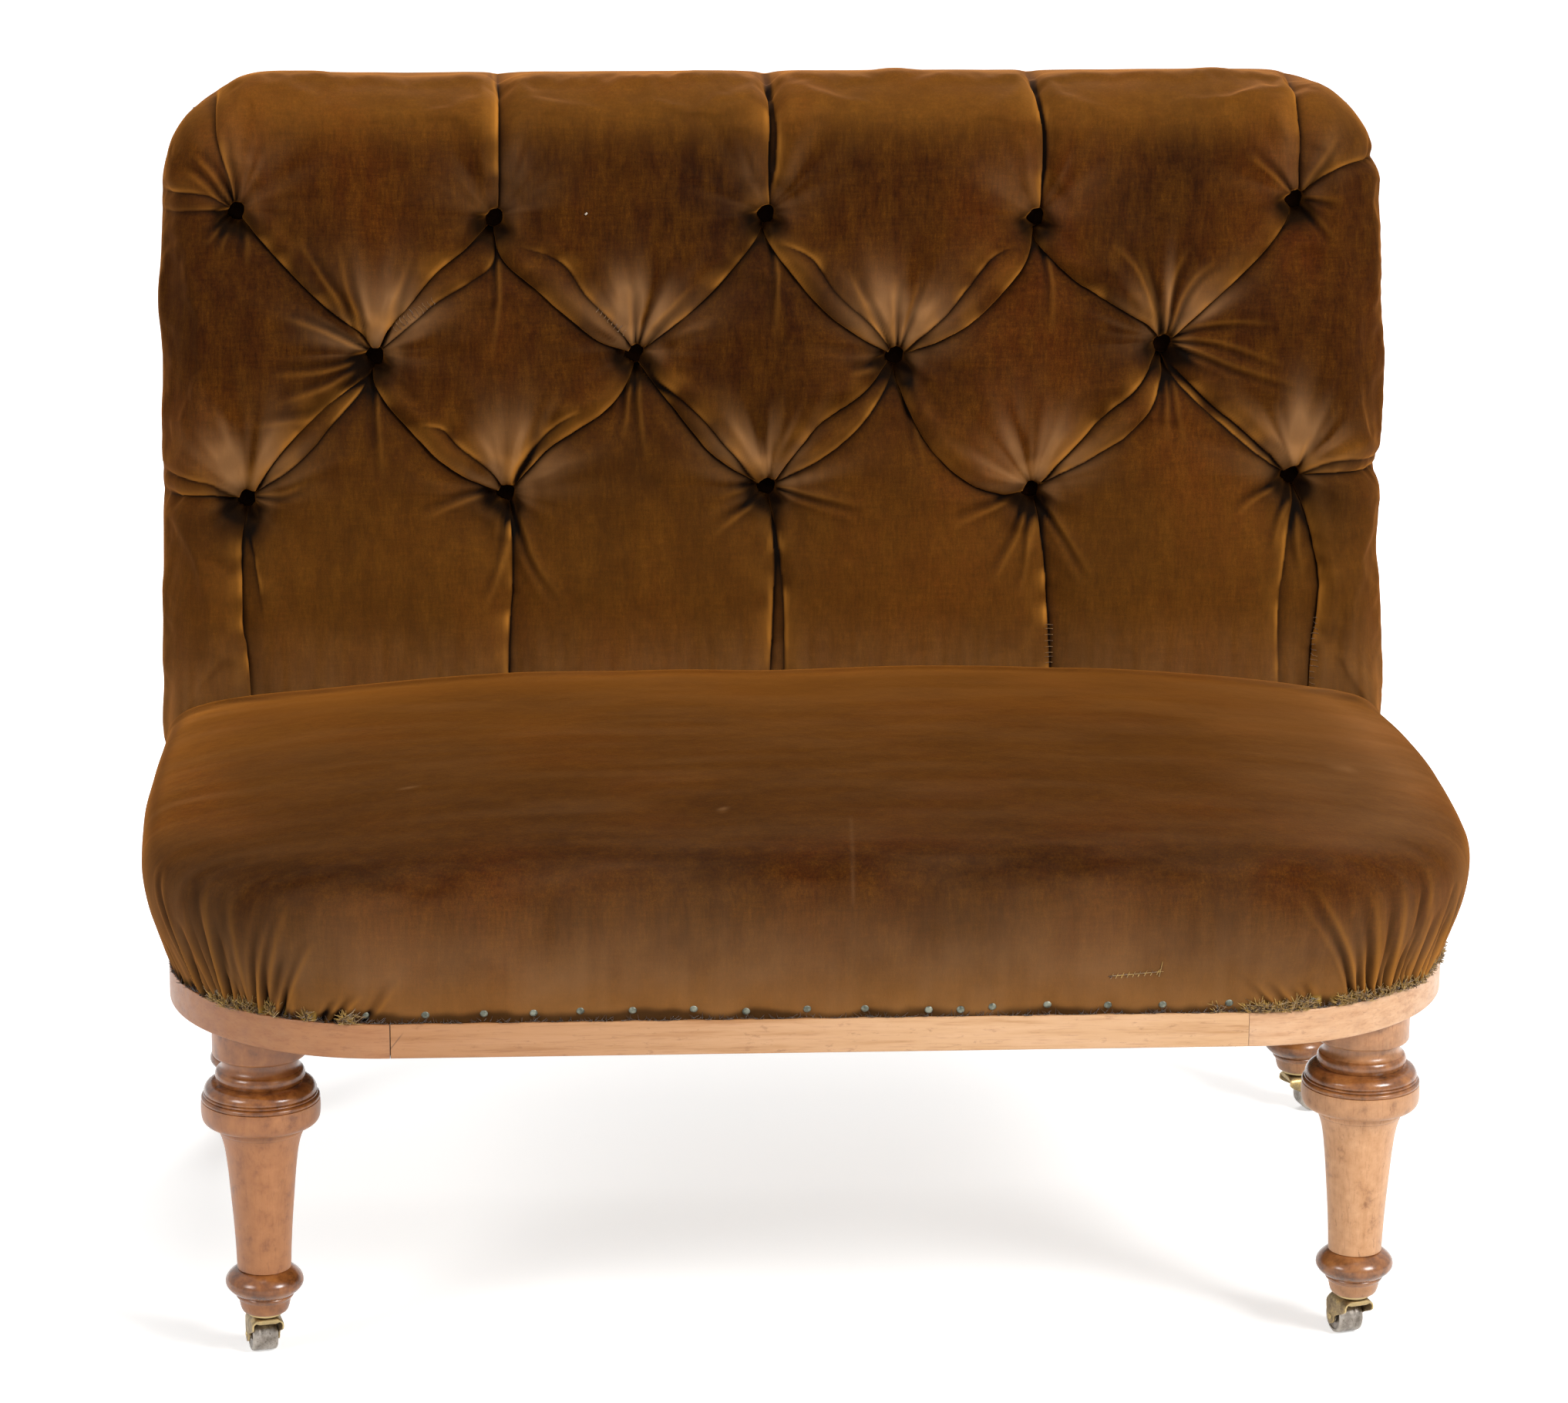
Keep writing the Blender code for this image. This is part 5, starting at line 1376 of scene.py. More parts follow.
def grid_normals(grid: Grid, closed_columns: bool = False) -> Grid:
    """Unit normals of a grid of points: the cross product of its two central differences.

    Args: grid; closed_columns, whether the last column joins the first.
    Returns: normals, like the grid.
    """
    if closed_columns:
        across = np.roll(grid, -1, axis=1) - np.roll(grid, 1, axis=1)
    else:
        across = np.gradient(grid, axis=1)
    return unit(np.cross(across, np.gradient(grid, axis=0)))


# the rehearsed cloth: its pressure, its last frame, and how often its moves are evened out
PRESSURE = 4.0
LAST_FRAME = 20
EVENING = 4


def billowed(grid: Grid, held: Grid, cap: float, step: tuple[int, int], closed: bool = False) -> Grid:
    """Let a coarse copy of a surface swell as cloth under pressure, and carry its moves back to every point.

    A move m is capped smoothly: cap tanh(|m| / cap) along m.
    Args: grid of points; held, 1 where the cloth is fastened and 0 where it is free; cap, the largest move;
    step, rows and columns from one coarse point to the next; closed, whether the last column joins the first.
    """
    count, across = grid.shape[:2]
    rows = np.unique(np.append(np.arange(0, count, step[0]), count - 1))
    columns = np.arange(0, across, step[1])
    columns = columns if closed else np.unique(np.append(columns, across - 1))
    coarse = grid[rows][:, columns]
    quads = grid_quads(len(rows), len(columns), closed_columns=closed)
    mesh = add_mesh("billow_rehearsal", Shape(coarse.reshape(-1, 3), quads))
    cloth = bpy.data.objects.new("billow_rehearsal", mesh)
    bpy.context.scene.collection.objects.link(cloth)
    group = cloth.vertex_groups.new(name="fastened")
    share = np.round(held[rows][:, columns].ravel(), 2)
    for weight in np.unique(share[share > 0]):
        group.add(np.flatnonzero(share == weight).tolist(), float(weight), "REPLACE")
    physics = cloth.modifiers.new("billow", "CLOTH")
    settings = physics.settings
    settings.quality, settings.mass = 6, 0.25
    settings.tension_stiffness = settings.compression_stiffness = 12.0
    settings.bending_stiffness = 0.4
    settings.use_pressure, settings.uniform_pressure_force = True, PRESSURE
    settings.shrink_min = -0.02
    settings.vertex_group_mass = "fastened"
    settings.effector_weights.gravity = 0.0
    physics.collision_settings.use_collision = False
    scene = bpy.context.scene
    for moment in range(1, LAST_FRAME + 1):
        scene.frame_set(moment)
    swollen = cloth.evaluated_get(bpy.context.evaluated_depsgraph_get())
    result = np.empty(len(mesh.vertices) * 3, np.float32)
    swollen.data.vertices.foreach_get("co", result)
    move = result.reshape(coarse.shape).astype(float) - coarse
    scene.frame_set(1)
    bpy.data.objects.remove(cloth)
    bpy.data.meshes.remove(mesh)
    length = np.linalg.norm(move, axis=-1, keepdims=True)
    log.info("cloth moved %.1f mm at most before the cap", 1000 * length.max())
    move *= cap * np.tanh(length / cap) / np.maximum(length, 1e-9)
    if closed:
        columns, move = np.append(columns, across), np.concatenate([move, move[:, :1]], axis=1)
    for axis, (knots, size) in enumerate(((rows, count), (columns, across))):
        place = np.arange(size)
        low = np.clip(np.searchsorted(knots, place, side="right") - 1, 0, len(knots) - 2)
        part = (place - knots[low]) / (knots[low + 1] - knots[low])
        part = part.reshape([-1 if k == axis else 1 for k in range(3)])
        move = np.take(move, low, axis) * (1 - part) + np.take(move, low + 1, axis) * part
    for _ in range(EVENING):
        move[1:-1] = (move[:-2] + 2 * move[1:-1] + move[2:]) / 4
        move[:, 1:-1] = (move[:, :-2] + 2 * move[:, 1:-1] + move[:, 2:]) / 4
    return move


@dataclass
class SeatCover:
    """Velvet seat: walls that swell over the show-wood, gathers round the front corners, a domed top."""

    plan: SofaPlan
    suspension: SeatSuspension
    bulge: float = 0.022
    stuffing: float = 0.0535
    end_drop: float = 0.034
    front_drop: float = 0.014
    rear_drop: float = 0.020
    rear_radius: float = 0.012
    counts: Counts = (270, 300, 120, 8, 150)
    wall_rings: int = 66
    top_rings: int = 42
    bow: float = 0.007
    fan_share: float = 0.55
    cloth_cap: float = 0.0035
    shoulder_passes: int = 46
    gather_row: int = 40
    uneven: float = 0.0016
    fold_spacing: float = 0.0088
    tack_spacing: float = 0.045
    least_apart: float = 0.034
    tack_facets: int = 12
    stains: tuple[tuple[float, float, float, float], ...] = (
        (0.4586, -0.128, 0.010, 0.5), (-0.0744, -0.276, 0.004, 0.7), (-0.33, -0.19, 0.003, 0.5))
    noise: LatticeNoise = field(default_factory=lambda: LatticeNoise(12))

    @property
    def crown(self) -> float:
        """Height of the dome's middle."""
        s = self.suspension
        return self.plan.rail_bottom + s.spring_height + s.canvas + 2 * self.plan.gap + self.stuffing

    @property
    def rear_middle(self) -> float:
        """Depth of the seat's rear face half way up."""
        p = self.plan
        return float(p.back_plane((p.ledge + self.crown) / 2, p.pad_depth + p.gap))

    def dome(self, x: Grid, y: Grid) -> Grid:
        """Top of the seat: the crown less drops, powers of the way towards the ends, the front and the rear.

        Args: x; y, in plan.
        Returns: its height there.
        """
        p = self.plan
        half, front, rear = p.half_rail + self.bulge, p.front - self.bulge, self.rear_middle
        across = np.abs(x) / half
        along = (y - (front + rear) / 2) / ((rear - front) / 2)
        drop = self.end_drop * across ** 3.2 + self.front_drop * np.clip(-along, 0, None) ** 3
        return self.crown - drop - self.rear_drop * np.clip(along, 0, None) ** 2

    def outline(self, outward: float, rear: float) -> Grid:
        """Plan outline at a distance outside the rail's faces.

        Args: outward, the distance; rear, the depth of its rear edge.
        Returns: (n, 2) points.
        """
        p = self.plan
        return seat_outline(p.half_rail + outward, p.front - outward, rear, p.front_radius + outward,
                            self.rear_radius, self.counts)

    def leaned(self, outline: Grid, height: Grid) -> Grid:
        """Carry an outline to its heights, the rear following the raked back.

        Args: outline in plan; height of each point or of all.
        Returns: (n, 3) points.
        """
        p = self.plan
        height = np.broadcast_to(height, len(outline))
        front = p.front - self.bulge
        lean = p.back_plane(height, p.pad_depth + p.gap) - self.rear_middle
        share = np.clip((outline[:, 1] - front) / (self.rear_middle - front), 0, 1)
        return np.column_stack([outline[:, 0], outline[:, 1] + share * lean, height])

    def outer_rings(self) -> Grid:
        """Rings from the velvet's lower edge up the wall and over the dome, smoothed across the shoulder.

        Returns: points (rings, points around, 3).
        """
        p = self.plan
        knots = ((0.0, -0.10), (0.06, 0.05), (0.18, 0.28), (0.33, 0.60), (0.50, 0.86), (0.68, 1.0), (0.81, 0.84),
                 (0.92, 0.32), (1.0, -0.60))
        wall = smooth_line(knots, self.wall_rings)
        foot = p.ledge + p.gap
        rim = self.outline(-0.60 * self.bulge, self.rear_middle)
        shoulder = self.dome(rim[:, 0], rim[:, 1])
        rings = [self.leaned(self.outline(swell * self.bulge, self.rear_middle), foot + share * (shoulder - foot))
                 for share, swell in wall]
        centre = np.array([0.0, (p.front - self.bulge + self.rear_middle) / 2])
        for share in np.linspace(1, 0, self.top_rings + 1)[1:-1] ** 0.9:
            inner = centre + share * (rim - centre)
            rings.append(self.leaned(inner, self.dome(inner[:, 0], inner[:, 1])))
        grid = np.array(rings)
        for _ in range(self.shoulder_passes):
            grid[4:-1] = (grid[3:-2] + 2 * grid[4:-1] + grid[5:]) / 4
        middle = np.clip((grid[..., 1] - p.front - 0.12) / (self.rear_middle - p.front - 0.12), 0, 1)
        side = smooth(0.6, 1.0, np.abs(grid[..., 0]) / p.half_rail)
        risen = smooth(0.0, 0.06, grid[..., 2] - grid[:1, :, 2])
        grid[..., 0] += self.bow * 4 * middle * (1 - middle) * side * risen * np.sign(grid[..., 0])
        return grid

    def gathers(self, grid: Grid) -> tuple[Grid, Grid]:
        """Folds that fan up from the tacked edge round each front corner.

        Each is a narrow valley between ridges, d (-exp(-s^2) + 0.7 exp(-((s-1.6)/0.9)^2) + 0.5 exp(-((s+1.6)/0.9)^2)),
        with s the distance along the edge from the fold's line over its width.
        Args: grid of the cover's points.
        Returns: outward push and a value that is positive on ridges and negative in valleys.
        """
        arc = way_round(grid[self.gather_row])
        corner, face = self.counts[0], self.counts[1]
        middles = (arc[int(corner * self.fan_share)], arc[corner + face + int(corner * (1 - self.fan_share))])
        rise = np.clip(grid[..., 2] - grid[:1, :, 2], 0, None)
        push, ridge = np.zeros(grid.shape[:2]), np.zeros(grid.shape[:2])
        random = np.random.default_rng(5)
        for side, middle in zip((1, -1), middles):
            folds = [(self.fold_spacing * n + random.uniform(-0.002, 0.002), random.uniform(0.065, 0.112),
                      random.uniform(0.0026, 0.0052)) for n in range(-6, 6)]
            folds += [(random.uniform(-0.16, 0.14), random.uniform(0.018, 0.045), random.uniform(0.0010, 0.0022))
                      for _ in range(22)]
            for at, reach, depth in folds:
                width = random.uniform(0.0021, 0.0031) * (1 if reach > 0.05 else 1.3)
                lean = at * random.uniform(5, 10) + random.uniform(-0.08, 0.08)
                line = middle + side * (at + lean * rise + random.uniform(-1.5, 1.5) * rise ** 2)
                s = (arc[None] - line) / (width * (1 + rise / 0.06))
                fade = np.clip(1 - rise / reach, 0, 1) ** 0.7
                push += depth * fade * (-np.exp(-s ** 2) + 0.7 * bell(s, 1.6, 0.9) + 0.5 * bell(s, -1.6, 0.9))
                strong = fade * min(depth / 0.004, 1.0)
                ridge += strong * (0.8 * bell(s, 1.6, 0.6) + 0.3 * bell(s, -1.6, 0.6) - bell(s, 0, 0.85))
        return push * (np.arange(len(grid)) < self.wall_rings + 6)[:, None], ridge

    def tack_places(self, ring: Grid) -> Grid:
        """Tacks of the lower edge: given one by one along the front, then about 45 mm apart along the sides.

        Args: ring, the lower edge.
        Returns: numbers of the points at which it is tacked.
        """
        front = np.array([-484, -365, -317, -270, -231, -193, -152, -103, -60, -12, 36, 87, 112, 138, 182, 231, 276,
                          329, 399]) / 1000
        chosen = [int(np.argmin(np.abs(ring[:, 0] - x) + 9 * (ring[:, 1] > self.plan.front + 0.09))) for x in front]
        arc = way_round(ring)
        random = np.random.default_rng(2)
        even = np.arange(0.02, arc[-1], self.tack_spacing)
        for place in even + random.uniform(-0.008, 0.008, len(even)):
            at = int(np.argmin(np.abs(arc - place)))
            behind = ring[at, 1] > self.rear_middle - 0.03 or ring[at, 1] < -0.18
            if not behind and min(np.linalg.norm(ring[at] - ring[k]) for k in chosen) > self.least_apart:
                chosen.append(at)
        return np.array(chosen)

    def unevenness(self, grid: Grid, tacks: Grid) -> Grid:
        """Uneven stuffing by noise, with a dimple over each tack and a bulge round it.

        Args: grid of the cover; tacks, the tacked points of its lower edge.
        Returns: outward push.
        """
        rise = grid[..., 2] - grid[:1, :, 2]
        uneven = self.uneven * self.noise.layered(grid[..., 0] / 0.13, grid[..., 1] / 0.16 + grid[..., 2] / 0.12, 2)
        uneven *= smooth(0.01, 0.06, rise)
        for at in tacks:
            away = np.linalg.norm(grid[0] - grid[0, at], axis=1)[None]
            uneven -= 0.0016 * bell(away, 0, 0.006) * bell(rise, 0.007, 0.008)
            uneven += 0.0007 * bell(away, 0.022, 0.010) * bell(rise, 0, 0.014)
        return uneven

    def colours(self, grid: Grid, ridge: Grid) -> dict[str, Grid]:
        """Crushed pile with painted light, painted shade, painted golden highlight and worn places: bands up the wall,
        gathers, frayed edge, stains and a scratch.

        Args: grid of the cover; ridge, positive on the gathers' ridges and negative in their valleys.
        Returns: values by name, from 0 to 1.
        """
        x, y, z = grid[..., 0], grid[..., 1], grid[..., 2]
        rise = z - z[:1]
        spans = np.linalg.norm(np.diff(grid, axis=0), axis=2)
        front = smooth(-0.15, -0.30, y)
        mottle = self.noise.layered(x / 0.045, z / 0.03 + y / 0.03, 3)
        streaks = self.noise.layered(x / 0.008, z / 0.09 + y / 0.06, 2)
        grazed = self.noise.layered(x / 0.10, y / 0.018, 3)
        climb = np.concatenate([np.zeros((1, grid.shape[1])), np.cumsum(spans, axis=0)]) + 0.009 * mottle
        # painted shade: a dark band across the front wall's shoulder, where the pile faces the camera
        shoulder_shade = bell(climb, 0.148, 0.026) * front
        lower = smooth(0.135, 0.040, climb) * (0.35 + 0.65 * front)
        # painted shade along the velvet's lowest centimetre, where it tucks into the rebate
        strip = smooth(0.0105, 0.0030, rise + 0.005 * mottle)
        left = smooth(-0.375, -0.400, x) * smooth(-0.52, -0.47, x)
        frayed = np.maximum(left, smooth(0.33, 0.36, x)) * smooth(-0.15, -0.20, y)
        marks = sum(share * np.exp(-((x - a) ** 2 + (y - b) ** 2) / size ** 2) for a, b, size, share in self.stains)
        scratch = bell(x - 0.05 * (y + 0.37), 0.0245, 0.0016) * smooth(-0.29, -0.31, y) * smooth(0.10, 0.115, climb)
        crush = lower * (0.36 + 0.12 * mottle + 0.04 * streaks) + 0.04 + 0.08 * grazed + marks + 0.15 * scratch
        # painted light: the right end paler, as the key lamp stands at the right
        crush += 0.24 * smooth(0.30, 0.50, x) * smooth(0.10, 0.16, climb)
        # painted shade: the shoulder band, the whole top, the gathers' valleys and the lowest edge
        hollow = 0.32 * shoulder_shade + 0.43 * smooth(0.15, 0.20, climb) + 0.85 * np.clip(-ridge, 0, 1) + 0.75 * strip
        # painted shade: the left end of the front darker, away from the key lamp
        hollow += 0.26 * smooth(-0.36, -0.50, x) * front
        # painted highlight: golden on the gathers' ridges and near the foot of the wall
        lip = 0.46 * np.clip(ridge, 0, 1) + 0.14 * smooth(0.06, 0.0, climb)
        worn = frayed * smooth(0.010, 0.004, rise + 0.004 * mottle) * smooth(-0.2, 0.5, streaks) * 0.9
        return {name: np.clip(value, 0, 1)
                for name, value in (("crush", crush), ("hollow", hollow), ("lip", lip), ("worn", worn))}

    def core(self) -> Grid:
        """Rings of the hollow under the cover: the canvas's plateau and foot, then out and down inside the rebate.

        Returns: points (4, points around, 3).
        """
        p, s = self.plan, self.suspension
        _, base, plateau = s.canvas_sizes()
        top = p.rail_top + s.canvas + 2 * p.gap
        high = p.rail_bottom + s.spring_height + s.canvas + p.gap
        rings = [s.canvas_ring(inset - p.gap, depth + p.gap, height, self.counts)
                 for (inset, depth), height in ((plateau, high), (base, top))]
        inset = p.rebate - p.gap
        for height in (top, p.ledge + p.gap):
            rear = float(p.back_plane(height, p.pad_depth + p.gap)) - 0.0005
            flat = seat_outline(p.half_rail - inset, p.front + inset, rear, p.front_radius - inset, self.rear_radius,
                                self.counts)
            rings.append(np.column_stack([flat, np.full(len(flat), height)]))
        return np.array(rings)

    def build(self) -> None:
        grid = self.outer_rings()
        normal = grid_normals(grid, closed_columns=True)
        if normal[self.wall_rings // 2, self.counts[0] + 20, 1] > 0:
            normal = -normal
        held = np.zeros(grid.shape[:2])
        held[:3] = 1.0
        held[grid[..., 1] > self.rear_middle - 0.012] = 1.0
        swollen = billowed(grid[:, ::-1], held[:, ::-1], self.cloth_cap, (3, 6), closed=True)[:, ::-1]
        push, ridge = self.gathers(grid)
        grid = grid + swollen
        tacks = self.tack_places(grid[0])
        moved = grid + normal * (push + self.unevenness(grid, tacks))[..., None]
        moved[..., 2] = np.maximum(moved[..., 2], self.plan.ledge + self.plan.gap)
        core = self.core()
        inner = np.zeros(core.shape[:2])
        values = {name: np.concatenate([inner, value]) for name, value in self.colours(grid, ridge).items()}
        piece = add_piece("seat_cover", skinned(np.concatenate([core, moved]), values), VELVET, ["seat_pad"],
                          crease=None)
        self.drive_tacks(moved, normal, tacks)
        self.fray(moved, normal)
        self.mend_tear(moved, normal)

    def drive_tacks(self, grid: Grid, normal: Grid, places: Grid) -> None:
        """Domed tack heads, about 7 mm across, pressed into the velvet's lower edge.

        Args: grid of the cover; its normals; places, the tacked points of its lower edge.
        """
        profile = np.array([(0.0033, -0.0006), (0.0035, 0.0), (0.0032, 0.0007), (0.0024, 0.0013), (0.0012, 0.0016)])
        turn = round_angles(self.tack_facets)
        random = np.random.default_rng(9)
        shapes = []
        for at in places:
            row = int(np.argmin(np.abs(grid[:30, at, 2] - grid[0, at, 2] - random.uniform(0.0055, 0.0085))))
            out = normal[row, at]
            side = np.cross(out, UPWARD)
            side = unit(side)
            up = np.cross(side, out)
            ring = profile[:, None, :1] * (np.cos(turn)[None, :, None] * side + np.sin(turn)[None, :, None] * up)
            shapes.append(skinned(grid[row, at] + ring + profile[:, None, 1:] * out))
        add_piece("seat_edge_tacks", joined(shapes), TACK_IRON)

    def fray(self, grid: Grid, normal: Grid) -> None:
        """Loose yarn ends along the raw edge: dark and short all along, golden and longer at the front corners.

        A yarn runs out, sideways and up by chance, and bends by the square of its length.
        Args: grid of the cover; its normals.
        """
        p = self.plan
        random = np.random.default_rng(31)
        ring = grid[0]
        front = np.flatnonzero(ring[:, 1] < -0.05)
        clumps = LatticeNoise(8).layered(ring[:, 0] / 0.014, ring[:, 1] / 0.014, 2) > -0.05
        x, y = ring[front, 0], ring[front, 1]
        golden = front[clumps[front] & (((x < -0.36) & (x > -0.49)) | ((x > 0.31) & (y < -0.17)))]
        t = np.linspace(0, 1, 5)[None, :, None]
        for name, at, count, rows, long, thick, finish in (
                ("seat_edge_fray", front, 1500, 3, 0.0066, 0.00024, FRAYED_DARK),
                ("seat_edge_tufts", golden, 2600, 9, 0.0110, 0.00045, FRAYED_GOLD)):
            root, row = random.choice(at, count), random.integers(0, rows, count)
            start, out = grid[row, root], normal[row, root]
            along = np.stack([-out[:, 1], out[:, 0], np.zeros(count)], axis=1)
            lift = random.uniform(-0.2, 1.1, (count, 1)) * UPWARD
            way = 0.55 * out + random.uniform(-0.9, 0.9, (count, 1)) * along + lift
            way = unit(way)
            length = random.uniform(0.4, 1.0, (count, 1, 1)) * long
            paths = start[:, None] + way[:, None] * length * t
            paths += along[:, None] * length * random.uniform(-0.4, 0.4, (count, 1, 1)) * t ** 2
            paths -= out[:, None] * length * 0.35 * t ** 2
            paths[..., 2] = np.maximum(paths[..., 2], p.ledge + p.gap + 0.0003)
            if finish is FRAYED_DARK:
                # dark ends that hang under the front rail
                under = random.uniform((0.322, p.front + 0.016, 0), (0.342, p.front + 0.024, 0), (70, 3))
                drop = random.uniform((-0.004, -0.002, -0.006), (0.004, 0.002, -0.001), (70, 3))
                under = under[:, None] + drop[:, None] * t + [0, 0, p.rail_bottom]
                paths = np.concatenate([paths, under])
            add_piece(name, strands(paths, thick), finish, crease=None)

    def mend_tear(self, grid: Grid, normal: Grid) -> None:
        """A small tear at the front, drawn together by hand with pale thread.

        Args: grid of the cover; its normals.
        """
        wall = grid[:self.wall_rings].reshape(-1, 3)
        outward = normal[:self.wall_rings].reshape(-1, 3)
        lines = [np.linspace((0.2294, 0.3535), (0.2735, 0.3575), 9), np.linspace((0.2700, 0.3530), (0.2722, 0.3665), 9)]
        lines += [np.linspace((x, 0.3512 + 0.09 * (x - 0.2294)), (x + 0.0022, 0.3562 + 0.09 * (x - 0.2294)), 9)
                  for x in (0.2310, 0.2350, 0.2395, 0.2440, 0.2485, 0.2530, 0.2580, 0.2630, 0.2680)]
        paths = []
        for line in lines:
            far = (wall[:, None, 0] - line[None, :, 0]) ** 2 + (wall[:, None, 2] - line[None, :, 1]) ** 2
            far += 9.0 * (wall[:, None, 1] > self.plan.front + 0.05)
            near = far.argmin(axis=0)
            path = np.column_stack([line[:, 0], wall[near, 1], line[:, 1]])
            path[:, 1] = np.convolve(np.pad(path[:, 1], 2, mode="edge"), np.full(5, 0.2), mode="valid")
            paths.append(path + outward[near] * 0.0004)
        add_piece("seat_tear_stitches", strands(np.array(paths), 0.00045), FRAYED_GOLD, crease=None)


class Overlap(Enum):
    """Which side of a pleat lies on top."""

    ABOVE = 1
    LEFT = 2
    RIGHT = 3


@dataclass(frozen=True)
class Pleat:
    """A tucked fold of the velvet: its line on the back in millimetres, how deep it is and how it overlaps."""

    line: tuple[Point, ...]
    deep: float = 1.0
    over: Overlap = Overlap.ABOVE
    start: float = 1.0
    end: float = 1.0


@dataclass(frozen=True)
class Crease:
    """A soft drawn line that runs out from a button and fades: its line in millimetres, and its depth."""

    line: tuple[Point, ...]
    deep: float = 2.0
    width: float = 3.6


PLEATS = (
    Pleat(((-482, 489), (-444, 445), (-403, 403), (-367, 376), (-361, 360))),
    Pleat(((-252, 482), (-280, 455), (-307, 433), (-328, 408), (-353, 379), (-361, 360))),
    Pleat(((-252, 482), (-254, 444), (-276, 425), (-307, 406), (-326, 389), (-361, 360)), 0.55, start=0.1),
    Pleat(((-252, 482), (-246, 447), (-215, 417), (-185, 390), (-158, 370), (-126, 360))),
    Pleat(((-234, 455), (-207, 447), (-188, 436), (-170, 409), (-139, 377), (-126, 360)), 0.6, start=0.0),
    Pleat(((-8, 484), (-14, 469), (-35, 442), (-62, 412), (-93, 385), (-126, 360))),
    Pleat(((-361, 360), (-369, 343), (-411, 311), (-442, 280), (-477, 231))),
    Pleat(((-361, 360), (-371, 332), (-398, 301), (-431, 265), (-477, 231)), 0.6),
    Pleat(((-361, 360), (-358, 330), (-328, 291), (-297, 260), (-271, 245), (-244, 234))),
    Pleat(((-324, 295), (-299, 291), (-284, 275), (-253, 250), (-244, 234)), 0.6, start=0.0),
    Pleat(((-126, 360), (-134, 338), (-153, 311), (-184, 290), (-213, 271), (-244, 234))),
    Pleat(((-174, 305), (-199, 294), (-219, 277), (-236, 254), (-244, 234)), 0.6, start=0.0),
    Pleat(((-126, 360), (-116, 341), (-88, 305), (-55, 266), (-9, 238))),
    Pleat(((-126, 360), (-107, 337), (-67, 301), (-42, 271), (-9, 238)), 0.8),
    Pleat(((-8, 484), (-9, 465), (12, 433), (43, 397), (75, 373), (108, 356))),
    Pleat(((0, 457), (31, 443), (53, 413), (91, 377), (108, 356)), 0.6, start=0.0),
    Pleat(((235, 480), (231, 465), (218, 432), (182, 392), (150, 371), (108, 356))),
    Pleat(((222, 455), (194, 444), (170, 416), (146, 387), (108, 356)), 0.7, start=0.0),
    Pleat(((235, 480), (235, 459), (265, 427), (301, 403), (343, 377), (351, 365))),
    Pleat(((470, 495), (464, 481), (433, 442), (393, 405), (351, 365))),
    Pleat(((108, 356), (99, 349), (75, 322), (39, 298), (19, 275), (-9, 238))),
    Pleat(((108, 356), (101, 334), (75, 296), (39, 265), (-9, 238)), 0.6),
    Pleat(((108, 356), (111, 330), (130, 286), (166, 246), (202, 230), (231, 234))),
    Pleat(((351, 365), (341, 352), (322, 322), (290, 298), (270, 275), (231, 234))),
    Pleat(((351, 365), (346, 332), (330, 296), (290, 267), (231, 234)), 0.6),
    Pleat(((351, 365), (353, 354), (386, 318), (422, 287), (470, 245))),
    Pleat(((351, 365), (360, 334), (402, 292), (446, 257), (470, 245)), 0.7),
    Pleat(((-482, 489), (-487, 515), (-497, 545), (-502, 575), (-503, 640)), 0.45, Overlap.RIGHT),
    Pleat(((-252, 482), (-250, 510), (-250, 560), (-249, 640)), 0.9, Overlap.LEFT),
    Pleat(((-8, 484), (-9, 520), (-8, 560), (-8, 640)), 0.9, Overlap.LEFT),
    Pleat(((-6, 500), (-1, 530), (0, 566), (-4, 640)), 0.45, Overlap.RIGHT, start=0.0),
    Pleat(((235, 480), (238, 522), (237, 561), (228, 640)), 0.8, Overlap.LEFT),
    Pleat(((236, 495), (243, 530), (240, 577), (235, 640)), 0.35, Overlap.RIGHT, start=0.0),
    Pleat(((470, 495), (469, 530), (470, 568), (469, 640)), 0.7, Overlap.LEFT),
    Pleat(((-477, 231), (-484, 190), (-485, 130), (-480, 60), (-480, 20)), 0.8, Overlap.LEFT),
    Pleat(((-477, 231), (-471, 173), (-463, 120)), 0.4, Overlap.RIGHT, end=0.0),
    Pleat(((-244, 234), (-241, 175), (-244, 120), (-245, 60), (-245, 20)), 0.8, Overlap.LEFT),
    Pleat(((-9, 238), (-4, 180), (-6, 126), (-10, 60), (-10, 20)), 0.7, Overlap.LEFT),
    Pleat(((-9, 238), (1, 183), (5, 127), (6, 60), (6, 20)), 0.5, Overlap.RIGHT),
    Pleat(((231, 234), (239, 169), (243, 113), (245, 60), (245, 20)), 0.9, Overlap.LEFT),
    Pleat(((470, 245), (485, 195), (494, 143), (487, 70), (486, 20)), 0.9, Overlap.RIGHT),
    Pleat(((470, 245), (458, 155), (455, 80), (455, 40)), 0.35, Overlap.LEFT, end=0.2),
    Pleat(((-482, 489), (-515, 503), (-590, 506)), 0.45),
    Pleat(((-482, 489), (-515, 489), (-590, 486)), 0.30),
    Pleat(((-477, 231), (-519, 246), (-590, 258)), 0.45),
    Pleat(((-477, 231), (-519, 235), (-590, 231)), 0.75),
    Pleat(((470, 495), (495, 517), (535, 531), (590, 534)), 0.55),
    Pleat(((470, 245), (506, 256), (590, 260)), 0.5),
    Pleat(((470, 245), (511, 247), (590, 249)), 0.75),
)

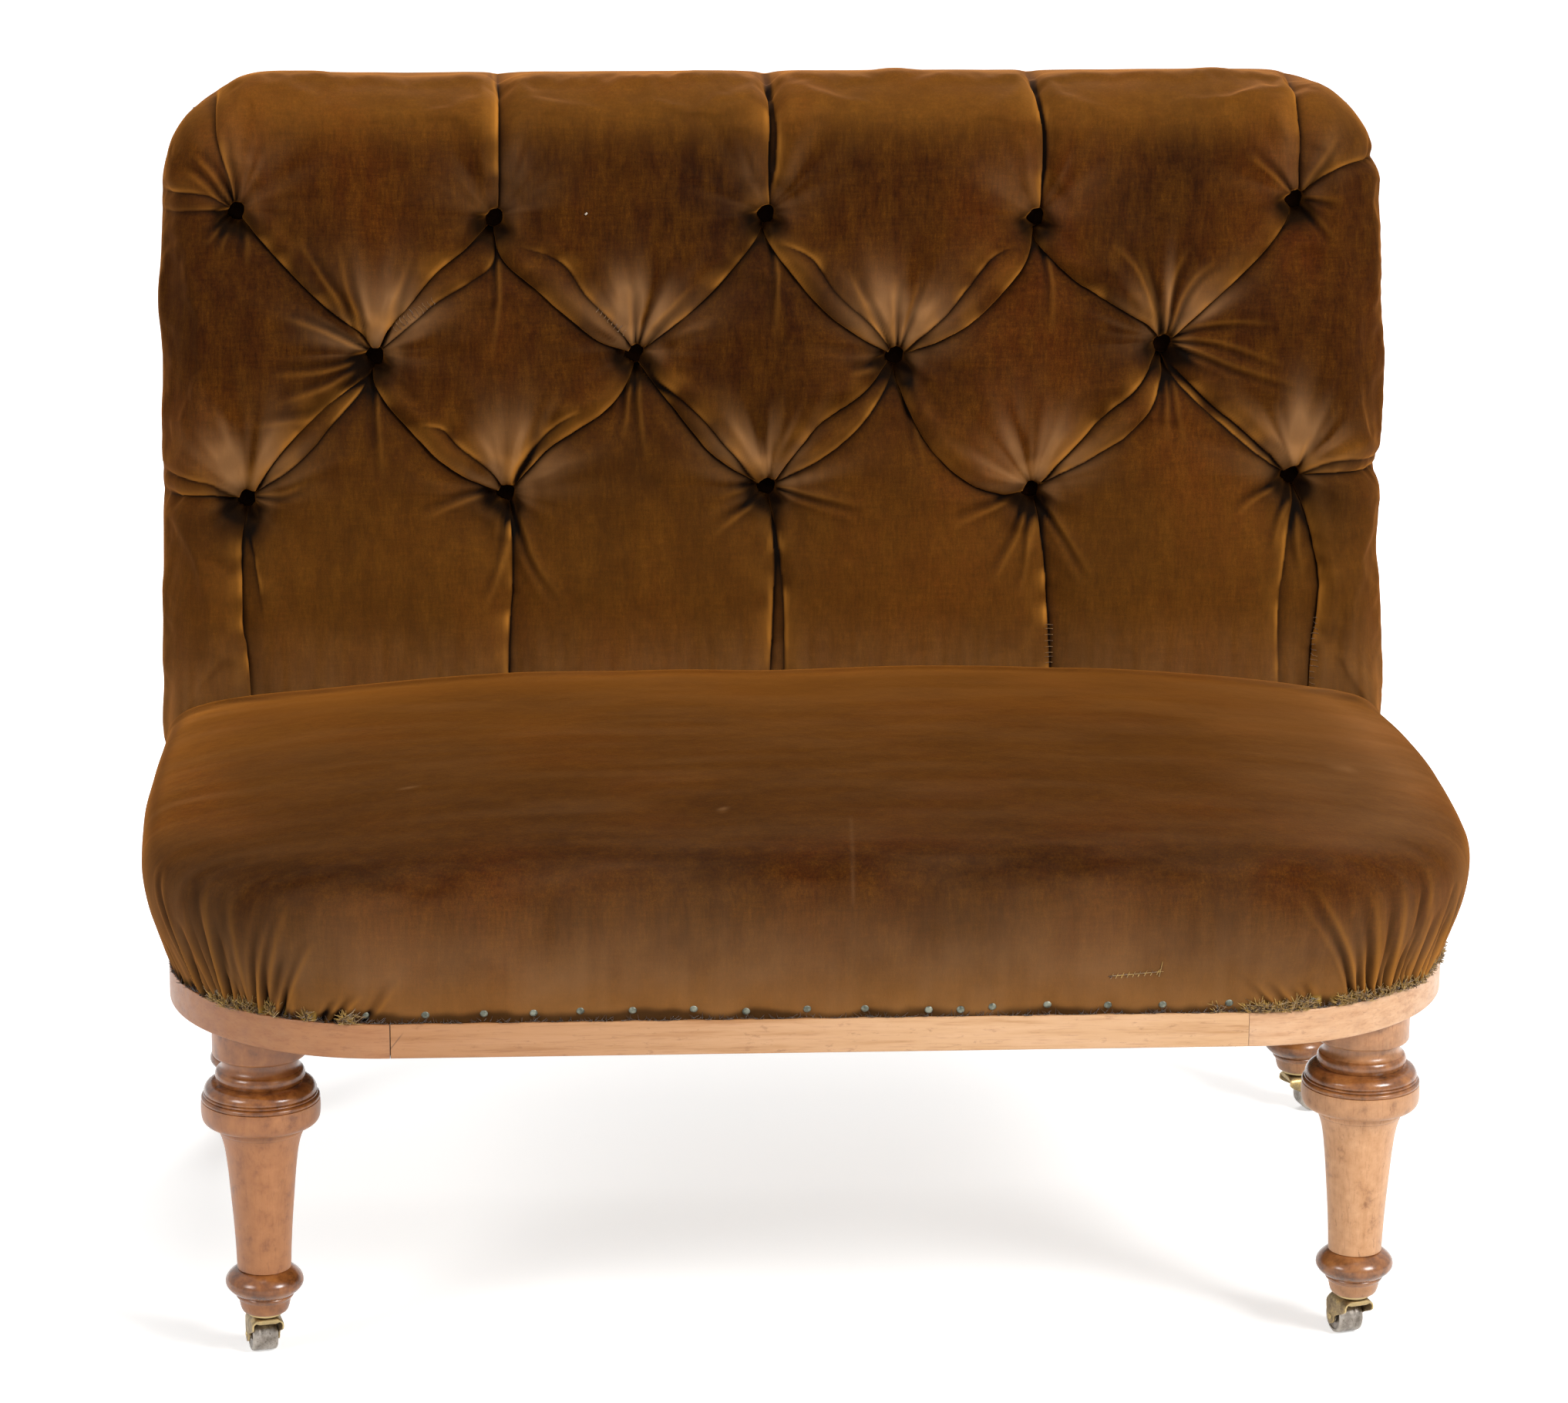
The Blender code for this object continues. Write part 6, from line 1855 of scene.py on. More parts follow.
# each row is three points and a depth, in millimetres
CREASES = tuple(Crease(((a, b), (c, d), (e, f)), deep) for a, b, c, d, e, f, deep in (
    (-363, 352, -363, 299, -362, 245, 3.2), (-253, 465, -255, 406, -263, 354, 2.8),
    (-128, 350, -128, 301, -126, 263, 3.0), (-132, 350, -140, 309, -147, 282, 2.0),
    (-364, 370, -378, 414, -385, 460, 3.0), (-368, 372, -398, 422, -423, 468, 2.4),
    (-354, 372, -334, 412, -320, 444, 2.4), (-366, 362, -407, 387, -441, 401, 2.4),
    (-366, 360, -407, 349, -457, 348, 2.6), (-366, 356, -407, 334, -453, 321, 2.4),
    (-366, 352, -419, 311, -469, 300, 2.6), (-470, 232, -447, 230, -420, 239, 2.2),
    (-250, 236, -282, 233, -325, 216, 2.6), (-240, 246, -221, 275, -213, 302, 2.8),
    (-128, 368, -128, 401, -127, 422, 2.0), (-124, 368, -114, 397, -106, 416, 2.0),
    (-121, 366, -93, 393, -70, 414, 2.4), (-246, 226, -252, 175, -272, 128, 2.8),
    (-240, 226, -226, 174, -201, 134, 3.4), (-14, 240, -36, 239, -55, 235, 1.8), (-13, 232, -40, 215, -63, 200, 2.2),
    (-486, 486, -504, 474, -519, 464, 2.4), (-484, 482, -497, 466, -504, 451, 2.2),
    (-481, 480, -478, 464, -479, 441, 2.2), (-486, 494, -511, 515, -528, 531, 2.4),
    (-484, 497, -501, 525, -518, 546, 2.4), (-479, 498, -486, 536, -489, 566, 2.2),
    (109, 348, 117, 298, 126, 254, 3.0), (102, 355, 79, 346, 63, 344, 2.0), (105, 363, 81, 405, 69, 437, 2.4),
    (108, 364, 109, 401, 113, 428, 2.0), (112, 363, 126, 401, 132, 420, 2.0), (347, 374, 329, 431, 305, 461, 2.2),
    (349, 375, 337, 427, 329, 451, 2.0), (353, 375, 361, 419, 377, 450, 2.4), (356, 373, 377, 415, 401, 435, 2.2),
    (357, 366, 401, 359, 457, 337, 2.4), (357, 362, 409, 339, 470, 319, 2.6), (357, 370, 401, 379, 449, 375, 1.8),
    (352, 356, 356, 312, 360, 268, 2.6), (349, 356, 348, 312, 344, 276, 2.2), (235, 470, 242, 420, 240, 372, 2.6),
    (-8, 474, -4, 420, -10, 370, 2.4), (226, 230, 210, 189, 186, 150, 2.8), (229, 227, 222, 177, 210, 133, 2.4),
    (235, 228, 258, 185, 279, 149, 2.8), (224, 231, 190, 220, 154, 206, 2.4), (-1, 236, 39, 223, 79, 212, 2.6),
    (464, 243, 430, 227, 410, 212, 2.2), (466, 238, 451, 203, 443, 175, 2.2), (470, 236, 467, 187, 473, 147, 2.2),
    (476, 494, 492, 489, 512, 485, 2.6), (474, 488, 486, 470, 500, 452, 2.2), (476, 502, 492, 522, 513, 550, 2.4),
    (464, 501, 446, 523, 424, 541, 2.2), (474, 252, 482, 266, 492, 279, 2.0),
))


# numbers of the lowest row's first and last buttons
LOWEST_LEFT, LOWEST_RIGHT = 9, 13


@dataclass
class TuftedBack:
    """Deep-buttoned velvet back: plump diamonds, pits at the buttons, overlapping pleats and drawn creases."""

    plan: SofaPlan
    edge_round: float = 0.055
    foot_round: float = 0.014
    pit_depth: float = 0.052
    spacing: float = 0.0018
    frame_top: float = 0.587
    frame_radius: float = 0.083
    frame_half: float = 0.521
    pocket: float = 0.0021
    tip: float = 0.031
    roll_length: float = 0.102
    foot_rise: float = 0.010
    pleat_reach: float = 0.050
    crease_reach: float = 0.022
    pleat_valley: float = 0.0095
    pleat_step: float = 0.0085
    pleat_shift: float = 0.0036
    bowl: float = 0.018
    well: float = 0.034
    stitch_half: float = 0.0034
    button_facets: int = 32
    # headings in degrees of painted shadow wedges below some buttons; those buttons also get more crush
    shadow_wedges: dict[int, float] = field(default_factory=lambda: {
        5: -100, 6: -52, 7: -68, 8: -40, **dict.fromkeys(range(LOWEST_LEFT, LOWEST_RIGHT + 1), -80)})
    cloth_cap: float = 0.0055
    noise: LatticeNoise = field(default_factory=lambda: LatticeNoise(21))

    def face_grid(self) -> tuple[Grid, Grid]:
        """Face of the back: even over the flat, by the sine of an even angle over the rolled edges.

        Square corners become quarter circles: each share is multiplied by the root of 1 less half the other squared.
        Returns: places u and v.
        """
        p = self.plan
        half = p.half_rail + p.back_overhang - p.back_taper / 2
        roll = int(self.roll_length / self.spacing)
        turn = self.edge_round * np.sin(np.linspace(0, math.pi / 2, roll + 1)[1:])
        inner = half - self.edge_round
        flat = np.linspace(-inner, inner, int(2 * inner / self.spacing))
        across = np.concatenate([-(inner + turn)[::-1], flat, inner + turn])
        low, high = p.back_low, p.back_height - self.edge_round
        foot = low + self.foot_rise * (1 - np.cos(np.linspace(0, math.pi / 2, 7)[:-1]))
        rise = np.linspace(low + self.foot_rise, high, int((high - low) / self.spacing))
        rows = np.concatenate([foot, rise, high + turn])
        v = np.repeat(rows[:, None], len(across), axis=1)
        width = p.back_half(v)
        u = across[None] * width / half
        radius = p.back_radius
        side = (np.abs(u) - (width - radius)) / radius
        up = (v - (p.back_height - radius)) / radius
        corner = (side > 0) & (up > 0)
        bent_side = side * np.sqrt(np.clip(1 - up ** 2 / 2, 0, 1))
        bent_up = up * np.sqrt(np.clip(1 - side ** 2 / 2, 0, 1))
        return (np.where(corner, np.sign(u) * (width - radius + bent_side * radius), u),
                np.where(corner, p.back_height - radius + bent_up * radius, v))

    def plain_height(self, u: Grid, v: Grid) -> Grid:
        """Untufted face: the pad's depth times the quarter ellipse of the distance inside its outline.

        Args: u; v.
        Returns: height out of the back's frame.
        """
        p = self.plan
        across = np.abs(u) - (p.back_half(v) - p.back_radius)
        up = v - (p.back_height - p.back_radius)
        outside = np.hypot(np.maximum(across, 0), np.maximum(up, 0))
        inside = p.back_radius - outside - np.minimum(np.maximum(across, up), 0)
        risen = np.clip(v / 0.085, 0, 1)
        size = self.foot_round + (self.edge_round - self.foot_round) * risen ** 2
        share = np.clip(inside / size, 0, 1)
        foot = np.clip((v - p.back_low) / self.foot_rise, 0, 1)
        return p.pad_depth * np.sqrt(1 - (1 - share) ** 2) * np.sqrt(1 - 0.9 * (1 - foot) ** 2)

    @staticmethod
    def beside(u: Grid, v: Grid, line: Sequence[Point], reach: float) -> tuple[Grid, Grid, Grid, Grid, Grid]:
        """Places near a smooth line.

        Args: u; v; line in millimetres; reach, how near.
        Returns: numbers of the places, signed distance s, share along the line, the line's normal there, and how
        far a place lies past an end.
        """
        curve = smooth_line(line, 56) / 1000
        low, high = curve.min(axis=0) - reach, curve.max(axis=0) + reach
        near = np.flatnonzero((u > low[0]) & (u < high[0]) & (v > low[1]) & (v < high[1]))
        a, b = u[near], v[near]
        squared = (a[:, None] - curve[None, :, 0]) ** 2 + (b[:, None] - curve[None, :, 1]) ** 2
        best = squared.argmin(axis=1)
        kept = squared[np.arange(len(near)), best] < reach ** 2
        near, best = near[kept], best[kept]
        tangent = unit(np.gradient(curve, axis=0))
        du, dv, tangent = u[near] - curve[best, 0], v[near] - curve[best, 1], tangent[best]
        normal = np.stack([-tangent[:, 1], tangent[:, 0]], axis=1)
        along = du * tangent[:, 0] + dv * tangent[:, 1]
        s = du * normal[:, 0] + dv * normal[:, 1]
        past = np.where(best == 0, np.minimum(along, 0), np.where(best == len(curve) - 1, np.maximum(along, 0), 0))
        return near, s, best / (len(curve) - 1), normal, past

    def tuft(self, u: Grid, v: Grid) -> dict[str, Grid]:
        """Tufting at flat arrays of places.

        A pleat is a broad valley with an edge in it: the cloth on top falls over the line within a few millimetres,
        the cloth below comes out from under it and rises slowly; the top edge is carried over the lower by a shift.
        A crease is a narrow valley between two ridges that fades along its line. A button's pit is a steep round
        well, wider below it and darker there by painted shade, with streaks of crushed pile that fan out above it.
        Args: u; v.
        Returns: heights, shifts and colour values by name, among them painted highlight and painted shade.
        """
        out = {name: np.zeros(len(u)) for name in ("height", "valley", "du", "dv", "lip", "hollow", "crush", "edge")}
        ripple = LatticeNoise(17)
        for pleat in PLEATS:
            near, s, share, normal, past = self.beside(u, v, pleat.line, self.pleat_reach)
            if pleat.over is Overlap.ABOVE:
                side = np.where(normal[:, 1] >= 0, 1.0, -1.0)
            else:
                leftward = -1.0 if pleat.over is Overlap.LEFT else 1.0
                side = np.where(normal[:, 0] * leftward >= 0, 1.0, -1.0)
            t = s * side
            fade = pleat.deep * bell(past, 0, 0.004)
            if pleat.start < 1:
                fade = fade * (pleat.start + (1 - pleat.start) * smooth(0, 0.35, share))
            if pleat.end < 1:
                fade = fade * (pleat.end + (1 - pleat.end) * smooth(1, 0.5, share))
            above = t >= 0
            valley = self.pleat_valley * np.exp(-np.abs(t / np.where(above, 0.019, 0.021)) ** 1.5) * fade
            out["valley"][near] = np.maximum(out["valley"][near], valley)
            edge = np.where(above, np.exp(-np.abs(t / 0.0044) ** 1.8), 1.25 * np.exp(-np.abs(t / 0.0100) ** 1.4))
            out["height"][near] += fade * (-self.pleat_step * edge + 0.0014 * bell(t, 0.010, 0.006))
            shift = -self.pleat_shift * fade * bell(t, 0.0026, 0.0034) * side
            out["du"][near] += shift * normal[:, 0]
            out["dv"][near] += shift * normal[:, 1]
            # painted highlight: a golden glow along the upper side of each fold, patchy along it
            patchy = 0.60 + 1.3 * ripple.at(u[near] / 0.017, v[near] / 0.017)
            glow = 0.34 * bell(t, 0.0024, 0.0016) + 0.24 * np.exp(-np.abs(t) / 0.0075) * above
            out["lip"][near] += np.sqrt(fade) * glow * np.clip(patchy, 0.1, 1.3)
            # place of the fold's upper edge, used below to paint it paler, a painted highlight, near some buttons
            out["edge"][near] += np.sqrt(fade) * bell(t, 0.0028, 0.0024)
            # painted shade: dark in the crease, and broader under the fold
            dark = np.abs((t + 0.0006) / np.where(t > -0.0006, 0.0012, 0.0034)) ** 1.6
            out["hollow"][near] += 0.90 * np.sqrt(fade) * np.exp(-dark)
            out["hollow"][near] += 0.30 * fade * np.exp(-np.abs(t) / 0.012) * ~above
        for crease in CREASES:
            near, s, share, _, past = self.beside(u, v, crease.line, self.crease_reach)
            width = crease.width / 1000 * (0.62 + 0.7 * share)
            fade = (1 - share) ** 0.8 * smooth(0, 0.08, share + 0.03) * bell(past, 0, 0.005)
            t = s / width
            depth = 1.5 * crease.deep / 1000 * fade
            ridges = 0.55 * np.exp(-(t - 1.8) ** 2) + 0.4 * np.exp(-(t + 1.8) ** 2)
            out["height"][near] += depth * (ridges - np.exp(-t ** 2))
            # painted highlight on the crease's upper ridge and painted shade in its valley
            out["lip"][near] += 0.20 * fade * bell(t, 1.5, 0.6)
            out["hollow"][near] += 0.72 * fade * bell(t, 0, 0.8)
        noise = LatticeNoise(3)
        for number, (a, b) in enumerate(self.plan.buttons()):
            du, dv = u - a, v - b
            r = np.hypot(du, dv)
            angle = np.arctan2(dv, du)
            spread = 1 + 0.10 * noise.at(angle * 3.2 + number * 7, np.full_like(r, number * 3.1))
            below = smooth(0.2, -0.8, np.sin(angle + 0.35))
            q = r / (spread * (1 + 0.45 * below))
            bowl = self.bowl * np.exp(-(q / 0.030) ** 1.5) + 0.005 * bell(r, 0, 0.075)
            out["valley"] = np.maximum(out["valley"], bowl)
            out["height"] -= self.well * np.exp(-(q / 0.0125) ** 3.2)
            draw = -(0.0072 - 0.0032 * below) * bell(r, 0.0150, 0.0048) / np.maximum(r, 1e-6)
            out["du"] += draw * du
            out["dv"] += draw * dv
            # painted shade: dark in the pit, darkest in a band down from it, and faintly round it
            out["hollow"] += np.exp(-(q / 0.0138) ** 3) + 0.85 * below * bell(r, 0, 0.027) + 0.25 * bell(r, 0, 0.022)
            # painted shadow: a dark wedge that runs out of the pit at the button's heading
            if number in self.shadow_wedges:
                heading = math.radians(self.shadow_wedges[number])
                along = du * math.cos(heading) + dv * math.sin(heading)
                across = dv * math.cos(heading) - du * math.sin(heading)
                shadow_wedge = bell(along, 0.018, 0.026) * bell(across, 0, 0.0062 - 0.05 * np.clip(along, 0, 0.08))
                out["hollow"] += 0.72 * shadow_wedge * smooth(0.0, 0.006, along)
                # painted highlight: the folds' upper edges paler near these buttons
                out["crush"] += 0.75 * out["edge"] * bell(r, 0, 0.042) * smooth(-0.004, 0.006, dv)
            # painted shadow below the outer pleat beside the lowest row's end buttons
            if number in (LOWEST_LEFT, LOWEST_RIGHT):
                outer = 1 if number == LOWEST_RIGHT else -1
                shade = np.exp(-((du - outer * 0.034) / 0.036) ** 2 - ((dv + 0.030) / 0.030) ** 2)
                out["hollow"] += 0.42 * shade * smooth(-0.002, -0.012, dv)
            streaks = noise.layered(angle * 4.5 + number, np.full_like(r, number * 5.3) + r / 0.09, 2)
            puff = np.exp(-(((du - 0.002) / 0.040) ** 2 + ((dv - 0.030) / 0.030) ** 2) ** 1.1)
            high = np.exp(-((du / 0.060) ** 2 + ((dv - 0.045) / 0.042) ** 2))
            share = 0.72 if number in self.shadow_wedges else 0.18
            out["crush"] += share * np.clip(puff * (0.70 + 0.75 * streaks) + high * (0.12 + 0.30 * streaks), 0, 1)
            out["crush"] += share * 0.35 * (1 - below) * bell(r, 0.018, 0.006) * bell(dv, 0, 0.05)
        return out

    def drawn_places(self) -> tuple[Grid, Grid, Grid]:
        """Places of the face, drawn closer along each pleat, so that its edge is sharp: by -0.42 s exp(-(s / 8 mm)^2).

        Returns: u, v, and how loose the cloth is there, from 0 on the rolled edges to 1.
        """
        u, v = self.face_grid()
        shape, (u, v) = u.shape, (u.ravel().copy(), v.ravel().copy())
        loose = smooth(0.15, 0.6, np.clip(self.plain_height(u, v) / self.plan.pad_depth, 0, 1))
        for pleat in PLEATS:
            near, s, _, normal, past = self.beside(u, v, pleat.line, 0.020)
            drawn = -0.42 * s * bell(s, 0, 0.008) * bell(past, 0, 0.004) * loose[near]
            u[near] += drawn * normal[:, 0]
            v[near] += drawn * normal[:, 1]
        return u.reshape(shape), v.reshape(shape), loose.reshape(shape)

    def face(self, u: Grid, v: Grid, loose: Grid, tuft: dict[str, Grid]) -> tuple[Grid, Grid]:
        """Face of the cover: the plain pad, pushed out along its normals by tufts and plump stuffing, and swollen.

        Args: u; v; loose, where the cloth may shift; tuft, the tufting's values there.
        Returns: points and normals.
        """
        p = self.plan
        height = self.plain_height(u, v)
        share = np.clip(height / p.pad_depth, 0, 1)
        base = p.on_back(u, v, height)
        normal = grid_normals(base)
        if normal[normal.shape[0] // 2, normal.shape[1] // 2, 1] > 0:
            normal = -normal
        corner = np.hypot(p.back_half(v) - self.tip - np.abs(u), p.back_height - self.tip - v)
        edge = (1 - smooth(0.0, 0.8, share)) * (1 - smooth(0.050, 0.030, corner))
        rest = smooth(0.0, 0.10, v)
        plump = sum(size * self.noise.layered(u / wide, v / high, 2) for size, wide, high in (
            (0.0050 * edge, 0.058, 0.058), (0.0020, 0.11, 0.10), (0.0005, 0.018, 0.022)))
        push = tuft["height"] - tuft["valley"] + plump * rest + 0.0015 * (rest - 1)
        near = np.min([np.hypot(u - a, v - b) for a, b in p.buttons()], axis=0)
        # a pit is never deeper than its button, or it would come out at the rear
        lowest = np.where(near < 0.035, -self.pit_depth - 0.001, -1.0)
        face = base + normal * np.maximum(push * (0.55 + 0.45 * smooth(0.0, 0.5, share)), lowest)[..., None]
        du, dv = tuft["du"] * loose, tuft["dv"] * loose
        face += np.stack([du, dv * math.sin(p.rake), dv * math.cos(p.rake)], axis=-1)
        held = np.maximum(smooth(0.022, 0.012, near), smooth(0.35, 0.15, height / p.pad_depth))
        held = np.clip(np.maximum(held, 0.5 * tuft["hollow"]), 0, 1)
        held[[0, -1]], held[:, [0, -1]] = 1.0, 1.0
        held = np.maximum(held, smooth(0.045, 0.030, corner))
        face = face + billowed(face[:, ::-1], held[:, ::-1], self.cloth_cap, (3, 3))[:, ::-1]
        face[..., 2] = np.maximum(face[..., 2], p.ledge + p.gap)
        return face, normal

    def closed(self, face: Grid, u: Grid, v: Grid, values: dict[str, Grid]) -> Shape:
        """Close the face behind: sides straight to the rear, and a pocket that the back's frame sits in.

        Args: face; its places u and v; its values.
        Returns: a closed shape.
        """
        p = self.plan
        rows, columns = u.shape
        loop = np.concatenate([
            np.arange(columns), columns - 1 + columns * np.arange(1, rows),
            (rows - 1) * columns + np.arange(columns - 2, -1, -1), columns * np.arange(rows - 2, 0, -1)])
        rim, rim_u, rim_v = face.reshape(-1, 3)[loop], u.ravel()[loop], v.ravel()[loop]
        plain = p.on_back(rim_u, rim_v, 0.0)
        backward = p.on_back(0.0, 0.0, -1.0) - p.on_back(0.0, 0.0, 0.0)
        rings = [plain + (rim - plain) * (1 - 0.8 * share) + backward * p.post_depth * share
                 for share in np.linspace(0, 1, 12)[1:]]
        reach, top, turn = self.frame_half + p.gap, self.frame_top + p.gap, self.frame_radius + p.gap
        over_u = np.abs(rim_u) - (p.back_half(rim_v) - p.back_radius)
        over_v = rim_v - (p.back_height - p.back_radius)
        angle = np.arctan2(np.maximum(over_v, 0), np.maximum(over_u, 0))
        arc = (over_u > 0) & (over_v > 0)
        pocket_u = np.where(arc, np.sign(rim_u) * (reach - turn + turn * np.cos(angle)), np.clip(rim_u, -reach, reach))
        pocket_v = np.where(arc, top - turn + turn * np.sin(angle), np.minimum(rim_v, top))
        rings = np.array(rings + [p.on_back(pocket_u, pocket_v, w) for w in (-p.post_depth, self.pocket)])
        rings[..., 2] = np.maximum(rings[..., 2], p.ledge + p.gap)
        points = np.concatenate([face.reshape(-1, 3), rings.reshape(-1, 3), rings[-1:].mean(axis=1)])
        start, around = rows * columns, len(loop)
        here = np.arange(around)
        there = (here + 1) % around
        first = np.stack([loop[there], loop[here], start + here, start + there], axis=1)
        walls = start + grid_quads(len(rings), around, closed_columns=True)[:, ::-1]
        last = start + (len(rings) - 1) * around
        fan = np.stack([last + there, last + here, np.full(around, len(points) - 1)], axis=1)
        full = {}
        for name, value in values.items():
            value = np.clip(value, 0, 1).ravel()
            full[name] = np.concatenate([value, np.tile(value[loop] * 0.5, len(rings)), [0.0]])
        return Shape(points, np.concatenate([grid_quads(rows, columns), first, walls]), fan, full).outward()

    def build(self) -> None:
        u, v, loose = self.drawn_places()
        tuft = {name: value.reshape(u.shape) for name, value in self.tuft(u.ravel(), v.ravel()).items()}
        face, normal = self.face(u, v, loose, tuft)
        fine = self.noise.layered(u / 0.006, v / 0.05, 2)
        top = self.plan.back_height
        # painted highlight: more golden along the top roll and over the lower part of the back
        values = {"crush": tuft["crush"] + smooth(0.135, 0.05, v) * (0.20 + 0.06 * fine),
                  "lip": tuft["lip"] + 0.11 * smooth(top - 0.085, top - 0.02, v) + 0.07 * smooth(0.36, 0.16, v),
                  "hollow": tuft["hollow"]}
        piece = add_piece("back_cover", self.closed(face, u, v, values), VELVET, ["back_pad"], crease=None)
        self.stitches(face, normal, u, v)
        self.buttons()

    def stitches(self, face: Grid, normal: Grid, u: Grid, v: Grid) -> None:
        """Short hand stitches that hold four pleats down, and a fleck of lint.

        Args: face, points of the cover; their normals; their places u and v.
        """
        runs = (((-0.344, 0.384), (-0.309, 0.408), 11), ((-0.162, 0.397), (-0.138, 0.378), 8),
                ((0.2445, 0.030), (0.2440, 0.110), 17), ((0.4880, 0.045), (0.4915, 0.115), 15))
        paths = []
        for (a, b), (c, d), count in runs:
            length = math.hypot(c - a, d - b)
            side = np.array([-(d - b), c - a]) / length
            for share in np.linspace(0, 1, count):
                middle = np.array([a + (c - a) * share, b + (d - b) * share])
                paths.append(middle + side * np.linspace(-self.stitch_half, self.stitch_half, 7)[:, None])
        paths.append(np.linspace((-0.1725, 0.4825), (-0.1690, 0.4850), 7))
        flat = np.array(paths)
        near = [int(np.argmin((u - a) ** 2 + (v - b) ** 2)) for a, b in flat.reshape(-1, 2)]
        surface = face.reshape(-1, 3)[near] + normal.reshape(-1, 3)[near] * 0.0004
        surface = surface.reshape(*flat.shape[:2], 3)
        surface[:, 1:-1] = (surface[:, :-2] + 2 * surface[:, 1:-1] + surface[:, 2:]) / 4
        add_piece("back_hand_stitches", strands(surface[:-1], 0.00038), STITCH_YARN, crease=None)
        add_piece("back_lint", strands(surface[-1:], 0.0011), LINT, crease=None)

    def buttons(self) -> None:
        """Fourteen velvet-covered buttons: a low dome turned about the line out of the back."""
        p = self.plan
        low = p.pad_depth - self.pit_depth + p.gap
        profile = np.array([(0.0088, 0.0), (0.0102, 0.0007), (0.0108, 0.0020), (0.0104, 0.0034), (0.0090, 0.0047),
                            (0.0066, 0.0056), (0.0036, 0.0060), (0.0012, 0.0061)])
        turn = round_angles(self.button_facets)
        for number, (a, b) in enumerate(p.buttons(), start=1):
            u = a + profile[:, :1] * np.cos(turn)
            v = b + profile[:, :1] * np.sin(turn)
            node = f"back_button_{number:02d}"
            # painted shade: the buttons sit deep in their pits, so they are painted dark
            shape = skinned(p.on_back(u, v, low + profile[:, 1:]), {"hollow": np.full(u.shape, 0.80)})
            add_piece(f"{node}_covered", shape, VELVET, [node], crease=None)


@dataclass
class OutsideBack:
    """Velvet stretched over the back's rear face: upright behind the rail, then raked, with rounded top corners."""

    plan: SofaPlan
    thickness: float = 0.0016
    inset: float = 0.008

    def build(self) -> None:
        """Make the sheet: rows up the slope, columns across, drawn in a little between its tacks."""
        p = self.plan
        top, turn = p.back_height - self.inset, p.back_radius - self.inset
        quarter = np.linspace(0, math.pi / 2, 30)[1:]
        rows = np.concatenate([np.linspace(p.back_low, top - turn, 90), top - turn + turn * np.sin(quarter)])
        place = p.on_back(0.0, rows, -p.post_depth - p.gap - self.thickness)
        height = np.maximum(place[:, 2], p.ledge + p.gap)
        depth = np.maximum(place[:, 1], p.rear - p.rebate + p.gap + self.thickness)
        straight = float(p.back_half(top - turn)) - self.inset
        arc = np.sqrt(np.clip(turn ** 2 - np.clip(rows - (top - turn), 0, turn) ** 2, 0, None))
        half = np.where(rows > top - turn, straight - turn + arc, p.back_half(rows) - self.inset)
        across = np.sin(np.linspace(-math.pi / 2, math.pi / 2, 150)) * 0.35 + np.linspace(-1, 1, 150) * 0.65
        x, v = half[:, None] * across[None], rows[:, None]
        noise = LatticeNoise(44)
        edge = np.minimum(half[:, None] - np.abs(x), top - v)
        pucker = 0.0006 * noise.at(x / 0.02 + 50, v / 0.02) * smooth(0.05, 0.0, edge)
        slack = -0.0007 * smooth(0.0, 0.12, edge) + 0.0006 * noise.layered(x / 0.2, v / 0.2, 2) * smooth(0, 0.05, edge)
        y = depth[:, None] + np.maximum(pucker + slack, -0.0007)
        grid = np.stack([x, y, np.broadcast_to(height[:, None], x.shape)], axis=-1)
        shape = Shape(grid.reshape(-1, 3), grid_quads(*x.shape)[:, ::-1])
        piece = add_piece("outside_back_velvet", shape, VELVET, ["outside_back"], crease=None)
        thicken(piece, self.thickness)


# ---------------------------------------------------------------- studio


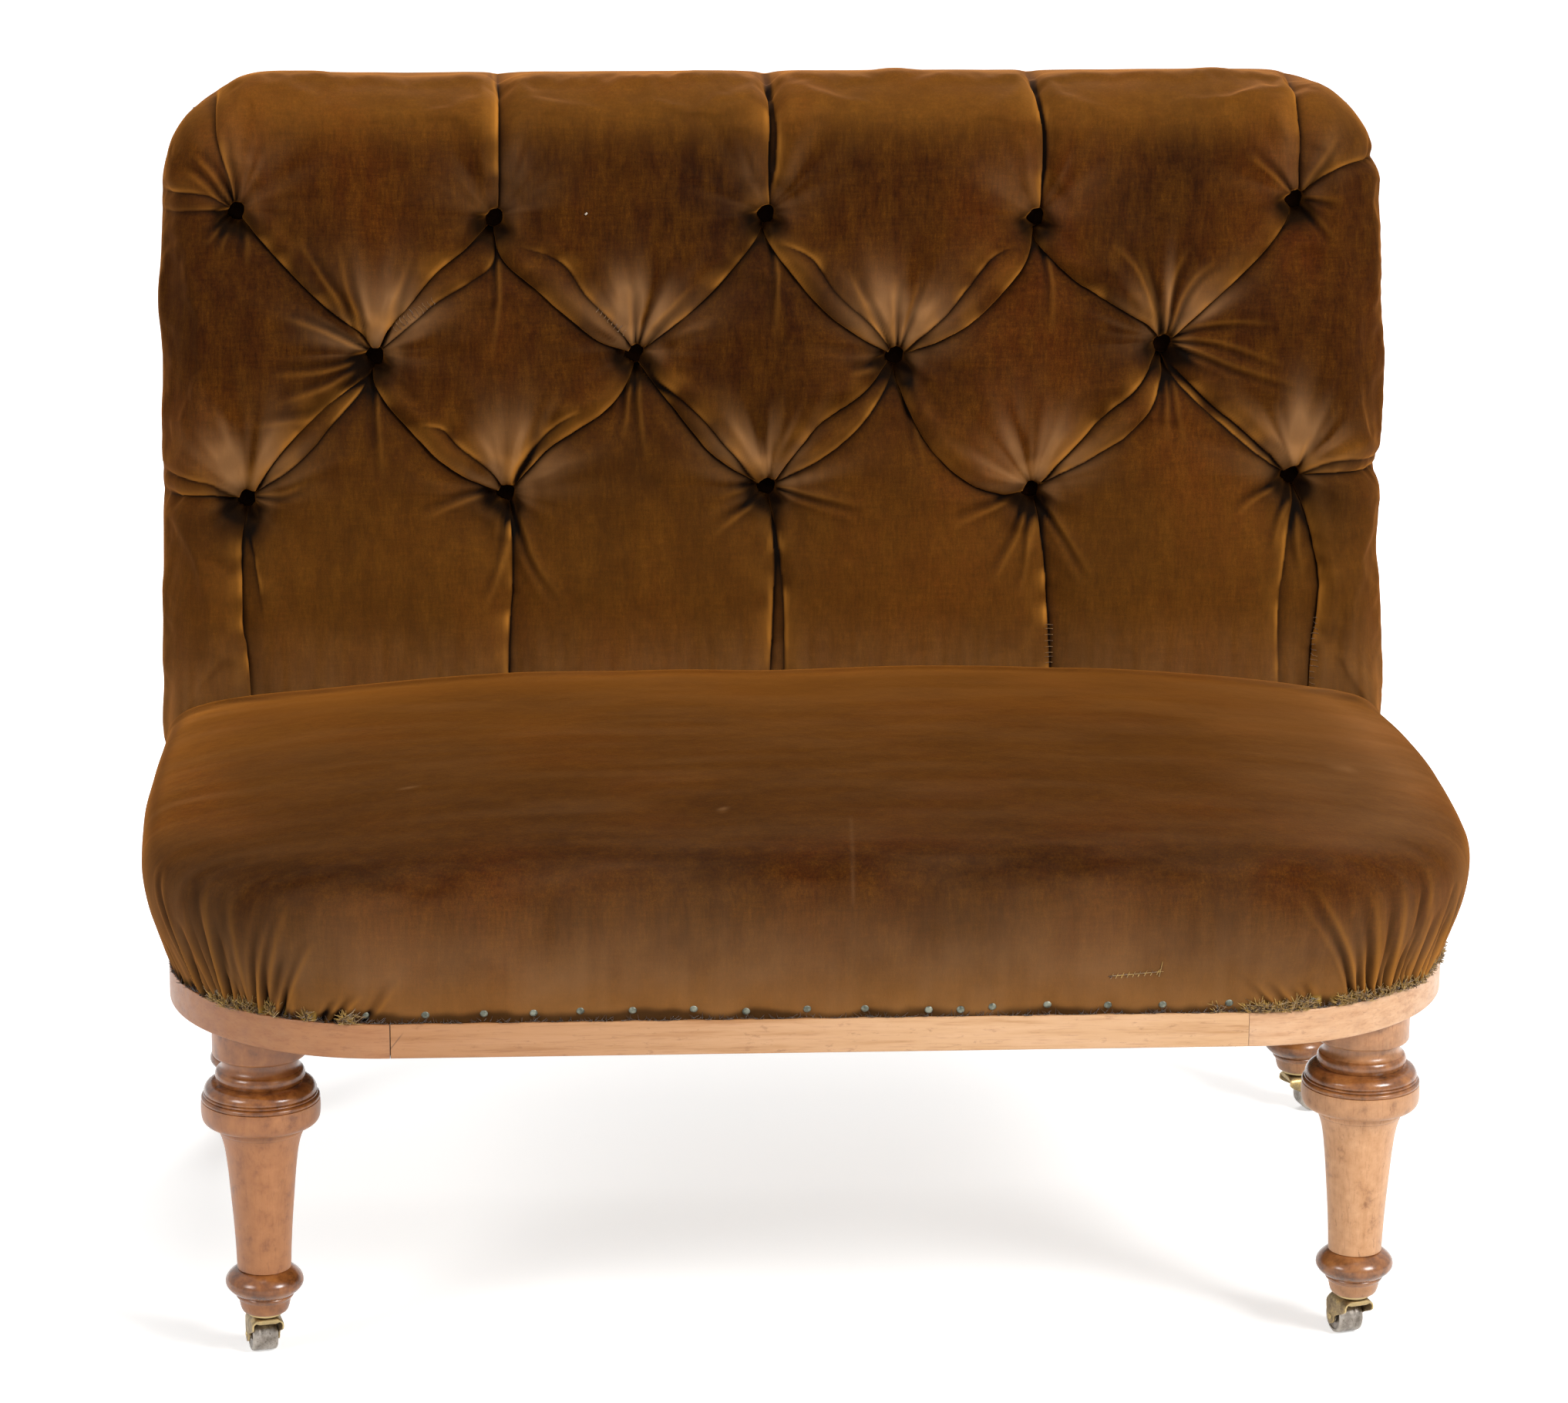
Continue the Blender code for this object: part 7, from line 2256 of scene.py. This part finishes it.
@dataclass
class Studio:
    """White paper floor, soft lamps at a plain level, and the camera at the photograph's place."""

    place: Place = (-0.275, -4.49106, 1.7281)
    pitch: float = math.radians(15.55)
    yaw: float = math.radians(3.39)
    roll: float = math.radians(-0.30)
    focal_px: float = 7033.0
    width_px: float = 2034.0
    sensor: float = 36.0
    middle: Place = (0.0, 0.0, 0.5)
    lamps: tuple[tuple[str, Place, float, float], ...] = (
        ("key_lamp", (2.6, -2.6, 2.6), 1.3, 150.0), ("fill_lamp", (-2.9, -2.4, 2.4), 1.3, 62.0),
        ("top_lamp", (0.0, -0.2, 3.0), 1.6, 34.0), ("rear_lamp", (0.5, 3.4, 2.6), 2.0, 70.0))

    @staticmethod
    def set_up(name: str, data: bpy.types.ID, axes: Sequence[Grid], place: Place) -> bpy.types.Object:
        """Put a camera or a lamp into the scene.

        Args: name; data; axes, where its own X, Y and Z point; place.
        Returns: the new object.
        """
        thing = bpy.data.objects.new(name, data)
        thing.matrix_world = Matrix([*np.column_stack([*axes, np.array(place)]).tolist(), [0, 0, 0, 1]])
        bpy.context.scene.collection.objects.link(thing)
        return thing

    def camera(self) -> None:
        """Camera by position, pitch, yaw and roll: forward F, right R and down D make its axes."""
        forward = np.array([math.sin(self.yaw) * math.cos(self.pitch), math.cos(self.yaw) * math.cos(self.pitch),
                            -math.sin(self.pitch)])
        right = np.cross(forward, UPWARD)
        right = unit(right)
        down = np.cross(forward, right)
        turned = math.cos(self.roll) * right + math.sin(self.roll) * down
        dropped = -math.sin(self.roll) * right + math.cos(self.roll) * down
        data = bpy.data.cameras.new("studio_camera")
        data.sensor_width = self.sensor
        data.lens = self.focal_px * self.sensor / self.width_px
        data.clip_end = 50.0
        bpy.context.scene.camera = self.set_up("studio_camera", data, (turned, -dropped, -forward), self.place)

    def lamp(self, name: str, place: Place, size: float, power: float) -> None:
        """A square soft lamp aimed at the sofa's middle.

        Args: name; place; size of its side; power in watts.
        """
        data = bpy.data.lights.new(name, "AREA")
        data.shape, data.size, data.energy = "SQUARE", size, power
        away = np.array(place) - np.array(self.middle)
        away = unit(away)
        side = np.cross(UPWARD, away)
        side = unit(side)
        self.set_up(name, data, (side, np.cross(away, side), away), place)

    def world(self) -> None:
        """Soft grey surroundings that light the object, white to the camera and in reflections."""
        world = bpy.data.worlds.new("studio_surround")
        world.use_nodes = True
        bpy.context.scene.world = world
        tree = world.node_tree
        clear, *others = (add_node(tree, "LightPath", out=f"Is {ray} Ray")
                          for ray in ("Camera", "Glossy", "Transmission"))
        for ray in others:
            clear = add_node(tree, "Math", {0: clear, 1: ray}, operation="MAXIMUM")
        strength = add_node(tree, "MapRange", {0: clear, 3: 0.22, 4: 1.0})
        fill(tree, tree.nodes["Background"], {"Color": "#ffffff", "Strength": strength})

    def floor(self) -> None:
        """A wide sheet of paper under the castors."""
        reach = np.linspace(-9.0, 9.0, 13)
        x, y = np.meshgrid(reach, reach)
        points = np.stack([x, y, np.full_like(x, -0.0003)], axis=-1).reshape(-1, 3)
        mesh = add_mesh("studio_floor", Shape(points, grid_quads(13, 13)))
        mesh.materials.append(StudioFloor().make())
        floor = bpy.data.objects.new("studio_floor", mesh)
        bpy.context.scene.collection.objects.link(floor)

    def build(self) -> None:
        """Set the studio up round the sofa."""
        bpy.context.scene.view_settings.view_transform = "Standard"
        self.camera()
        self.world()
        self.floor()
        for lamp in self.lamps:
            self.lamp(*lamp)


def main() -> None:
    """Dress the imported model, piece by piece, in its studio."""
    logging.basicConfig(level=logging.INFO, format="%(name)s: %(message)s")
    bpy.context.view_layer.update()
    suspension = SeatSuspension(PLAN)
    for part in (Studio(), ShowWoodFrame(PLAN), TurnedLegs(PLAN), Castors(PLAN), suspension, BackFrame(PLAN),
                 SeatCover(PLAN, suspension), TuftedBack(PLAN), OutsideBack(PLAN)):
        log.info("building %s", type(part).__name__)
        part.build()


if __name__ == "__main__":
    main()
